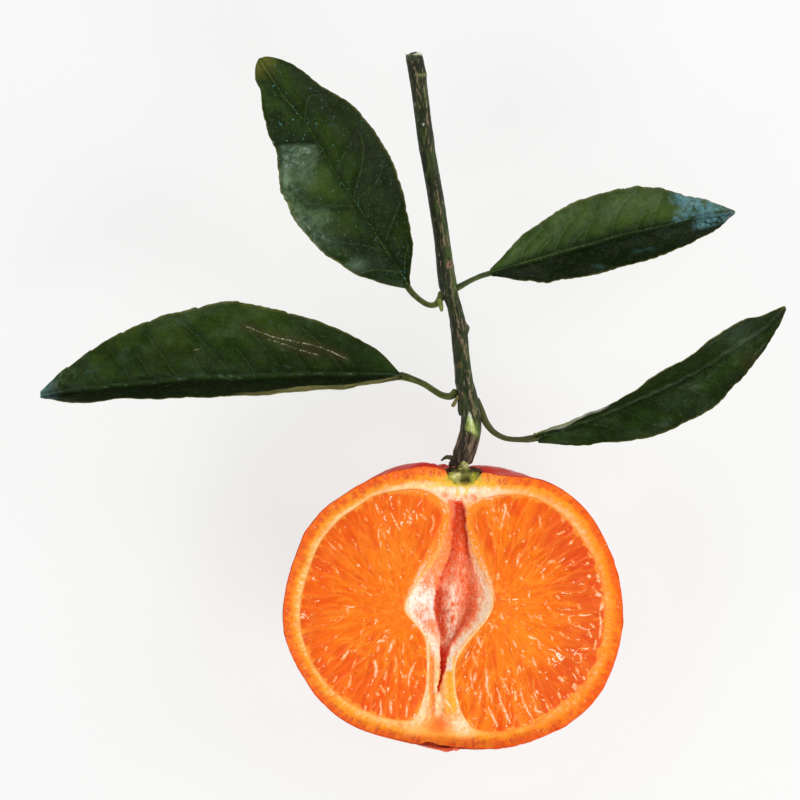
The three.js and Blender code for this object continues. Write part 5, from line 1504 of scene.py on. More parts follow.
def stations(t, at_t, values):
    """A smooth line through values at uneven stations at_t."""
    even = np.linspace(0, 1, 41)
    return through(np.interp(even, at_t, values), t)


# ---------------------------------------------------------------- the leaves
LEAF_T = [0, .1, .2, .35, .5, .65, .8, .9, 1]
LEAVES = {
    # base and tip of the blade, how far its two margins lie from the line between them at every twentieth of it,
    # the midrib, heights in mm, and how the two halves stand to each other
    "upper_left": dict(
        base=(408, 287), tip=(260, 58),
        low=[-4.5, -12.5, -24, -31.5, -38, -43, -48.5, -51.5, -55, -57, -57.5, -58, -56, -54, -50, -43, -36, -32, -26.5, -18, -2.5],
        high=[4, 18, 29, 38, 45, 51, 53.5, 57.5, 59, 59, 58.5, 57, 50.5, 43, 37.5, 35, 32, 27, 19, 14.5, -2],
        rib=[(408, 284), (391.6, 258.8), (367.5, 220.9), (355.4, 201.9), (336.5, 174.4), (315.8, 139.9), (303.7, 121), (281.3, 93.4), (260.7, 62)],
        ends=(-.4, -1.5), rise=2, tilt=16, wide=1,
        wide_mm=[.8, 5.6, 8.8, 11.2, 11.4, 8.4, 6, 3.7, .2], narrow_mm=[.9, 4.7, 7.4, 10, 11.2, 8.2, 5.8, 3.6, .2],
        veins=[[(354, 198), (357, 185), (361, 172), (364, 155), (363, 140), (358, 130)],
               [(357, 199), (372, 188), (382, 173), (384, 160)],
               [(386, 241), (391, 227), (397, 213), (401, 203)],
               [(405, 270), (406, 257), (409, 245)],
               [(305, 121), (306, 108), (310, 96), (318, 95)],
               [(336, 172), (344, 155), (352, 144)],
               [(355, 206), (330, 206), (310, 203), (296, 192), (289, 179), (286, 170), (277, 169)],
               [(386, 252), (365, 246), (335, 242), (317, 236), (308, 227), (306, 222)],
               [(400, 273), (390, 271), (372, 271), (357, 274)],
               [(326, 157), (318, 160), (311, 166)],
               [(292, 107), (284, 98), (272, 92)]],
        seed=300),
    "left": dict(
        base=(402, 377), tip=(41, 400),
        low=[-2.5, -24.5, -38.5, -49, -58, -66, -72.5, -77.5, -82.5, -87, -86, -83, -80, -77.5, -71.5, -65.5, -57, -48, -37, -24, -8.5],
        high=[2.0, 4, 5, 7, 6.5, 5.5, 6.5, 8, 9, 9, 9, 9.5, 8.5, 8.5, 7, 5, 4, 5.5, 5.5, 2.5, -2],
        rib=[(402, 376), (345, 374.2), (279, 375.2), (244, 376.3), (204, 377.5), (169, 380.3), (126, 384.5), (72, 390), (41, 397)],
        ends=(-.6, -3), rise=2.5, tilt=-14, wide=-1,
        wide_mm=[1.1, 6.9, 10.2, 13.4, 14.5, 12.9, 9.3, 5.6, .3], narrow_mm=[.6, 1.55, 2.35, 3.3, 4, 3.9, 2.6, 2.6, .3],
        veins=[[(130, 379), (125, 370), (117, 360), (107, 345)],
               [(178, 377), (172, 370), (158, 350), (146, 334)],
               [(234, 376), (226, 367), (205, 345), (184, 324)],
               [(284, 374), (274, 360), (262, 345), (246, 326)],
               [(345, 373), (330, 354), (316, 340), (302, 328)],
               [(205, 375), (196, 362), (196, 354), (201, 347)],
               [(255, 374), (246, 360), (236, 348)],
               [(152, 377), (143, 364), (136, 352)],
               [(310, 373), (300, 360), (290, 346)],
               [(98, 384), (90, 374), (84, 366)]],
        seed=400),
    "upper_right": dict(
        base=(491, 273), tip=(735, 212),
        low=[-3.5, -8.5, -14, -18, -23, -24, -25.5, -26.5, -26.5, -27.5, -26.5, -26.5, -26.5, -25.5, -24.5, -22.5, -20.5, -17.5, -14.5, -8.5, -1.5],
        high=[4.5, 12.5, 21, 28, 34, 39, 44, 47.5, 49.5, 50.5, 51.5, 52.5, 51, 49, 44, 39.5, 31.5, 26, 20, 11.5, 1.5],
        rib=[(491.4, 272.7), (537.9, 258.4), (595, 242.3), (630.7, 232.9), (666.4, 225.4), (702, 216.8), (735, 212)],
        ends=(-.2, 1.5), rise=1.6, tilt=6, wide=1,
        wide_mm=[.8, 3.8, 6.1, 8.5, 9.2, 8.8, 5.6, 3.6, .3], narrow_mm=[.7, 3, 5, 5.9, 6.05, 5.75, 4.5, 3.1, .2],
        veins=[[(520, 262), (524, 250), (531, 239), (543, 228)],
               [(554, 252), (559, 240), (565, 229), (574, 217)],
               [(584, 244), (586, 234), (590, 222)],
               [(612, 237), (614, 224), (618, 210), (628, 198), (636, 191)],
               [(652, 227), (655, 214), (658, 204), (662, 197)],
               [(537, 257), (543, 247), (551, 238)],
               [(570, 248), (577, 238), (583, 230)],
               [(636, 232), (640, 220), (646, 212)],
               [(676, 223), (684, 214), (692, 208)],
               [(540, 259), (556, 266), (570, 270)],
               [(590, 245), (606, 252), (618, 256)],
               [(640, 232), (656, 237), (668, 240)]],
        seed=500),
    "lower_right": dict(
        base=(536, 438), tip=(785, 307),
        low=[-6, -14.5, -23, -30.5, -35.5, -42, -47, -52, -54, -55.5, -56, -57, -56, -52.5, -47.5, -43.5, -37, -30, -23, -14.5, -3],
        high=[3.5, 2, -1, -2.5, -2, -4, -4.5, -4, -3.5, .5, 2, 2.5, 2, 2.5, 6, 7, 8.5, 9, 5, 3, 1.5],
        rib=[(535, 437.6), (571, 424.7), (596, 416.5), (628, 402.6), (659.5, 389), (691, 373), (718, 357), (741.5, 341.6), (764.7, 327), (785, 306)],
        ends=(-.6, -2), rise=1.5, tilt=-10, wide=-1,
        wide_mm=[1.1, 3.6, 5.3, 7.7, 8.2, 7.8, 5.6, 3.65, .4], narrow_mm=[.5, .65, 1.2, 1.65, 3.1, 2.9, 3.25, 1.8, .2],
        veins=[[(612, 410), (627, 412), (645, 421), (663, 427), (676, 422)],
               [(636, 399), (649, 398), (669, 407), (688, 412)],
               [(668, 385), (683, 389), (705, 394), (713, 397), (712, 407)],
               [(704, 366), (717, 365), (733, 370), (736, 375)],
               [(578, 423), (593, 425), (611, 428), (619, 436)],
               [(732, 348), (744, 346), (757, 350)],
               [(722, 353), (723, 347), (727, 336)],
               [(651, 391), (664, 394), (680, 400)],
               [(686, 376), (700, 377), (720, 384)]],
        seed=600),
}
SCARS = {"left": [[(243, 325), (258, 331), (275, 337), (292, 341), (312, 345), (330, 351), (345, 358)], [(268, 339), (280, 343), (300, 350), (318, 355)],
                  [(193, 351), (199, 349), (203, 348)]]}
GREEN = srgb(38, 56, 18)
GREEN_DARK = srgb(22, 36, 9)
GREEN_LIGHT = srgb(68, 90, 38)
VEIN = srgb(94, 116, 58)
BLOOM = srgb(118, 146, 112)
TEAL = srgb(92, 136, 144)
EDGE = srgb(122, 116, 62)
BELOW = srgb(104, 126, 72)
SPECK = srgb(84, 156, 158)


def leaf_paint(which, px, py, t, s, vein, rib):
    """Colour of a leaf's upper face and how waxy it is, by place in the picture frame."""
    tone = fbm(px * 0.05, py * 0.05, seed=LEAVES[which]["seed"] + 1)
    fine = fbm(px * 0.35, py * 0.35, seed=LEAVES[which]["seed"] + 2)
    c = mix(GREEN, GREEN_DARK, np.clip(0.3 + 0.9 * tone, 0, 1))
    # lighter and yellower between the veins
    c = mix(c, srgb(58, 78, 26), 0.55 * smooth(3, 10, np.minimum(vein, rib)) * smooth(-0.3, 0.35, fine * 0.5 + fbm(px * 0.03, py * 0.03, seed=LEAVES[which]["seed"] + 8)))
    wax = np.zeros_like(px)
    if which == "upper_left":
        c = c * 0.80
        c = c * (1 - 0.22 * smooth(215, 235, py))[..., None]
        c = mix(c, GREEN_DARK, 0.8 * smooth(128, 146, py) * (1 - smooth(146, 149, py - (316 - px) * 0.07)) * (1 - smooth(306, 330, px)))
        c = mix(c, srgb(30, 34, 14), 0.65 * bump(px - 0.75 * (py - 118), 345, 16) * (1 - smooth(190, 230, py)))
        c = mix(c, srgb(30, 44, 14), 0.6 * smooth(0.55, 0.95, -s))
        c = mix(c, srgb(62, 84, 26), 0.55 * bump(px, 322, 13) * bump(py, 178, 15))
        c = mix(c, srgb(96, 98, 34), np.clip(1.3 - np.hypot(px - 261, py - 62) / 16, 0, 1) * 0.8)
        wrinkle = fbm(px * 0.14, py * 0.30, seed=7, octaves=4)
        main = (smooth(144.5, 150, py + (px - 274) * 0.07) * (1 - smooth(176, 196, py)) * (1 - smooth(308, 322, px))
                * smooth(276, 284, px + (170 - py) * 0.1))
        ridges = (1 - np.clip(np.abs(fbm(px * 0.075 + 0.25 * fine, py * 0.13, seed=27, octaves=3)) * 7, 0, 1)) ** 1.4
        ridges = np.maximum(ridges, 0.8 * (1 - np.clip(np.abs(fbm(px * 0.17, py * 0.11, seed=29, octaves=2)) * 9, 0, 1)) ** 1.4)
        wax = wax + main * (0.30 + 0.22 * wrinkle + 0.25 * ridges * (1.2 - smooth(152, 190, py)))
        wax = wax + np.exp(-(np.hypot((px - 320) / 12, (py - 216) / 9)) ** 4) * (0.22 + 0.25 * ridges + 0.2 * wrinkle)
        wax = wax + 0.42 * bump(px, 357, 9) * bump(py, 265, 6)
        margin = smooth(0.5, 0.9, s) * smooth(160, 175, py) * (1 - smooth(232, 262, py))
        wax = wax + 0.36 * margin * (0.8 + fine)
        streak = bump(np.abs(px - 285) + np.abs(py - 181), 0, 5)
        wax = wax + 0.7 * streak
    elif which == "left":
        c = mix(c, srgb(11, 15, 4), 0.92 * smooth(0.03, 0.12, s))
        c = mix(c, srgb(66, 84, 30), 0.35 * smooth(-0.02, -0.2, s) * bump(px, 190, 110) * smooth(-0.4, 0.4, tone))
        c = mix(c, srgb(34, 46, 22), 0.5 * smooth(0.1, -0.9, s) * smooth(230, 330, px))
        wax = wax + 0.16 * np.clip(0.1 + fbm(px * 0.05, py * 0.09, seed=11, octaves=3), 0, 1) * (s < 0) * (1 - smooth(240, 330, px))
        for bx, by, size in ((188, 322, 6), (123, 357, 7), (190, 362, 7), (170, 340, 5), (150, 350, 6)):
            wax = wax + 0.12 * bump(px, bx, size) * bump(py, by, size * 0.8)
        c = mix(c, TEAL, 0.45 * (1 - smooth(44, 62, px)) * smooth(-0.3, 0.4, fine + 0.4))
        c = mix(c, srgb(96, 104, 92), 0.5 * (1 - smooth(52, 84, px)) * smooth(-0.1, 0.5, fine) * (s < 0))
        d, along = strokes(px, py, [[(243, 325), (268, 335), (312, 345), (345, 358)], [(280, 343), (300, 350), (318, 355)]])
        c = mix(c, srgb(70, 62, 36), 0.55 * np.exp(-(d / 5.0) ** 2) * (s < 0))
    elif which == "upper_right":
        c = mix(c, GREEN_LIGHT, 0.62 * smooth(0.02, 0.3, s) * (1 - 0.55 * smooth(0.7, 1, s)) * (0.8 + 0.8 * tone))
        c = mix(c, srgb(13, 23, 4), 0.88 * smooth(-0.02, -0.12, s))
        c = mix(c, srgb(78, 96, 62), 0.6 * np.exp(-((px - 629 + (py - 202) * 0.35) / 8) ** 2) * bump(py, 201, 11))
        crack = np.abs(fbm(px * 0.11, py * 0.11, seed=17, octaves=4))
        edge = 668 + 12 * noise(py * 0.12, 3) - 0.4 * (py - 212)
        patch_here = smooth(edge - 5, edge + 7, px + 5 * fine) * (1 - smooth(226, 232, py - (px - 700) * -0.25))
        patch_here = patch_here * smooth(0.025, 0.09, crack) * np.where(s < 0, smooth(690, 700, px), 1)
        c = mix(c, mix(TEAL, srgb(60, 92, 92), np.clip(0.5 - 0.9 * fine, 0, 1)), 0.88 * patch_here)
        c = mix(c, srgb(96, 104, 116), 0.6 * smooth(722, 733, px))
        for bx, by in ((600, 268), (638, 252), (650, 249)):
            c = mix(c, srgb(44, 78, 74), 0.6 * bump(px, bx, 5) * bump(py, by, 2))
    else:
        c = mix(c, srgb(24, 35, 8), 0.72)
        c = mix(c, srgb(20, 31, 6), 0.6 * smooth(0.05, 0.3, s))
        c = mix(c, srgb(44, 66, 22), 0.5 * bump(s, -0.45, 0.25) * smooth(-0.2, 0.3, tone))
        wax = wax + 0.10 * np.clip(fbm(px * 0.06, py * 0.06, seed=19), 0, 1) * (s < 0)
        wax = wax + 0.12 * bump(px, 738, 14) * bump(py, 338, 12)
        c = mix(c, srgb(96, 84, 50), 0.6 * np.clip(1.2 - np.hypot(px - 785, py - 306) / 9, 0, 1))
        c = mix(c, srgb(60, 50, 28), 0.4 * bump(px, 752, 12) * bump(py, 362, 14))
    c = mix(c, GREEN_DARK, 0.28 * np.exp(-((vein - 2.2) / 1.2) ** 2))
    net = cells(px / 7.0 + fine * 0.4, py / 7.0, seed=LEAVES[which]["seed"] + 3)
    c = mix(c, GREEN_LIGHT, 0.15 * (1 - smooth(0.02, 0.10, net[1] - net[0])))
    if which == "left":
        c = mix(c, srgb(120, 140, 126), 0.35 * np.exp(-((rib - 0.8) / 1.2) ** 2) * smooth(0.3, 0.5, fbm(px * 0.2, py * 0.4, seed=23)))
    c = mix(c, GREEN_DARK, 0.45 * np.exp(-((rib - 2.4) / 1.2) ** 2))
    c = mix(c, BLOOM, np.clip(wax, 0, 0.9) * 0.75)
    rim = smooth(0.955, 0.995, np.abs(s))
    c = mix(c, EDGE, 0.75 * rim * (0.6 + 0.4 * fine))
    return c, np.clip(wax, 0, 1)


def build_leaf(which):
    spec = LEAVES[which]
    rows, columns = 208, 84
    t = np.linspace(0, 1, rows)[:, None]
    t = (t + 0.018 * np.sin(2 * np.pi * t) * -1)
    s = np.linspace(-1, 1, columns)[None, :]
    s = s * (1 + 0.10 * (1 - s * s))
    tt, ss = np.broadcast_arrays(t, s)
    b, e = np.array(spec["base"], float), np.array(spec["tip"], float)
    d = e - b
    length = np.hypot(*d)
    d = d / length
    side = np.array([d[1], -d[0]])     # the side where the high margin lies
    if which in ("upper_left",):
        side = np.array([d[1], -d[0]])
    # rib offset from the line between the ends
    rib = curve(spec["rib"], 200)
    along = (rib - b) @ d / length
    off = (rib - b) @ side
    order = np.argsort(along)
    m = np.interp(tt[:, 0], along[order], off[order])[:, None]
    m = m * smooth(0, 0.03, t)
    low, high = through(spec["low"], t), through(spec["high"], t)
    if which == "upper_left":
        last = np.sqrt(np.clip((1 - t) / 0.05, 0, 1))
        low = np.where(t > 0.95, -0.5 - 17.5 * np.clip((1 - t) / 0.05, 0, 1) ** 0.62, low)
        high = np.where(t > 0.95, 0.5 + 14.0 * last, high)
        low = np.where(t < 0.05, low * (0.55 + 0.45 * np.sqrt(np.clip(t / 0.05, 0, 1))), low)
    # fine scallops along the margins
    arc = tt * length
    wob = noise(arc * 0.02, ss * 0, seed=spec["seed"] + 20)
    period = 10.5
    cut = (np.abs(np.sin(np.pi * (arc / period + 1.3 * wob))) ** 0.7 - 0.72)
    ends = smooth(0.02, 0.12, tt) * (1 - smooth(0.93, 0.995, tt))
    ragged = 0.55 * cut + 0.30 * noise(arc * 0.25, np.sign(ss), seed=spec["seed"] + 21)
    if which in ("left", "lower_right"):
        ragged = ragged * np.where(ss * spec["wide"] < 0, 0.05 if which == "left" else 0.25, 1)
    step = 0.0
    if which == "left":
        for nx in (70, 95, 126, 154, 203, 245, 292):
            step = step - 1.5 * np.exp(-np.maximum((402 - nx) - arc, 0) / 9) * (((402 - nx) - arc) > -1.2) * (ss < 0) * 0.8
    if which == "upper_right":
        for nx in (638, 675, 690, 716):
            step = step - 1.4 * np.exp(-np.maximum(arc - (nx - 491) * 1.03, 0) / 8) * ((arc - (nx - 491) * 1.03) > -1.2) * (ss > 0) * 0.8
    ragged = (ragged + step) * ends
    lo = np.minimum(low, m - 0.7) - 0 * ss
    hi = np.maximum(high, m + 0.7) - 0 * ss
    # the halves stand as a fold: the wide one nearly level, the narrow one steep
    wide, narrow = stations(t, LEAF_T, spec["wide_mm"]), stations(t, LEAF_T, spec["narrow_mm"])
    tilt = math.radians(spec["tilt"])
    breadth = wide / math.cos(tilt)
    steep = np.arccos(np.clip(narrow / breadth, 0.18, 0.995))
    wide_side = ss * spec["wide"] > 0
    aw = tilt + 0.25 * np.abs(ss)
    an = steep + 0.18 * (np.abs(ss) - 1)
    fw = np.abs(ss) * np.cos(aw) / np.cos(tilt + 0.25)
    fn = np.abs(ss) * np.cos(an) / np.cos(steep)
    f = np.where(wide_side, fw, fn)
    reach = np.where(ss < 0, m - lo, hi - m)
    offset = m + np.where(ss < 0, -1, 1) * f * (reach + ragged)
    height = breadth * np.abs(ss) * np.sin(np.where(wide_side, aw, an))
    z = spec["ends"][0] * (1 - tt) + spec["ends"][1] * tt + spec["rise"] * np.sin(np.pi * tt) + height
    px = b[0] + d[0] * tt * length + side[0] * offset
    py = b[1] + d[1] * tt * length + side[1] * offset
    s_paint = ss * (1 if which in ("upper_left", "upper_right") else 1)
    vein, _ = strokes(px, py, spec["veins"])
    ribd, _ = strokes(px, py, [spec["rib"]])
    # waves, quilting between the veins and the gutter of the midrib
    wave = 0.45 * fbm(tt * 5, ss * 1.6, seed=spec["seed"] + 22) * smooth(0, 0.1, tt) * (1 - smooth(0.92, 1, tt))
    lift = wave + 0.22 * (1 - np.exp(-(vein / 7.0) ** 2)) - 0.06 * np.exp(-(vein / 1.0) ** 2)
    lift = lift + 0.13 * fbm(px * 0.10, py * 0.10, seed=spec["seed"] + 23) + 0.05 * fbm(px * 0.3, py * 0.3, seed=spec["seed"] + 24)
    lift = lift + 0.04 * np.exp(-(ribd / 0.9) ** 2) - 0.12 * np.exp(-((ribd - 2.6) / 1.7) ** 2)
    edge_wave = smooth(0.72, 1.0, np.abs(ss)) * ends
    lift = lift + edge_wave * 0.45 * noise(arc * 0.05, np.sign(ss) * 3, seed=spec["seed"] + 25) * np.where(ss * spec["wide"] < 0, 0.3, 1)
    if which == "upper_left":
        fold = bump(px, 294, 19) * smooth(143.5, 149, py + (px - 274) * 0.07) * (1 - smooth(150, 190, py))
        wrinkle = fbm(px * 0.14, py * 0.30, seed=7, octaves=4)
        lift = lift + 1.3 * fold + 0.22 * wrinkle * (fold + 0.7 * bump(px, 320, 12) * bump(py, 216, 11))
    if which == "left":
        # the steep half turns its margin over near the stalk
        turn = smooth(0.78, 1.0, ss) * bump(tt, 0.24, 0.2)
        lift = lift - 0.5 * turn
    x, y = at(px, py)
    x, y = drawn_in(x, y, z)
    p = np.stack([x, y, CUT + z], -1)
    du, dv = np.gradient(p, axis=0), np.gradient(p, axis=1)
    n = np.cross(du, dv)
    n /= np.maximum(np.linalg.norm(n, axis=-1, keepdims=True), 1e-9)
    n = n * np.sign(n[..., 2].mean())
    thick = 0.30 - 0.17 * smooth(0.7, 1.0, np.abs(ss))
    stalk = 0.55 * np.exp(-(ribd / 2.6) ** 2) * (1 - 0.8 * tt)
    under = 0.16 * np.exp(-(vein / 1.3) ** 2) * (1 - smooth(0.8, 1, np.abs(ss)))
    top = p + n * (lift + thick / 2)[..., None]
    bottom = p + n * (lift - thick / 2 - stalk - under)[..., None]
    c, wax = leaf_paint(which, px, py, tt, s_paint, vein, ribd)
    margin = (1 - np.abs(ss)) * reach
    if which == "left":
        # its turned margin shows the paler underside
        band = smooth(228, 262, px) * (1 - smooth(392, 402, px)) * (ss > 0)
        curl = band * (1 - smooth(1.9, 2.6, margin + 0.7 * noise(px * 0.05, 2)))
        tone = mix(np.broadcast_to(srgb(112, 108, 62), c.shape), srgb(78, 76, 42), smooth(-0.2, 0.5, fbm(px * 0.08, margin * 1.2, seed=31)))
        c = mix(c, tone, 0.92 * curl)
        c = mix(c, srgb(128, 124, 74), 0.6 * band * bump(margin, 2.6, 0.5))
    if which == "lower_right":
        band = (1 - smooth(600, 612, px)) * smooth(533, 545, px) * (ss > 0)
        curl = band * (1 - smooth(0.7, 1.7, margin)) * smooth(538, 556, px)
        c = mix(c, srgb(158, 162, 150), 0.80 * curl * (0.8 + 0.3 * fbm(px * 0.1, margin, seed=33)))
    fine = fbm(px * 0.2, py * 0.2, seed=spec["seed"] + 26)
    cb = mix(BELOW, srgb(84, 106, 56), np.clip(0.5 + fine, 0, 1))
    cb = mix(cb, srgb(142, 152, 96), 0.6 * np.exp(-(vein / 1.2) ** 2) + 0.7 * np.exp(-(ribd / 2.2) ** 2))
    net = cells(px / 6.0, py / 6.0, seed=spec["seed"] + 27)
    cb = mix(cb, srgb(128, 142, 88), 0.3 * (1 - smooth(0.02, 0.12, net[1] - net[0])))
    if which == "left":
        cb = mix(cb, srgb(128, 122, 66), 0.6 * smooth(0.7, 0.95, ss))
    if which == "lower_right":
        cb = mix(cb, srgb(128, 138, 104), 0.6 * smooth(0.4, 0.7, ss) * (1 - smooth(0.25, 0.35, tt)))
    cb = mix(cb, EDGE, 0.6 * smooth(0.96, 1.0, np.abs(ss)))
    scar, scar_at = strokes(px, py, SCARS.get(which, [[(0, 0), (1, 1)]]))
    if which == "upper_right":
        vein = vein + 0.7 * smooth(0.0, -0.1, ss)
    if which == "lower_right":
        vein = vein + 0.35
    lines = {"Rib": np.minimum(ribd, 9), "Vein": np.minimum(vein, 9), "Scar": np.minimum(scar, 9), "Run": tt + 0 * ss}
    blank = {"Rib": 9.0, "Vein": 9.0, "Scar": 9.0, "Run": 0.5}
    ring = np.concatenate([top, bottom[:, ::-1]], 1)
    tone = np.concatenate([c, cb[:, ::-1]], 1)
    waxy = np.concatenate([wax, np.zeros_like(wax)], 1)
    back = np.concatenate([np.zeros_like(wax), np.ones_like(wax)], 1)
    fields = {k: np.concatenate([v, np.full_like(wax, blank[k])], 1) for k, v in lines.items()}
    blue = {"upper_left": 0.85, "left": 0.16, "upper_right": 0.10, "lower_right": 0.10}[which]
    fields["Blue"] = np.concatenate([np.full_like(wax, blue) * (0.45 + 0.75 * bump(px, 285, 24) * bump(py, 118, 30)
                                     + 0.5 * np.exp(-(ribd / 8) ** 2)), np.zeros_like(wax)], 1)
    strong = {"upper_left": 0.9, "left": 0.17, "upper_right": 0.8, "lower_right": 0.20}[which]
    fields["Strong"] = np.concatenate([np.full_like(wax, strong), np.full_like(wax, 0.8)], 1)
    dust = {"upper_left": 0.10, "left": 0.24, "upper_right": 0.12, "lower_right": 0.10}[which]
    fields["Dust"] = np.concatenate([np.full_like(wax, dust) * (1.0 if which != "left" else np.where(ss < 0, 1.0, 0.25)), np.zeros_like(wax)], 1)
    around = 2 * columns
    faces = grid_faces(rows, around, wrap=True)
    u = np.concatenate([np.linspace(0, 0.495, columns), np.linspace(0.505, 1.0, columns)])
    v = np.linspace(0.02, 1, rows)
    i, j = np.arange(rows - 1)[:, None], np.arange(around)[None, :]
    k = (j + 1) % around
    uk = np.where(j == around - 1, 1.0, u[k])
    uv = np.stack([np.stack([u[j] + 0 * i, uk + 0 * i, uk + 0 * i, u[j] + 0 * i], -1),
                   np.stack([v[i] + 0 * j, v[i] + 0 * j, v[i + 1] + 0 * j, v[i + 1] + 0 * j], -1)], -1).reshape(-1, 4, 2)
    first, last = np.arange(around), (rows - 1) * around + np.arange(around)
    if np.cross(du, dv)[..., 2].mean() > 0:
        faces, uv = faces[:, ::-1], uv[:, ::-1]
        caps = [first, last[::-1]]
    else:
        caps = [first[::-1], last]
    cap_uv = np.full((2 * around, 2), 0.005)
    ob = make("leaf_blade_" + which, ring.reshape(-1, 3), faces, ngons=caps, colour=tone.reshape(-1, 3),
              floats={"Wax": waxy, "Back": back, **fields}, uv=np.vstack([uv.reshape(-1, 2), cap_uv]))
    return ob


def leaf_material():
    m, nodes, links, shader = material("leaf", 0.32, specular=0.09)
    place = place_nodes(nodes)
    c = mottled(nodes, links, tint_nodes(nodes, links).outputs["Color"], place, 0.40, 0.22)
    c = mottled(nodes, links, c, place, 2.2, 0.20, 4.0)
    fine = noise_of(nodes, links, place, 0.5, 3.0)
    wob = spread(nodes, links, fine, 0.3, 0.7, -0.5, 0.5)
    run = tint_nodes(nodes, links, "Run").outputs["Fac"]
    # veins and midrib as fine pale lines
    c = over(nodes, links, c, VEIN, line_mask(nodes, links, tint_nodes(nodes, links, "Vein").outputs["Fac"], wob, 0.1, 0.9, 0.26))
    rib = line_mask(nodes, links, tint_nodes(nodes, links, "Rib").outputs["Fac"], wob, 0.1, 0.95, 1.0)
    c = over(nodes, links, c, srgb(98, 116, 62), times(nodes, links, rib, times(nodes, links, spread(nodes, links, run, 0.0, 1.0, 0.8, 0.4), tint_nodes(nodes, links, "Strong").outputs["Fac"])))
    # a scratch whose lips shine
    dry = line_mask(nodes, links, tint_nodes(nodes, links, "Scar").outputs["Fac"], wob, 0.0, 0.75, 1.0)
    broken = spread(nodes, links, noise_of(nodes, links, place, 0.9, 2.0), 0.42, 0.50)
    c = over(nodes, links, c, srgb(206, 198, 168), times(nodes, links, dry, spread(nodes, links, broken, 0, 1, 0.12, 0.9)))
    # bloom in crisp wrinkled streaks
    wax = tint_nodes(nodes, links, "Wax").outputs["Fac"]
    streaks = noise_of(nodes, links, place, 3.6, 4.0, (1.0, 2.2, 1.0), 0.6)
    fine_streaks = noise_of(nodes, links, place, 5.0, 2.0)
    ridge = node(nodes, "ShaderNodeMath", operation="SUBTRACT")
    ridge.inputs[1].default_value = 0.5
    links.new(streaks, ridge.inputs[0])
    absolute = node(nodes, "ShaderNodeMath", operation="ABSOLUTE")
    links.new(ridge.outputs[0], absolute.inputs[0])
    crisp = times(nodes, links, spread(nodes, links, absolute.outputs[0], 0.028, 0.0, 0.0, 1.0), spread(nodes, links, fine_streaks, 0.42, 0.56))
    c = over(nodes, links, c, srgb(176, 196, 186), times(nodes, links, crisp, spread(nodes, links, wax, 0.18, 0.6, 0.0, 0.7)))
    # oil dots, pale green, and a few bluish specks
    mask, _ = dots_of(nodes, links, place, 0.62, 0.55, 0.22)
    c = over(nodes, links, c, srgb(100, 120, 50), spread(nodes, links, mask, 0, 1, 0, 0.36))
    # crisp bluish dust
    dust = spread(nodes, links, noise_of(nodes, links, place, 1.5, 5.0), 0.60, 0.70, 0.0, 1.0)
    c = over(nodes, links, c, srgb(78, 116, 106), times(nodes, links, dust, tint_nodes(nodes, links, "Dust").outputs["Fac"]))
    for size, keep, radius in ((1.15, 0.40, 0.17), (0.7, 0.34, 0.17)):
        mask, _ = dots_of(nodes, links, place, size, keep, radius)
        c = over(nodes, links, c, srgb(88, 158, 156), times(nodes, links, mask, tint_nodes(nodes, links, "Blue").outputs["Fac"]))
    links.new(c, shader.inputs["Base Color"])
    bumped(nodes, links, shader, place, [(1.6, 0.10, 4.0), (0.4, 0.045, 3.0)])
    back = tint_nodes(nodes, links, "Back")
    span = node(nodes, "ShaderNodeMapRange")
    span.inputs["To Min"].default_value, span.inputs["To Max"].default_value = 0.34, 0.6
    links.new(back.outputs["Fac"], span.inputs["Value"])
    links.new(span.outputs[0], shader.inputs["Roughness"])
    return m


def stalk_material():
    m, nodes, links, shader = material("stalk", 0.4, specular=0.15)
    place = place_nodes(nodes)
    c = mottled(nodes, links, tint_nodes(nodes, links).outputs["Color"], place, 0.4, 0.16, 5.0)
    c = mottled(nodes, links, c, place, 2.0, 0.12)
    links.new(c, shader.inputs["Base Color"])
    bumped(nodes, links, shader, place, [(0.8, 0.06, 4.0), (0.3, 0.03, 3.0)])
    rough_by(nodes, links, shader, place, 1.0, 0.34, 0.55)
    return m


def stalk_detail(seed, base, dark, length_mm):
    def detail(i, angle, points):
        x, y, z = points[..., 0], points[..., 1], points[..., 2]
        a = np.radians(angle)
        ridge = 0.05 * np.cos(3 * a + 1.0) + 0.03 * np.cos(7 * a + i * 0.05)
        grain = fbm(x * 0.9, y * 0.9, z * 0.9, seed=seed)
        streak = fbm(np.cos(a) * 3, np.sin(a) * 3, i * 0.02, seed=seed + 1)
        c = mix(np.broadcast_to(base, x.shape + (3,)), dark, np.clip(0.42 + 0.9 * streak + 0.5 * grain, 0, 1))
        groove = np.exp(-((((angle - 95) + 180) % 360 - 180) / 26.0) ** 2)
        return ridge + 0.04 * grain - 0.09 * groove, mix(c, dark, 0.35 * groove)
    return detail


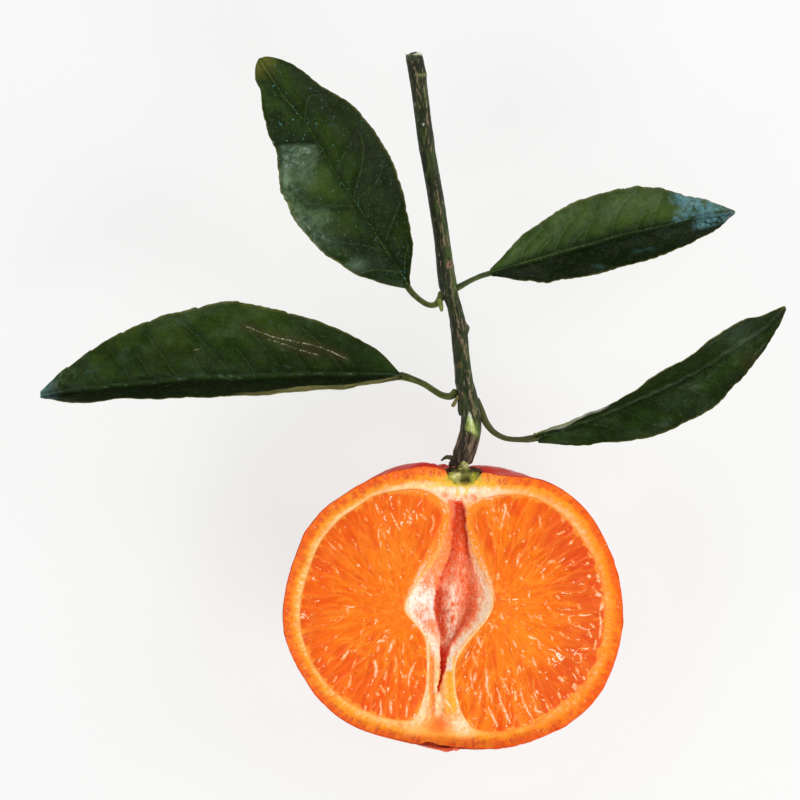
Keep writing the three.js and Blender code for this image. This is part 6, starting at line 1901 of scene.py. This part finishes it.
def build_stalks():
    """The leaf stalks and what is left of two buds beside them."""
    olive, deep = srgb(92, 100, 44), srgb(48, 56, 26)
    brown = srgb(78, 76, 38)
    parts = []

    def stalk(name, points, half, node_name, base=olive, dark=deep, seed=800, sides=20):
        path = picture_path(points, 70)
        h = through(half, np.linspace(0, 1, 70)) * SCALE
        parts.append((loft(name, path, h, h * 0.95, sides, detail=stalk_detail(seed, base, dark, 1)), node_name))
    stalk("stalk_upper_left", [(406, 283, -.9), (410, 290, -.9), (416, 296.5, -.9), (423, 302, -1), (430, 305, -1), (436, 304, -1), (440, 299, -1.2), (442, 293, -1.4)],
          [3.0, 3.0, 2.8, 2.7, 2.7, 2.9, 3.6, 4.0], "leaf_upper_left", seed=810)
    stalk("stalk_left", [(400.5, 375.8, -1.0), (407, 377.2, -.9), (416, 380.5, -.9), (425, 384.5, -.8), (434, 390.5, -.8), (442, 395, -.8), (450, 396.2, -.9), (456, 392, -1.2)],
          [4.2, 3.5, 3.0, 3.0, 3.0, 3.1, 3.4, 4.2], "leaf_left", seed=820)
    stalk("stalk_upper_right", [(494, 272.3, -.7), (489, 273.6, -.7), (480, 276.4, -.7), (470, 281, -.8), (461, 286, -.9), (455, 289, -1.2)],
          [2.8, 2.5, 2.4, 2.5, 2.9, 3.4], "leaf_upper_right", base=srgb(80, 92, 44), dark=srgb(44, 54, 28), seed=830)
    stalk("stalk_lower_right", [(539, 437.2, -.9), (534, 438.3, -.8), (526, 439.4, -.8), (516, 439.6, -.8), (506, 438.4, -.8), (497, 434.5, -.8), (490, 428.5, -.8), (484.5, 420, -.9), (480.5, 409, -1.2), (477, 399, -1.5)],
          [3.6, 3.4, 2.6, 2.5, 2.6, 2.9, 3.3, 3.6, 3.2, 2.4], "leaf_lower_right", base=brown, dark=srgb(64, 66, 36), seed=840)
    stalk("joint_lower_right", [(538.5, 440, -.8), (536, 437, -.6), (534.5, 433.6, -.5)], [1.6, 2.3, 1.2], "leaf_lower_right", base=brown, dark=deep, seed=845, sides=14)
    stalk("bud_upper", [(439.6, 299.5, -.3), (440.6, 304, 0), (441.4, 308, .1), (441.8, 311, 0)], [2.2, 2.5, 2.3, 1.4], "twig", base=srgb(136, 146, 74), dark=srgb(88, 96, 46), seed=850, sides=16)
    stalk("bud_left", [(458.5, 396, -.2), (456.3, 400, 0), (454.3, 403.6, .1), (452.6, 406, .1)], [1.7, 1.8, 2.0, 1.9], "twig", base=srgb(126, 116, 72), dark=srgb(84, 76, 48), seed=860, sides=14)
    stalk("scale_left", [(460.8, 399, -.2), (460.2, 405, 0), (460.0, 410.5, 0), (460.6, 415, -.1)], [2.2, 2.5, 2.3, 1.6], "twig", base=srgb(62, 70, 40), dark=srgb(40, 42, 28), seed=870, sides=14)
    return parts


# ---------------------------------------------------------------- the twig
TWIG_ROWS = [
    # picture row, left and right edge there, height of the axis over the cut face less 1.4 mm
    (461, 453.2, 472.0, 0), (457, 453.0, 473.8, 0), (452, 453.4, 475.6, .05), (447.5, 454.6, 477.0, .1), (442, 456.2, 478.6, .2),
    (437, 457.8, 479.8, .3), (431, 459.6, 481.0, .35), (424, 460.8, 481.4, .4), (416, 461.0, 480.8, .5), (408, 460.4, 479.6, .6),
    (400, 459.2, 478.4, .7), (392, 456.8, 476.6, .8), (382, 454.8, 473.4, .9), (366, 454.0, 470.8, .9), (350, 452.6, 469.0, .9),
    (334, 451.0, 467.6, .8), (318, 449.2, 464.8, .75), (306, 446.8, 461.8, .7), (296, 442.6, 459.0, .7), (286, 438.8, 457.0, .65),
    (270, 436.8, 454.4, .6), (246, 434.8, 450.8, .6), (222, 431.4, 447.4, .75), (198, 428.0, 444.0, .9), (174, 423.6, 439.6, 1.1),
    (150, 419.2, 435.2, 1.4), (126, 415.8, 432.0, 1.8), (102, 412.8, 429.2, 2.2), (84, 410.2, 427.0, 2.6), (74, 408.4, 426.6, 2.8),
    (66, 407.0, 424.8, 3.0), (60, 406.0, 423.6, 3.2), (56.5, 405.4, 422.8, 3.35),
]


def twig_detail(rows):
    def detail(i, angle, points):
        py, cx, half = rows
        y = np.interp(i, np.arange(len(py)), py)
        u = np.cos(np.radians(angle))
        px = np.interp(i, np.arange(len(py)), cx) + u * np.interp(i, np.arange(len(py)), half)
        top = np.sin(np.radians(angle)) > -0.15
        a = np.radians(angle)
        ca, sa = np.cos(a) * 1.5, np.sin(a) * 1.5
        low = smooth(430, 436, y)                       # the old bark next to the fruit
        grain = fbm(ca * 2.2, sa * 2.2, y * 0.035, seed=900, octaves=4)
        fine = fbm(ca * 6, sa * 6, y * 0.16, seed=903, octaves=3)
        crack = fbm(ca * 3.2, sa * 3.2, y * 0.03, seed=906, octaves=3)
        c = mix(srgb(46, 53, 29), srgb(26, 31, 18), np.clip(0.5 + 1.1 * grain, 0, 1))
        c = mix(c, srgb(70, 94, 34), np.clip(0.75 * smooth(0.05, 0.6, u) * (bump(y, 262, 30) + 0.35 * bump(y, 365, 32)) * (0.8 + grain), 0, 0.8))
        c = mix(c, srgb(36, 40, 30), 0.55 * smooth(-0.1, -0.75, u))
        c = c * (1 - 0.18 * smooth(150, 100, y))[..., None]
        # corky pinkish flecks, drawn out along the twig
        f1, f2, fu, fv, fk1, fk2 = cells(ca * 2.6 + sa * 2.2 + 0.3 * noise(y * 0.05, 1, seed=9), y / 17.0, seed=910, jitter=0.95)
        fleck = (1 - smooth(0.10, 0.26, np.abs(fu) + 0.12 * fine)) * (1 - smooth(0.28, 0.46, np.abs(fv)))
        fleck = fleck * (rnd(fk1, fk2, 1, 3) > 0.72) * smooth(-0.3, 0.4, u + 0.2) * smooth(-0.3, 0.2, fine + 0.1)
        c = mix(c, srgb(140, 116, 92), 0.62 * fleck)
        # long cracks with pale edges on the side that faces the picture's right
        for x0, y0, x1, y1, w in ((412.5, 60, 416.5, 74, 1.2), (417, 76, 420, 100, 1.0), (424.5, 88, 427, 108, 1.1), (424, 120, 431, 152, .8),
                                  (450.5, 268, 452, 284, 1.1), (452, 296, 458, 322, 1.0), (458, 322, 462, 346, 1.2), (462, 340, 467, 360, 1.3),
                                  (468, 372, 471, 392, 1.1), (470, 392, 475, 414, 1.1), (457, 384, 460, 398, .9), (473, 410, 477, 425, 1.0),
                                  (436, 186, 441, 214, .8), (441, 222, 445, 246, .8)):
            k = np.clip((y - y0) / (y1 - y0), 0, 1)
            line = np.exp(-((px - x0 - (x1 - x0) * k - 0.7 * noise(y * 0.3, x0)) / (0.55 * w)) ** 2) * (y > y0 - 1) * (y < y1 + 1) * top
            c = mix(c, srgb(176, 148, 116), 0.62 * line * smooth(-0.3, 0.2, fine + 0.1))
        out = 0.07 * grain + 0.05 * fine + 0.07 * fleck - 0.05 * smooth(0.25, 0.6, crack)
        # old bark: deep grey-brown ridges
        ridge = fbm(ca * 5.2, sa * 5.2, y * 0.05, seed=920, octaves=3)
        bark = mix(srgb(34, 28, 20), srgb(122, 98, 76), np.clip(0.36 + 1.8 * ridge, 0, 1))
        bark = mix(bark, srgb(52, 44, 34), 0.6 * smooth(0.0, -0.7, u))
        c = mix(c, bark, low)
        out = out + low * (0.24 * ridge)
        # torn patch where the wood shows
        d = np.abs(px - 470.2 - 0.10 * (y - 424)) / (0.6 + 0.30 * np.clip(y - 411, 0, 20))
        torn = (1 - smooth(0.7, 1.15, d + 0.2 * fine)) * smooth(410, 413, y) * (1 - smooth(429, 433, y - 0.3 * (px - 470))) * top
        wood = mix(srgb(180, 194, 92), srgb(226, 232, 206), np.clip(smooth(424, 413, y) + 0.9 * fine + 0.5 * grain, 0, 1))
        wood = mix(wood, srgb(110, 132, 44), 0.7 * bump(px, 467.5, 1.5) * bump(y, 425, 4))
        c = mix(c, wood, 0.92 * torn)
        out = out - 0.16 * torn
        flap = bump(px, 477, 3.2) * bump(y, 430, 5.5) * top
        c = mix(c, srgb(98, 120, 44), 0.8 * flap * (1 - torn))
        out = out + 0.24 * flap
        # knots and scars
        for kx, ky, r, high, tone in ((449.6, 265.5, 3.0, .22, srgb(152, 110, 96)), (459.5, 364.5, 2.8, .16, srgb(96, 80, 44)), (468.4, 329, 3.6, .75, srgb(62, 66, 44))):
            q = np.hypot(px - kx, (y - ky) * 0.85) / r
            near = np.exp(-(q ** 2)) * (top if kx < 465 else 1.0)
            out = out + high * near
            c = mix(c, tone, 0.9 * np.exp(-(q * 1.05) ** 4) * (top if kx < 465 else 1.0))
            hole = np.exp(-((q * 2.6) ** 2)) * (top if kx < 465 else 1.0)
            c = mix(c, srgb(34, 24, 20), 0.85 * hole)
            out = out - 0.3 * hole * (kx < 465)
        notch = bump(px, 449.3, 2.6) * bump(y, 259.4, 1.1) * top
        c, out = mix(c, srgb(26, 24, 18), 0.85 * notch), out - 0.16 * notch
        ring = np.exp(-((y - 74.5 - 0.12 * (px - 417)) / 1.2) ** 2) * smooth(-0.6, 0.0, u)
        c, out = mix(c, srgb(132, 142, 84), 0.65 * ring * top), out + 0.10 * ring
        for kx, ky in ((457, 347), (453, 315), (443, 228), (421, 96), (455, 427), (437, 172)):
            dot = bump(px, kx, 1.0) * bump(y, ky, 1.2) * top
            c = mix(c, srgb(20, 18, 14), 0.8 * dot)
        glint = bump(px, 423.4, 0.9) * bump(y, 124.2, 1.0) * top
        c = mix(c, srgb(226, 232, 226), 0.85 * glint)
        return out, c
    return detail


def build_twig():
    rows = np.array(TWIG_ROWS, float)
    n = 460
    path_rows = np.column_stack([rows[:, 0], (rows[:, 1] + rows[:, 2]) / 2, (rows[:, 2] - rows[:, 1]) / 2, rows[:, 3]])
    s = np.linspace(0, 1, n)
    key = np.concatenate([[0], np.cumsum(np.abs(np.diff(path_rows[:, 0])))])
    key /= key[-1]
    even = np.linspace(0, 1, 140)
    py, cx, half, high = (through(np.interp(even, key, path_rows[:, k]), s) for k in range(4))
    z = high - 1.4
    x, y = at(cx, py)
    x, y = drawn_in(x, y, z)
    path = np.stack([x, y, CUT + z], 1)
    lean = np.abs(np.gradient(cx, py))
    r = half * SCALE / np.sqrt(1 + lean ** 2)
    deep = r * np.interp(py, [0, 430, 461], [1, 1, 0.86])
    ob = loft("twig_rod", path, r, deep, 60, detail=twig_detail((py, cx, half)), ends=3)
    add_streaks(ob)
    return ob


def add_streaks(ob):
    """Keeps how far each point of the twig lies below its broken end, for the looks of old and young bark."""
    co = np.empty(len(ob.data.vertices) * 3, np.float32)
    ob.data.vertices.foreach_get("co", co)
    row = CY - co.reshape(-1, 3)[:, 1] / MM / SCALE
    old = smooth(428, 437, row)
    ob.data.attributes.new("Old", "FLOAT", "POINT").data.foreach_set("value", old.astype(np.float32))


def build_twig_top():
    """The broken end: pale wood with a torn rim, higher on its right."""
    rows, sides = 12, 48
    a = np.linspace(0, 2 * np.pi, sides, endpoint=False)
    x0, y0 = at(414.2, 56.6)
    x0, y0 = drawn_in(x0, y0, 1.95)
    z0 = CUT + 1.95
    r = 1.66
    points, tones = [], []
    for k in range(rows):
        f = k / (rows - 1)
        rr = r * (0.985 - 0.0 * f)
        u = np.cos(a)
        tear = 0.16 * noise(np.cos(a) * 3, np.sin(a) * 3, seed=940) + 0.10 * noise(np.cos(a) * 8, np.sin(a) * 8, seed=941)
        high = 0.32 + 0.42 * smooth(-0.5, 0.9, u) + tear
        y = -0.9 + f * (0.9 + high)
        points.append(np.stack([x0 + rr * u - 0.02 * y, y0 + y + 0 * u, z0 + rr * np.sin(a)], 1))
        bark = mix(srgb(56, 62, 42), srgb(120, 112, 84), smooth(0.72, 1.0, f))
        tones.append(mix(np.broadcast_to(bark, (sides, 3)), srgb(206, 208, 180), smooth(0.62, 0.92, f) * smooth(-0.25, 0.35, u)))
    rim = points[-1]
    rings = 9
    for k in range(1, rings):
        f = 1 - k / rings
        u, w = np.cos(a) * f, np.sin(a) * f
        fibre = 0.20 * noise(u * 5, w * 5, seed=942) + 0.08 * noise(u * 14, w * 14, seed=943)
        high = (0.20 + 0.42 * smooth(-0.5, 0.9, u)) * 0.9 + fibre - 0.10 * (1 - f)
        points.append(np.stack([x0 + r * u - 0.02 * high, y0 + high, z0 + r * w], 1))
        c = mix(np.broadcast_to(srgb(196, 192, 160), (sides, 3)), srgb(230, 230, 210), np.clip(0.5 + fibre * 3, 0, 1))
        c = mix(c, srgb(96, 88, 62), 0.75 * smooth(0.1, -0.6, u))
        c = mix(c, srgb(150, 160, 110), 0.5 * np.exp(-(f / 0.2) ** 2))
        tones.append(c)
    co = np.concatenate(points)
    n = len(points)
    faces = grid_faces(n, sides, wrap=True)
    u = (np.arange(sides) / sides)
    uvx = np.tile(u * 0.97, n)
    uvy = np.repeat(np.linspace(0.03, 1, n), sides)
    uv = np.stack([uvx[faces], uvy[faces]], -1)
    wrapped = (faces % sides == 0) & (faces[:, :1] % sides == sides - 1)
    uv[..., 0] = np.where(wrapped, 0.97, uv[..., 0])
    ob = make("twig_end", co, faces, ngons=[np.arange(sides)[::-1], (n - 1) * sides + np.arange(sides)], colour=np.concatenate(tones),
              uv=np.vstack([uv.reshape(-1, 2), np.full((2 * sides, 2), 0.985)]))
    clean(ob)
    return ob


def bark_material():
    m, nodes, links, shader = material("bark", 0.5, specular=0.15)
    place = place_nodes(nodes)
    stretch = node(nodes, "ShaderNodeMapping")
    stretch.inputs["Rotation"].default_value = (0, 0, 0.11)
    stretch.inputs["Scale"].default_value = (1.0, 0.16, 1.0)
    links.new(place, stretch.inputs["Vector"])
    long = stretch.outputs[0]
    c = mottled(nodes, links, tint_nodes(nodes, links).outputs["Color"], long, 0.5, 0.30, 5.0, 0.06)
    c = mottled(nodes, links, c, place, 0.3, 0.16, 4.0)
    # thin corky cracks and green skin between them, drawn out along the twig
    cork = spread(nodes, links, noise_of(nodes, links, long, 0.42, 3.0), 0.60, 0.68, 0.0, 0.75)
    c = over(nodes, links, c, srgb(150, 126, 100), cork)
    young = spread(nodes, links, tint_nodes(nodes, links, "Old").outputs["Fac"], 0, 1, 0.45, 0.0)
    green = spread(nodes, links, noise_of(nodes, links, long, 0.9, 3.0), 0.52, 0.64)
    c = over(nodes, links, c, srgb(78, 98, 42), times(nodes, links, green, young))
    dark = spread(nodes, links, noise_of(nodes, links, long, 0.30, 3.0), 0.42, 0.34, 0.0, 0.7)
    c = over(nodes, links, c, srgb(20, 18, 14), dark)
    links.new(c, shader.inputs["Base Color"])
    bumped(nodes, links, shader, long, [(0.45, 0.12, 5.0), (0.15, 0.04, 3.0)])
    rough_by(nodes, links, shader, place, 0.8, 0.38, 0.62)
    return m


# ---------------------------------------------------------------- the button where the fruit hung
def build_button():
    """The cut button and its neck: a half round body whose cut face lies level."""
    rows, across, below = 64, 60, 22
    py = np.linspace(485.6, 459.2, rows)
    left = np.interp(py, [459, 463, 467, 469.6, 470.8, 473, 478, 483, 486], [461.4, 459.8, 458.6, 457.2, 450.2, 447.8, 447.8, 450.2, 455.5])
    right = np.interp(py, [459, 463, 467, 469.6, 470.8, 473, 478, 483, 486], [466.6, 468.4, 469.4, 470.4, 476.8, 479.2, 479.4, 476.6, 471.0])
    tops, cols = [], []
    s = np.linspace(-1, 1, across)
    for k in range(rows):
        y0 = py[k]
        wob = 0.5 * noise(y0 * 0.45, 5)
        l, r = left[k] + wob, right[k] + 0.5 * noise(y0 * 0.5, 9)
        px = (l + r) / 2 + (r - l) / 2 * s
        x, y = at(px, np.full(across, y0))
        neck = smooth(470, 466, y0)
        f = fbm(x * 1.6, y * 1.6, seed=950, octaves=4)
        fine = fbm(x * 5, y * 5, seed=953)
        dome = np.sqrt(np.clip(1 - s * s, 0, 1))
        h = 0.10 + 0.10 * f + 0.06 * fine - 0.20 * (1 - dome) + neck * (-0.75 + 0.8 * dome)
        speck = fbm(x * 7, y * 7, seed=954)
        c = mix(np.broadcast_to(srgb(136, 136, 44), (across, 3)), srgb(196, 190, 96), np.clip(0.45 + 2.4 * f, 0, 1))
        c = mix(c, srgb(238, 228, 174), 0.9 * bump(px, 457.5, 5.0) * bump(y0, 476.0, 5.0) * np.clip(0.55 + 2.4 * speck + f, 0, 1))
        c = mix(c, srgb(152, 156, 34), 0.75 * bump(px, 450.6, 2.4) * bump(y0, 480, 4.0))
        # dark spongy middle, lime on the right
        upper = smooth(459.5, 462, px) * (1 - smooth(470, 472.5, px)) * (1 - smooth(476, 479, y0))
        c = mix(c, mix(srgb(104, 106, 50), srgb(140, 138, 84), np.clip(0.5 + 1.8 * speck, 0, 1)), 0.85 * upper)
        middle = bump(px, 465.5, 5.6) * bump(y0, 480.4, 4.6)
        c = mix(c, srgb(84, 78, 28), np.clip(1.5 * middle * (0.9 + 0.8 * f), 0, 1))
        c = mix(c, srgb(34, 30, 12), np.clip(1.3 * middle * smooth(0.0, 0.3, fine + 0.4 * speck), 0, 1))
        c = mix(c, srgb(188, 118, 34), 0.8 * bump(px, 465, 5) * bump(y0, 484, 1.6) * smooth(0.0, 0.3, speck))
        h = h - 0.20 * middle * (0.5 + 0.9 * fine)
        c = mix(c, srgb(176, 166, 44), 0.8 * bump(px, 474.0, 2.2) * bump(y0, 478, 6) * np.clip(0.9 + fine, 0, 1))
        c = mix(c, srgb(70, 76, 22), 0.8 * bump(px, 477.6, 1.6) * bump(y0, 476, 4))
        c = mix(c, srgb(226, 186, 62), 0.85 * smooth(481.8, 485.0, y0 + 0.8 * f) * np.ones(across) * (1 - 0.7 * bump(px, 465, 5)))
        c = mix(c, srgb(40, 32, 12), np.clip(1.15 * bump(y0, 471.0, 2.2) * np.clip(0.85 + 1.2 * fine, 0, 1) * smooth(450, 456, px), 0, 0.95))
        c = mix(c, srgb(66, 58, 26), 0.7 * smooth(0.84, 0.98, np.abs(s)) * (1 - smooth(475, 479, y0)))
        brown = np.clip(0.35 + 1.8 * fine + 0.14 * (461.5 - px), 0, 1)
        c = mix(c, mix(np.broadcast_to(srgb(166, 160, 104), (across, 3)), srgb(88, 66, 32), brown), neck)
        c = mix(c, srgb(104, 108, 34), 0.5 * smooth(0.05, 0.4, fbm(x * 3, np.full(across, y[0]) * 3, seed=957)))
        tops.append(np.stack([x, y, CUT + h], 1))
        cols.append(c)
    lower, low_cols = [], []
    w = np.linspace(np.pi, 0, below + 2)[1:-1]
    for k in range(rows):
        a, b = tops[k][0], tops[k][-1]
        mid, half = (a + b) / 2, (b[0] - a[0]) / 2
        deep = half * (0.95 if py[k] < 470 else 1.0)
        x = mid[0] - half * np.cos(w)[::-1] * -1
        z = mid[2] - deep * np.sin(w)
        x = mid[0] + half * np.cos(w[::-1])
        lower.append(np.stack([x[::1], np.full(below, mid[1]), z[::-1]], 1))
        g = fbm(x, np.full(below, mid[1]), z * 0.8, seed=955)
        low_cols.append(mix(np.broadcast_to(srgb(112, 108, 58), (below, 3)), srgb(74, 70, 40), np.clip(0.5 + g, 0, 1)))
    ring = np.concatenate([np.array(tops), np.array(lower)], 1)
    around = across + below
    tone = np.concatenate([np.array(cols), np.array(low_cols)], 1)
    faces = grid_faces(rows, around, wrap=True)
    co = ring.reshape(-1, 3)
    u = np.concatenate([np.linspace(0, 0.7, across), np.linspace(0.72, 0.98, below)])
    v = np.linspace(0, 1, rows)
    uv = np.stack([np.tile(u, rows)[faces], np.repeat(v, around)[faces]], -1)
    wrapped = (faces % around == 0) & (faces[:, :1] % around == around - 1)
    uv[..., 0] = np.where(wrapped, 0.995, uv[..., 0])
    ob = make("button", co, faces, ngons=[np.arange(around)[::-1], (rows - 1) * around + np.arange(around)], colour=tone.reshape(-1, 3),
              uv=np.vstack([uv.reshape(-1, 2), np.full((2 * around, 2), 0.99)]))
    clean(ob)
    return ob


def build_sepals():
    parts = []

    def sepal(name, points, wide, thick, seed, base, dark, up=(0, 0, 1), sides=18):
        path = picture_path(points, 40)
        w = through(wide, np.linspace(0, 1, 40)) * SCALE

        def detail(i, angle, p):
            g = fbm(p[..., 0] * 1.8, p[..., 1] * 1.8, p[..., 2] * 1.8, seed=seed, octaves=3)
            c = mix(np.broadcast_to(base, p.shape), dark, np.clip(0.5 + 1.3 * g, 0, 1))
            return 0.10 * g, c
        parts.append(loft(name, path, w, thick, sides, up=up, detail=detail, ends=3))
    olive, dark = srgb(92, 84, 44), srgb(44, 38, 24)
    # a dry lobe that sticks out to the left, with the dark clump below it
    sepal("sepal_tip", [(456, 459.5, -1.0), (451, 457.6, -.6), (446.5, 457.2, -.4), (443.5, 458.6, -.5), (441.4, 460.6, -.7)], [2.6, 2.6, 2.2, 1.5, .6], 0.22, 960, srgb(66, 68, 38), dark)
    sepal("sepal_clump", [(463, 461.0, -1.6), (457, 462.0, -1.1), (452.5, 463.4, -1.0), (450.0, 465.8, -1.2)], [3.6, 4.4, 3.9, 2.0], 0.55, 965, srgb(58, 44, 34), srgb(34, 26, 22))
    sepal("sepal_middle", [(458, 466.6, -.9), (461, 467.4, -.7), (465, 468.2, -.7), (470, 468.4, -.9)], [2.0, 2.6, 2.6, 1.6], 0.35, 968, srgb(118, 116, 66), srgb(66, 60, 36))
    # rim lobes pressed on the fruit at both sides
    sepal("sepal_left", [(458.5, 469.4, -.9), (452.5, 469.8, -.3), (446.5, 470.4, -.35), (442.0, 470.6, -.8)], [2.6, 2.6, 2.2, 1.0], 0.36, 970, srgb(58, 46, 26), srgb(30, 22, 14))
    sepal("sepal_right", [(468, 469.4, -.9), (473, 469.6, -.35), (478.0, 470.6, -.35), (482.4, 472.4, -.8)], [2.2, 2.3, 2.2, .9], 0.36, 975, srgb(66, 50, 30), srgb(34, 26, 16))
    # lobes behind, on the whole side of the fruit
    sepal("sepal_back_left", [(461, 471, -4.0), (456, 471.6, -4.9), (451, 473.2, -5.6)], [4.0, 4.2, 1.6], 0.34, 980, olive, dark, up=(0, 1, .4))
    sepal("sepal_back_right", [(467, 471, -3.6), (472, 471.6, -4.2), (477, 473.2, -4.7)], [4.0, 4.2, 1.6], 0.34, 985, olive, dark, up=(0, 1, .4))
    sepal("sepal_back", [(464, 471, -3.6), (464, 472.2, -5.4), (464, 474.6, -6.4)], [4.2, 4.4, 1.6], 0.34, 990, olive, dark, up=(0, 1, 0))
    return parts


def button_material():
    m, nodes, links, shader = material("button", 0.6, specular=0.1)
    place = place_nodes(nodes)
    c = mottled(nodes, links, tint_nodes(nodes, links).outputs["Color"], place, 0.3, 0.16, 5.0)
    links.new(c, shader.inputs["Base Color"])
    bumped(nodes, links, shader, place, [(0.5, 0.09, 5.0), (0.15, 0.03, 3.0)])
    rough_by(nodes, links, shader, place, 0.8, 0.4, 0.7)
    return m


# ---------------------------------------------------------------- camera, floor and light
def build_camera():
    cam = bpy.data.cameras.new("camera")
    cam.lens = LENS
    cam.sensor_width = 36.0
    cam.clip_start, cam.clip_end = 0.05, 20.0
    ob = bpy.data.objects.new("camera", cam)
    ob.location = (MID_X * MM, MID_Y * MM, (CUT + DISTANCE) * MM)
    bpy.context.scene.collection.objects.link(ob)
    bpy.context.scene.camera = ob


def build_floor():
    ob = make("floor", [(-3000, -3000, 0), (3000, -3000, 0), (3000, 3000, 0), (-3000, 3000, 0)], [(0, 1, 2, 3)])
    m = bpy.data.materials.new("floor")
    m.use_nodes = True
    shader = m.node_tree.nodes["Principled BSDF"]
    shader.inputs["Base Color"].default_value = (0.243, 0.248, 0.247, 1)
    shader.inputs["Roughness"].default_value = 0.9
    shader.inputs["Specular IOR Level"].default_value = 0.0
    shader.inputs["Emission Color"].default_value = (0.985, 0.99, 0.975, 1)
    shader.inputs["Emission Strength"].default_value = 0.70
    ob.data.materials.append(m)
    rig.stage(ob)


def area(name, place, target, size, power, colour=(1, 1, 1), size_y=None):
    light = bpy.data.lights.new(name, "AREA")
    light.shape = "RECTANGLE"
    light.size, light.size_y = size, size_y or size
    light.energy = power
    light.color = colour
    ob = bpy.data.objects.new(name, light)
    ob.location = place
    ob.rotation_euler = (Vector(target) - Vector(place)).to_track_quat("-Z", "Y").to_euler()
    bpy.context.scene.collection.objects.link(ob)


def build_light():
    world = bpy.data.worlds.new("room")
    bpy.context.scene.world = world
    world.use_nodes = True
    nodes, links = world.node_tree.nodes, world.node_tree.links
    background = nodes["Background"]
    # the room is dark overhead and bright around
    place = nodes.new("ShaderNodeTexCoord")
    split = nodes.new("ShaderNodeSeparateXYZ")
    links.new(place.outputs["Generated"], split.inputs[0])
    ramp = nodes.new("ShaderNodeMapRange")
    ramp.interpolation_type = "SMOOTHSTEP"
    ramp.inputs["From Min"].default_value, ramp.inputs["From Max"].default_value = 0.35, 0.85
    ramp.inputs["To Min"].default_value, ramp.inputs["To Max"].default_value = 0.55, 0.02
    links.new(split.outputs["Z"], ramp.inputs["Value"])
    links.new(ramp.outputs[0], background.inputs["Strength"])
    background.inputs[0].default_value = (1, 1, 1, 1)
    middle = (-0.01, 0.03, 0.03)
    area("key", (0.55, -0.75, 0.80), middle, 0.8, 10.4)
    area("side", (0.95, 0.35, 0.70), middle, 0.9, 5.5)
    area("fill", (-1.0, -0.2, 0.85), middle, 1.2, 6.0)
    area("back", (-0.2, 1.1, 0.80), middle, 1.2, 6.0)
    scene = bpy.context.scene
    scene.view_settings.view_transform = "Standard"
    scene.view_settings.look = "None"
    scene.view_settings.exposure = 0.0
    scene.view_settings.gamma = 1.0


# ---------------------------------------------------------------- put together
def main():
    build_camera()
    build_floor()
    build_light()

    fruit = []
    fruit.append((build_skin(), "skin"))
    fruit.append((build_ring(), "pith"))
    flesh = flesh_material()
    left = build_segment("segment_left", LEFT_RIM, LEFT_HEART, 100, 0.122)
    right = build_segment("segment_right", RIGHT_RIM, RIGHT_HEART, 200, 0.122)
    left.data.materials.append(flesh)
    right.data.materials.append(flesh)
    fruit += [(left, "flesh"), (right, "flesh")]
    fruit.append((build_core(), "pith"))
    for ob, slot in fruit:
        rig.ride(ob, "root")
        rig.replaces(ob, "fruit_half")
        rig.slot(ob, slot)

    green, bark, knob = leaf_material(), bark_material(), button_material()
    for which in LEAVES:
        blade = build_leaf(which)
        blade.data.materials.append(green)
        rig.ride(blade, "root")
        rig.replaces(blade, "leaf_" + which)
        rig.slot(blade, "leaf")
    stem = stalk_material()
    for ob, node_name in build_stalks():
        ob.data.materials.append(stem)
        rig.ride(ob, "root")
        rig.replaces(ob, node_name)
        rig.slot(ob, "bark" if node_name == "twig" else "leaf")
    for ob in (build_twig(), build_twig_top()):
        ob.data.materials.append(bark)
        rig.ride(ob, "root")
        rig.replaces(ob, "twig")
        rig.slot(ob, "bark")
    for ob in [build_button()] + build_sepals():
        ob.data.materials.append(knob)
        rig.ride(ob, "root")
        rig.replaces(ob, "calyx")
        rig.slot(ob, "calyx")

    for ob in bpy.data.objects:
        if ob.type == "MESH" and not ob.get("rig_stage"):
            ob.data.calc_loop_triangles()
            print("piece", ob.name, len(ob.data.loop_triangles), "triangles")
    with open("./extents.json", "w") as f:
        json.dump({"cad": [list(map(float, p)) for p in cad_box], "visual": [list(map(float, p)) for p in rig.bounds()]}, f)


main()
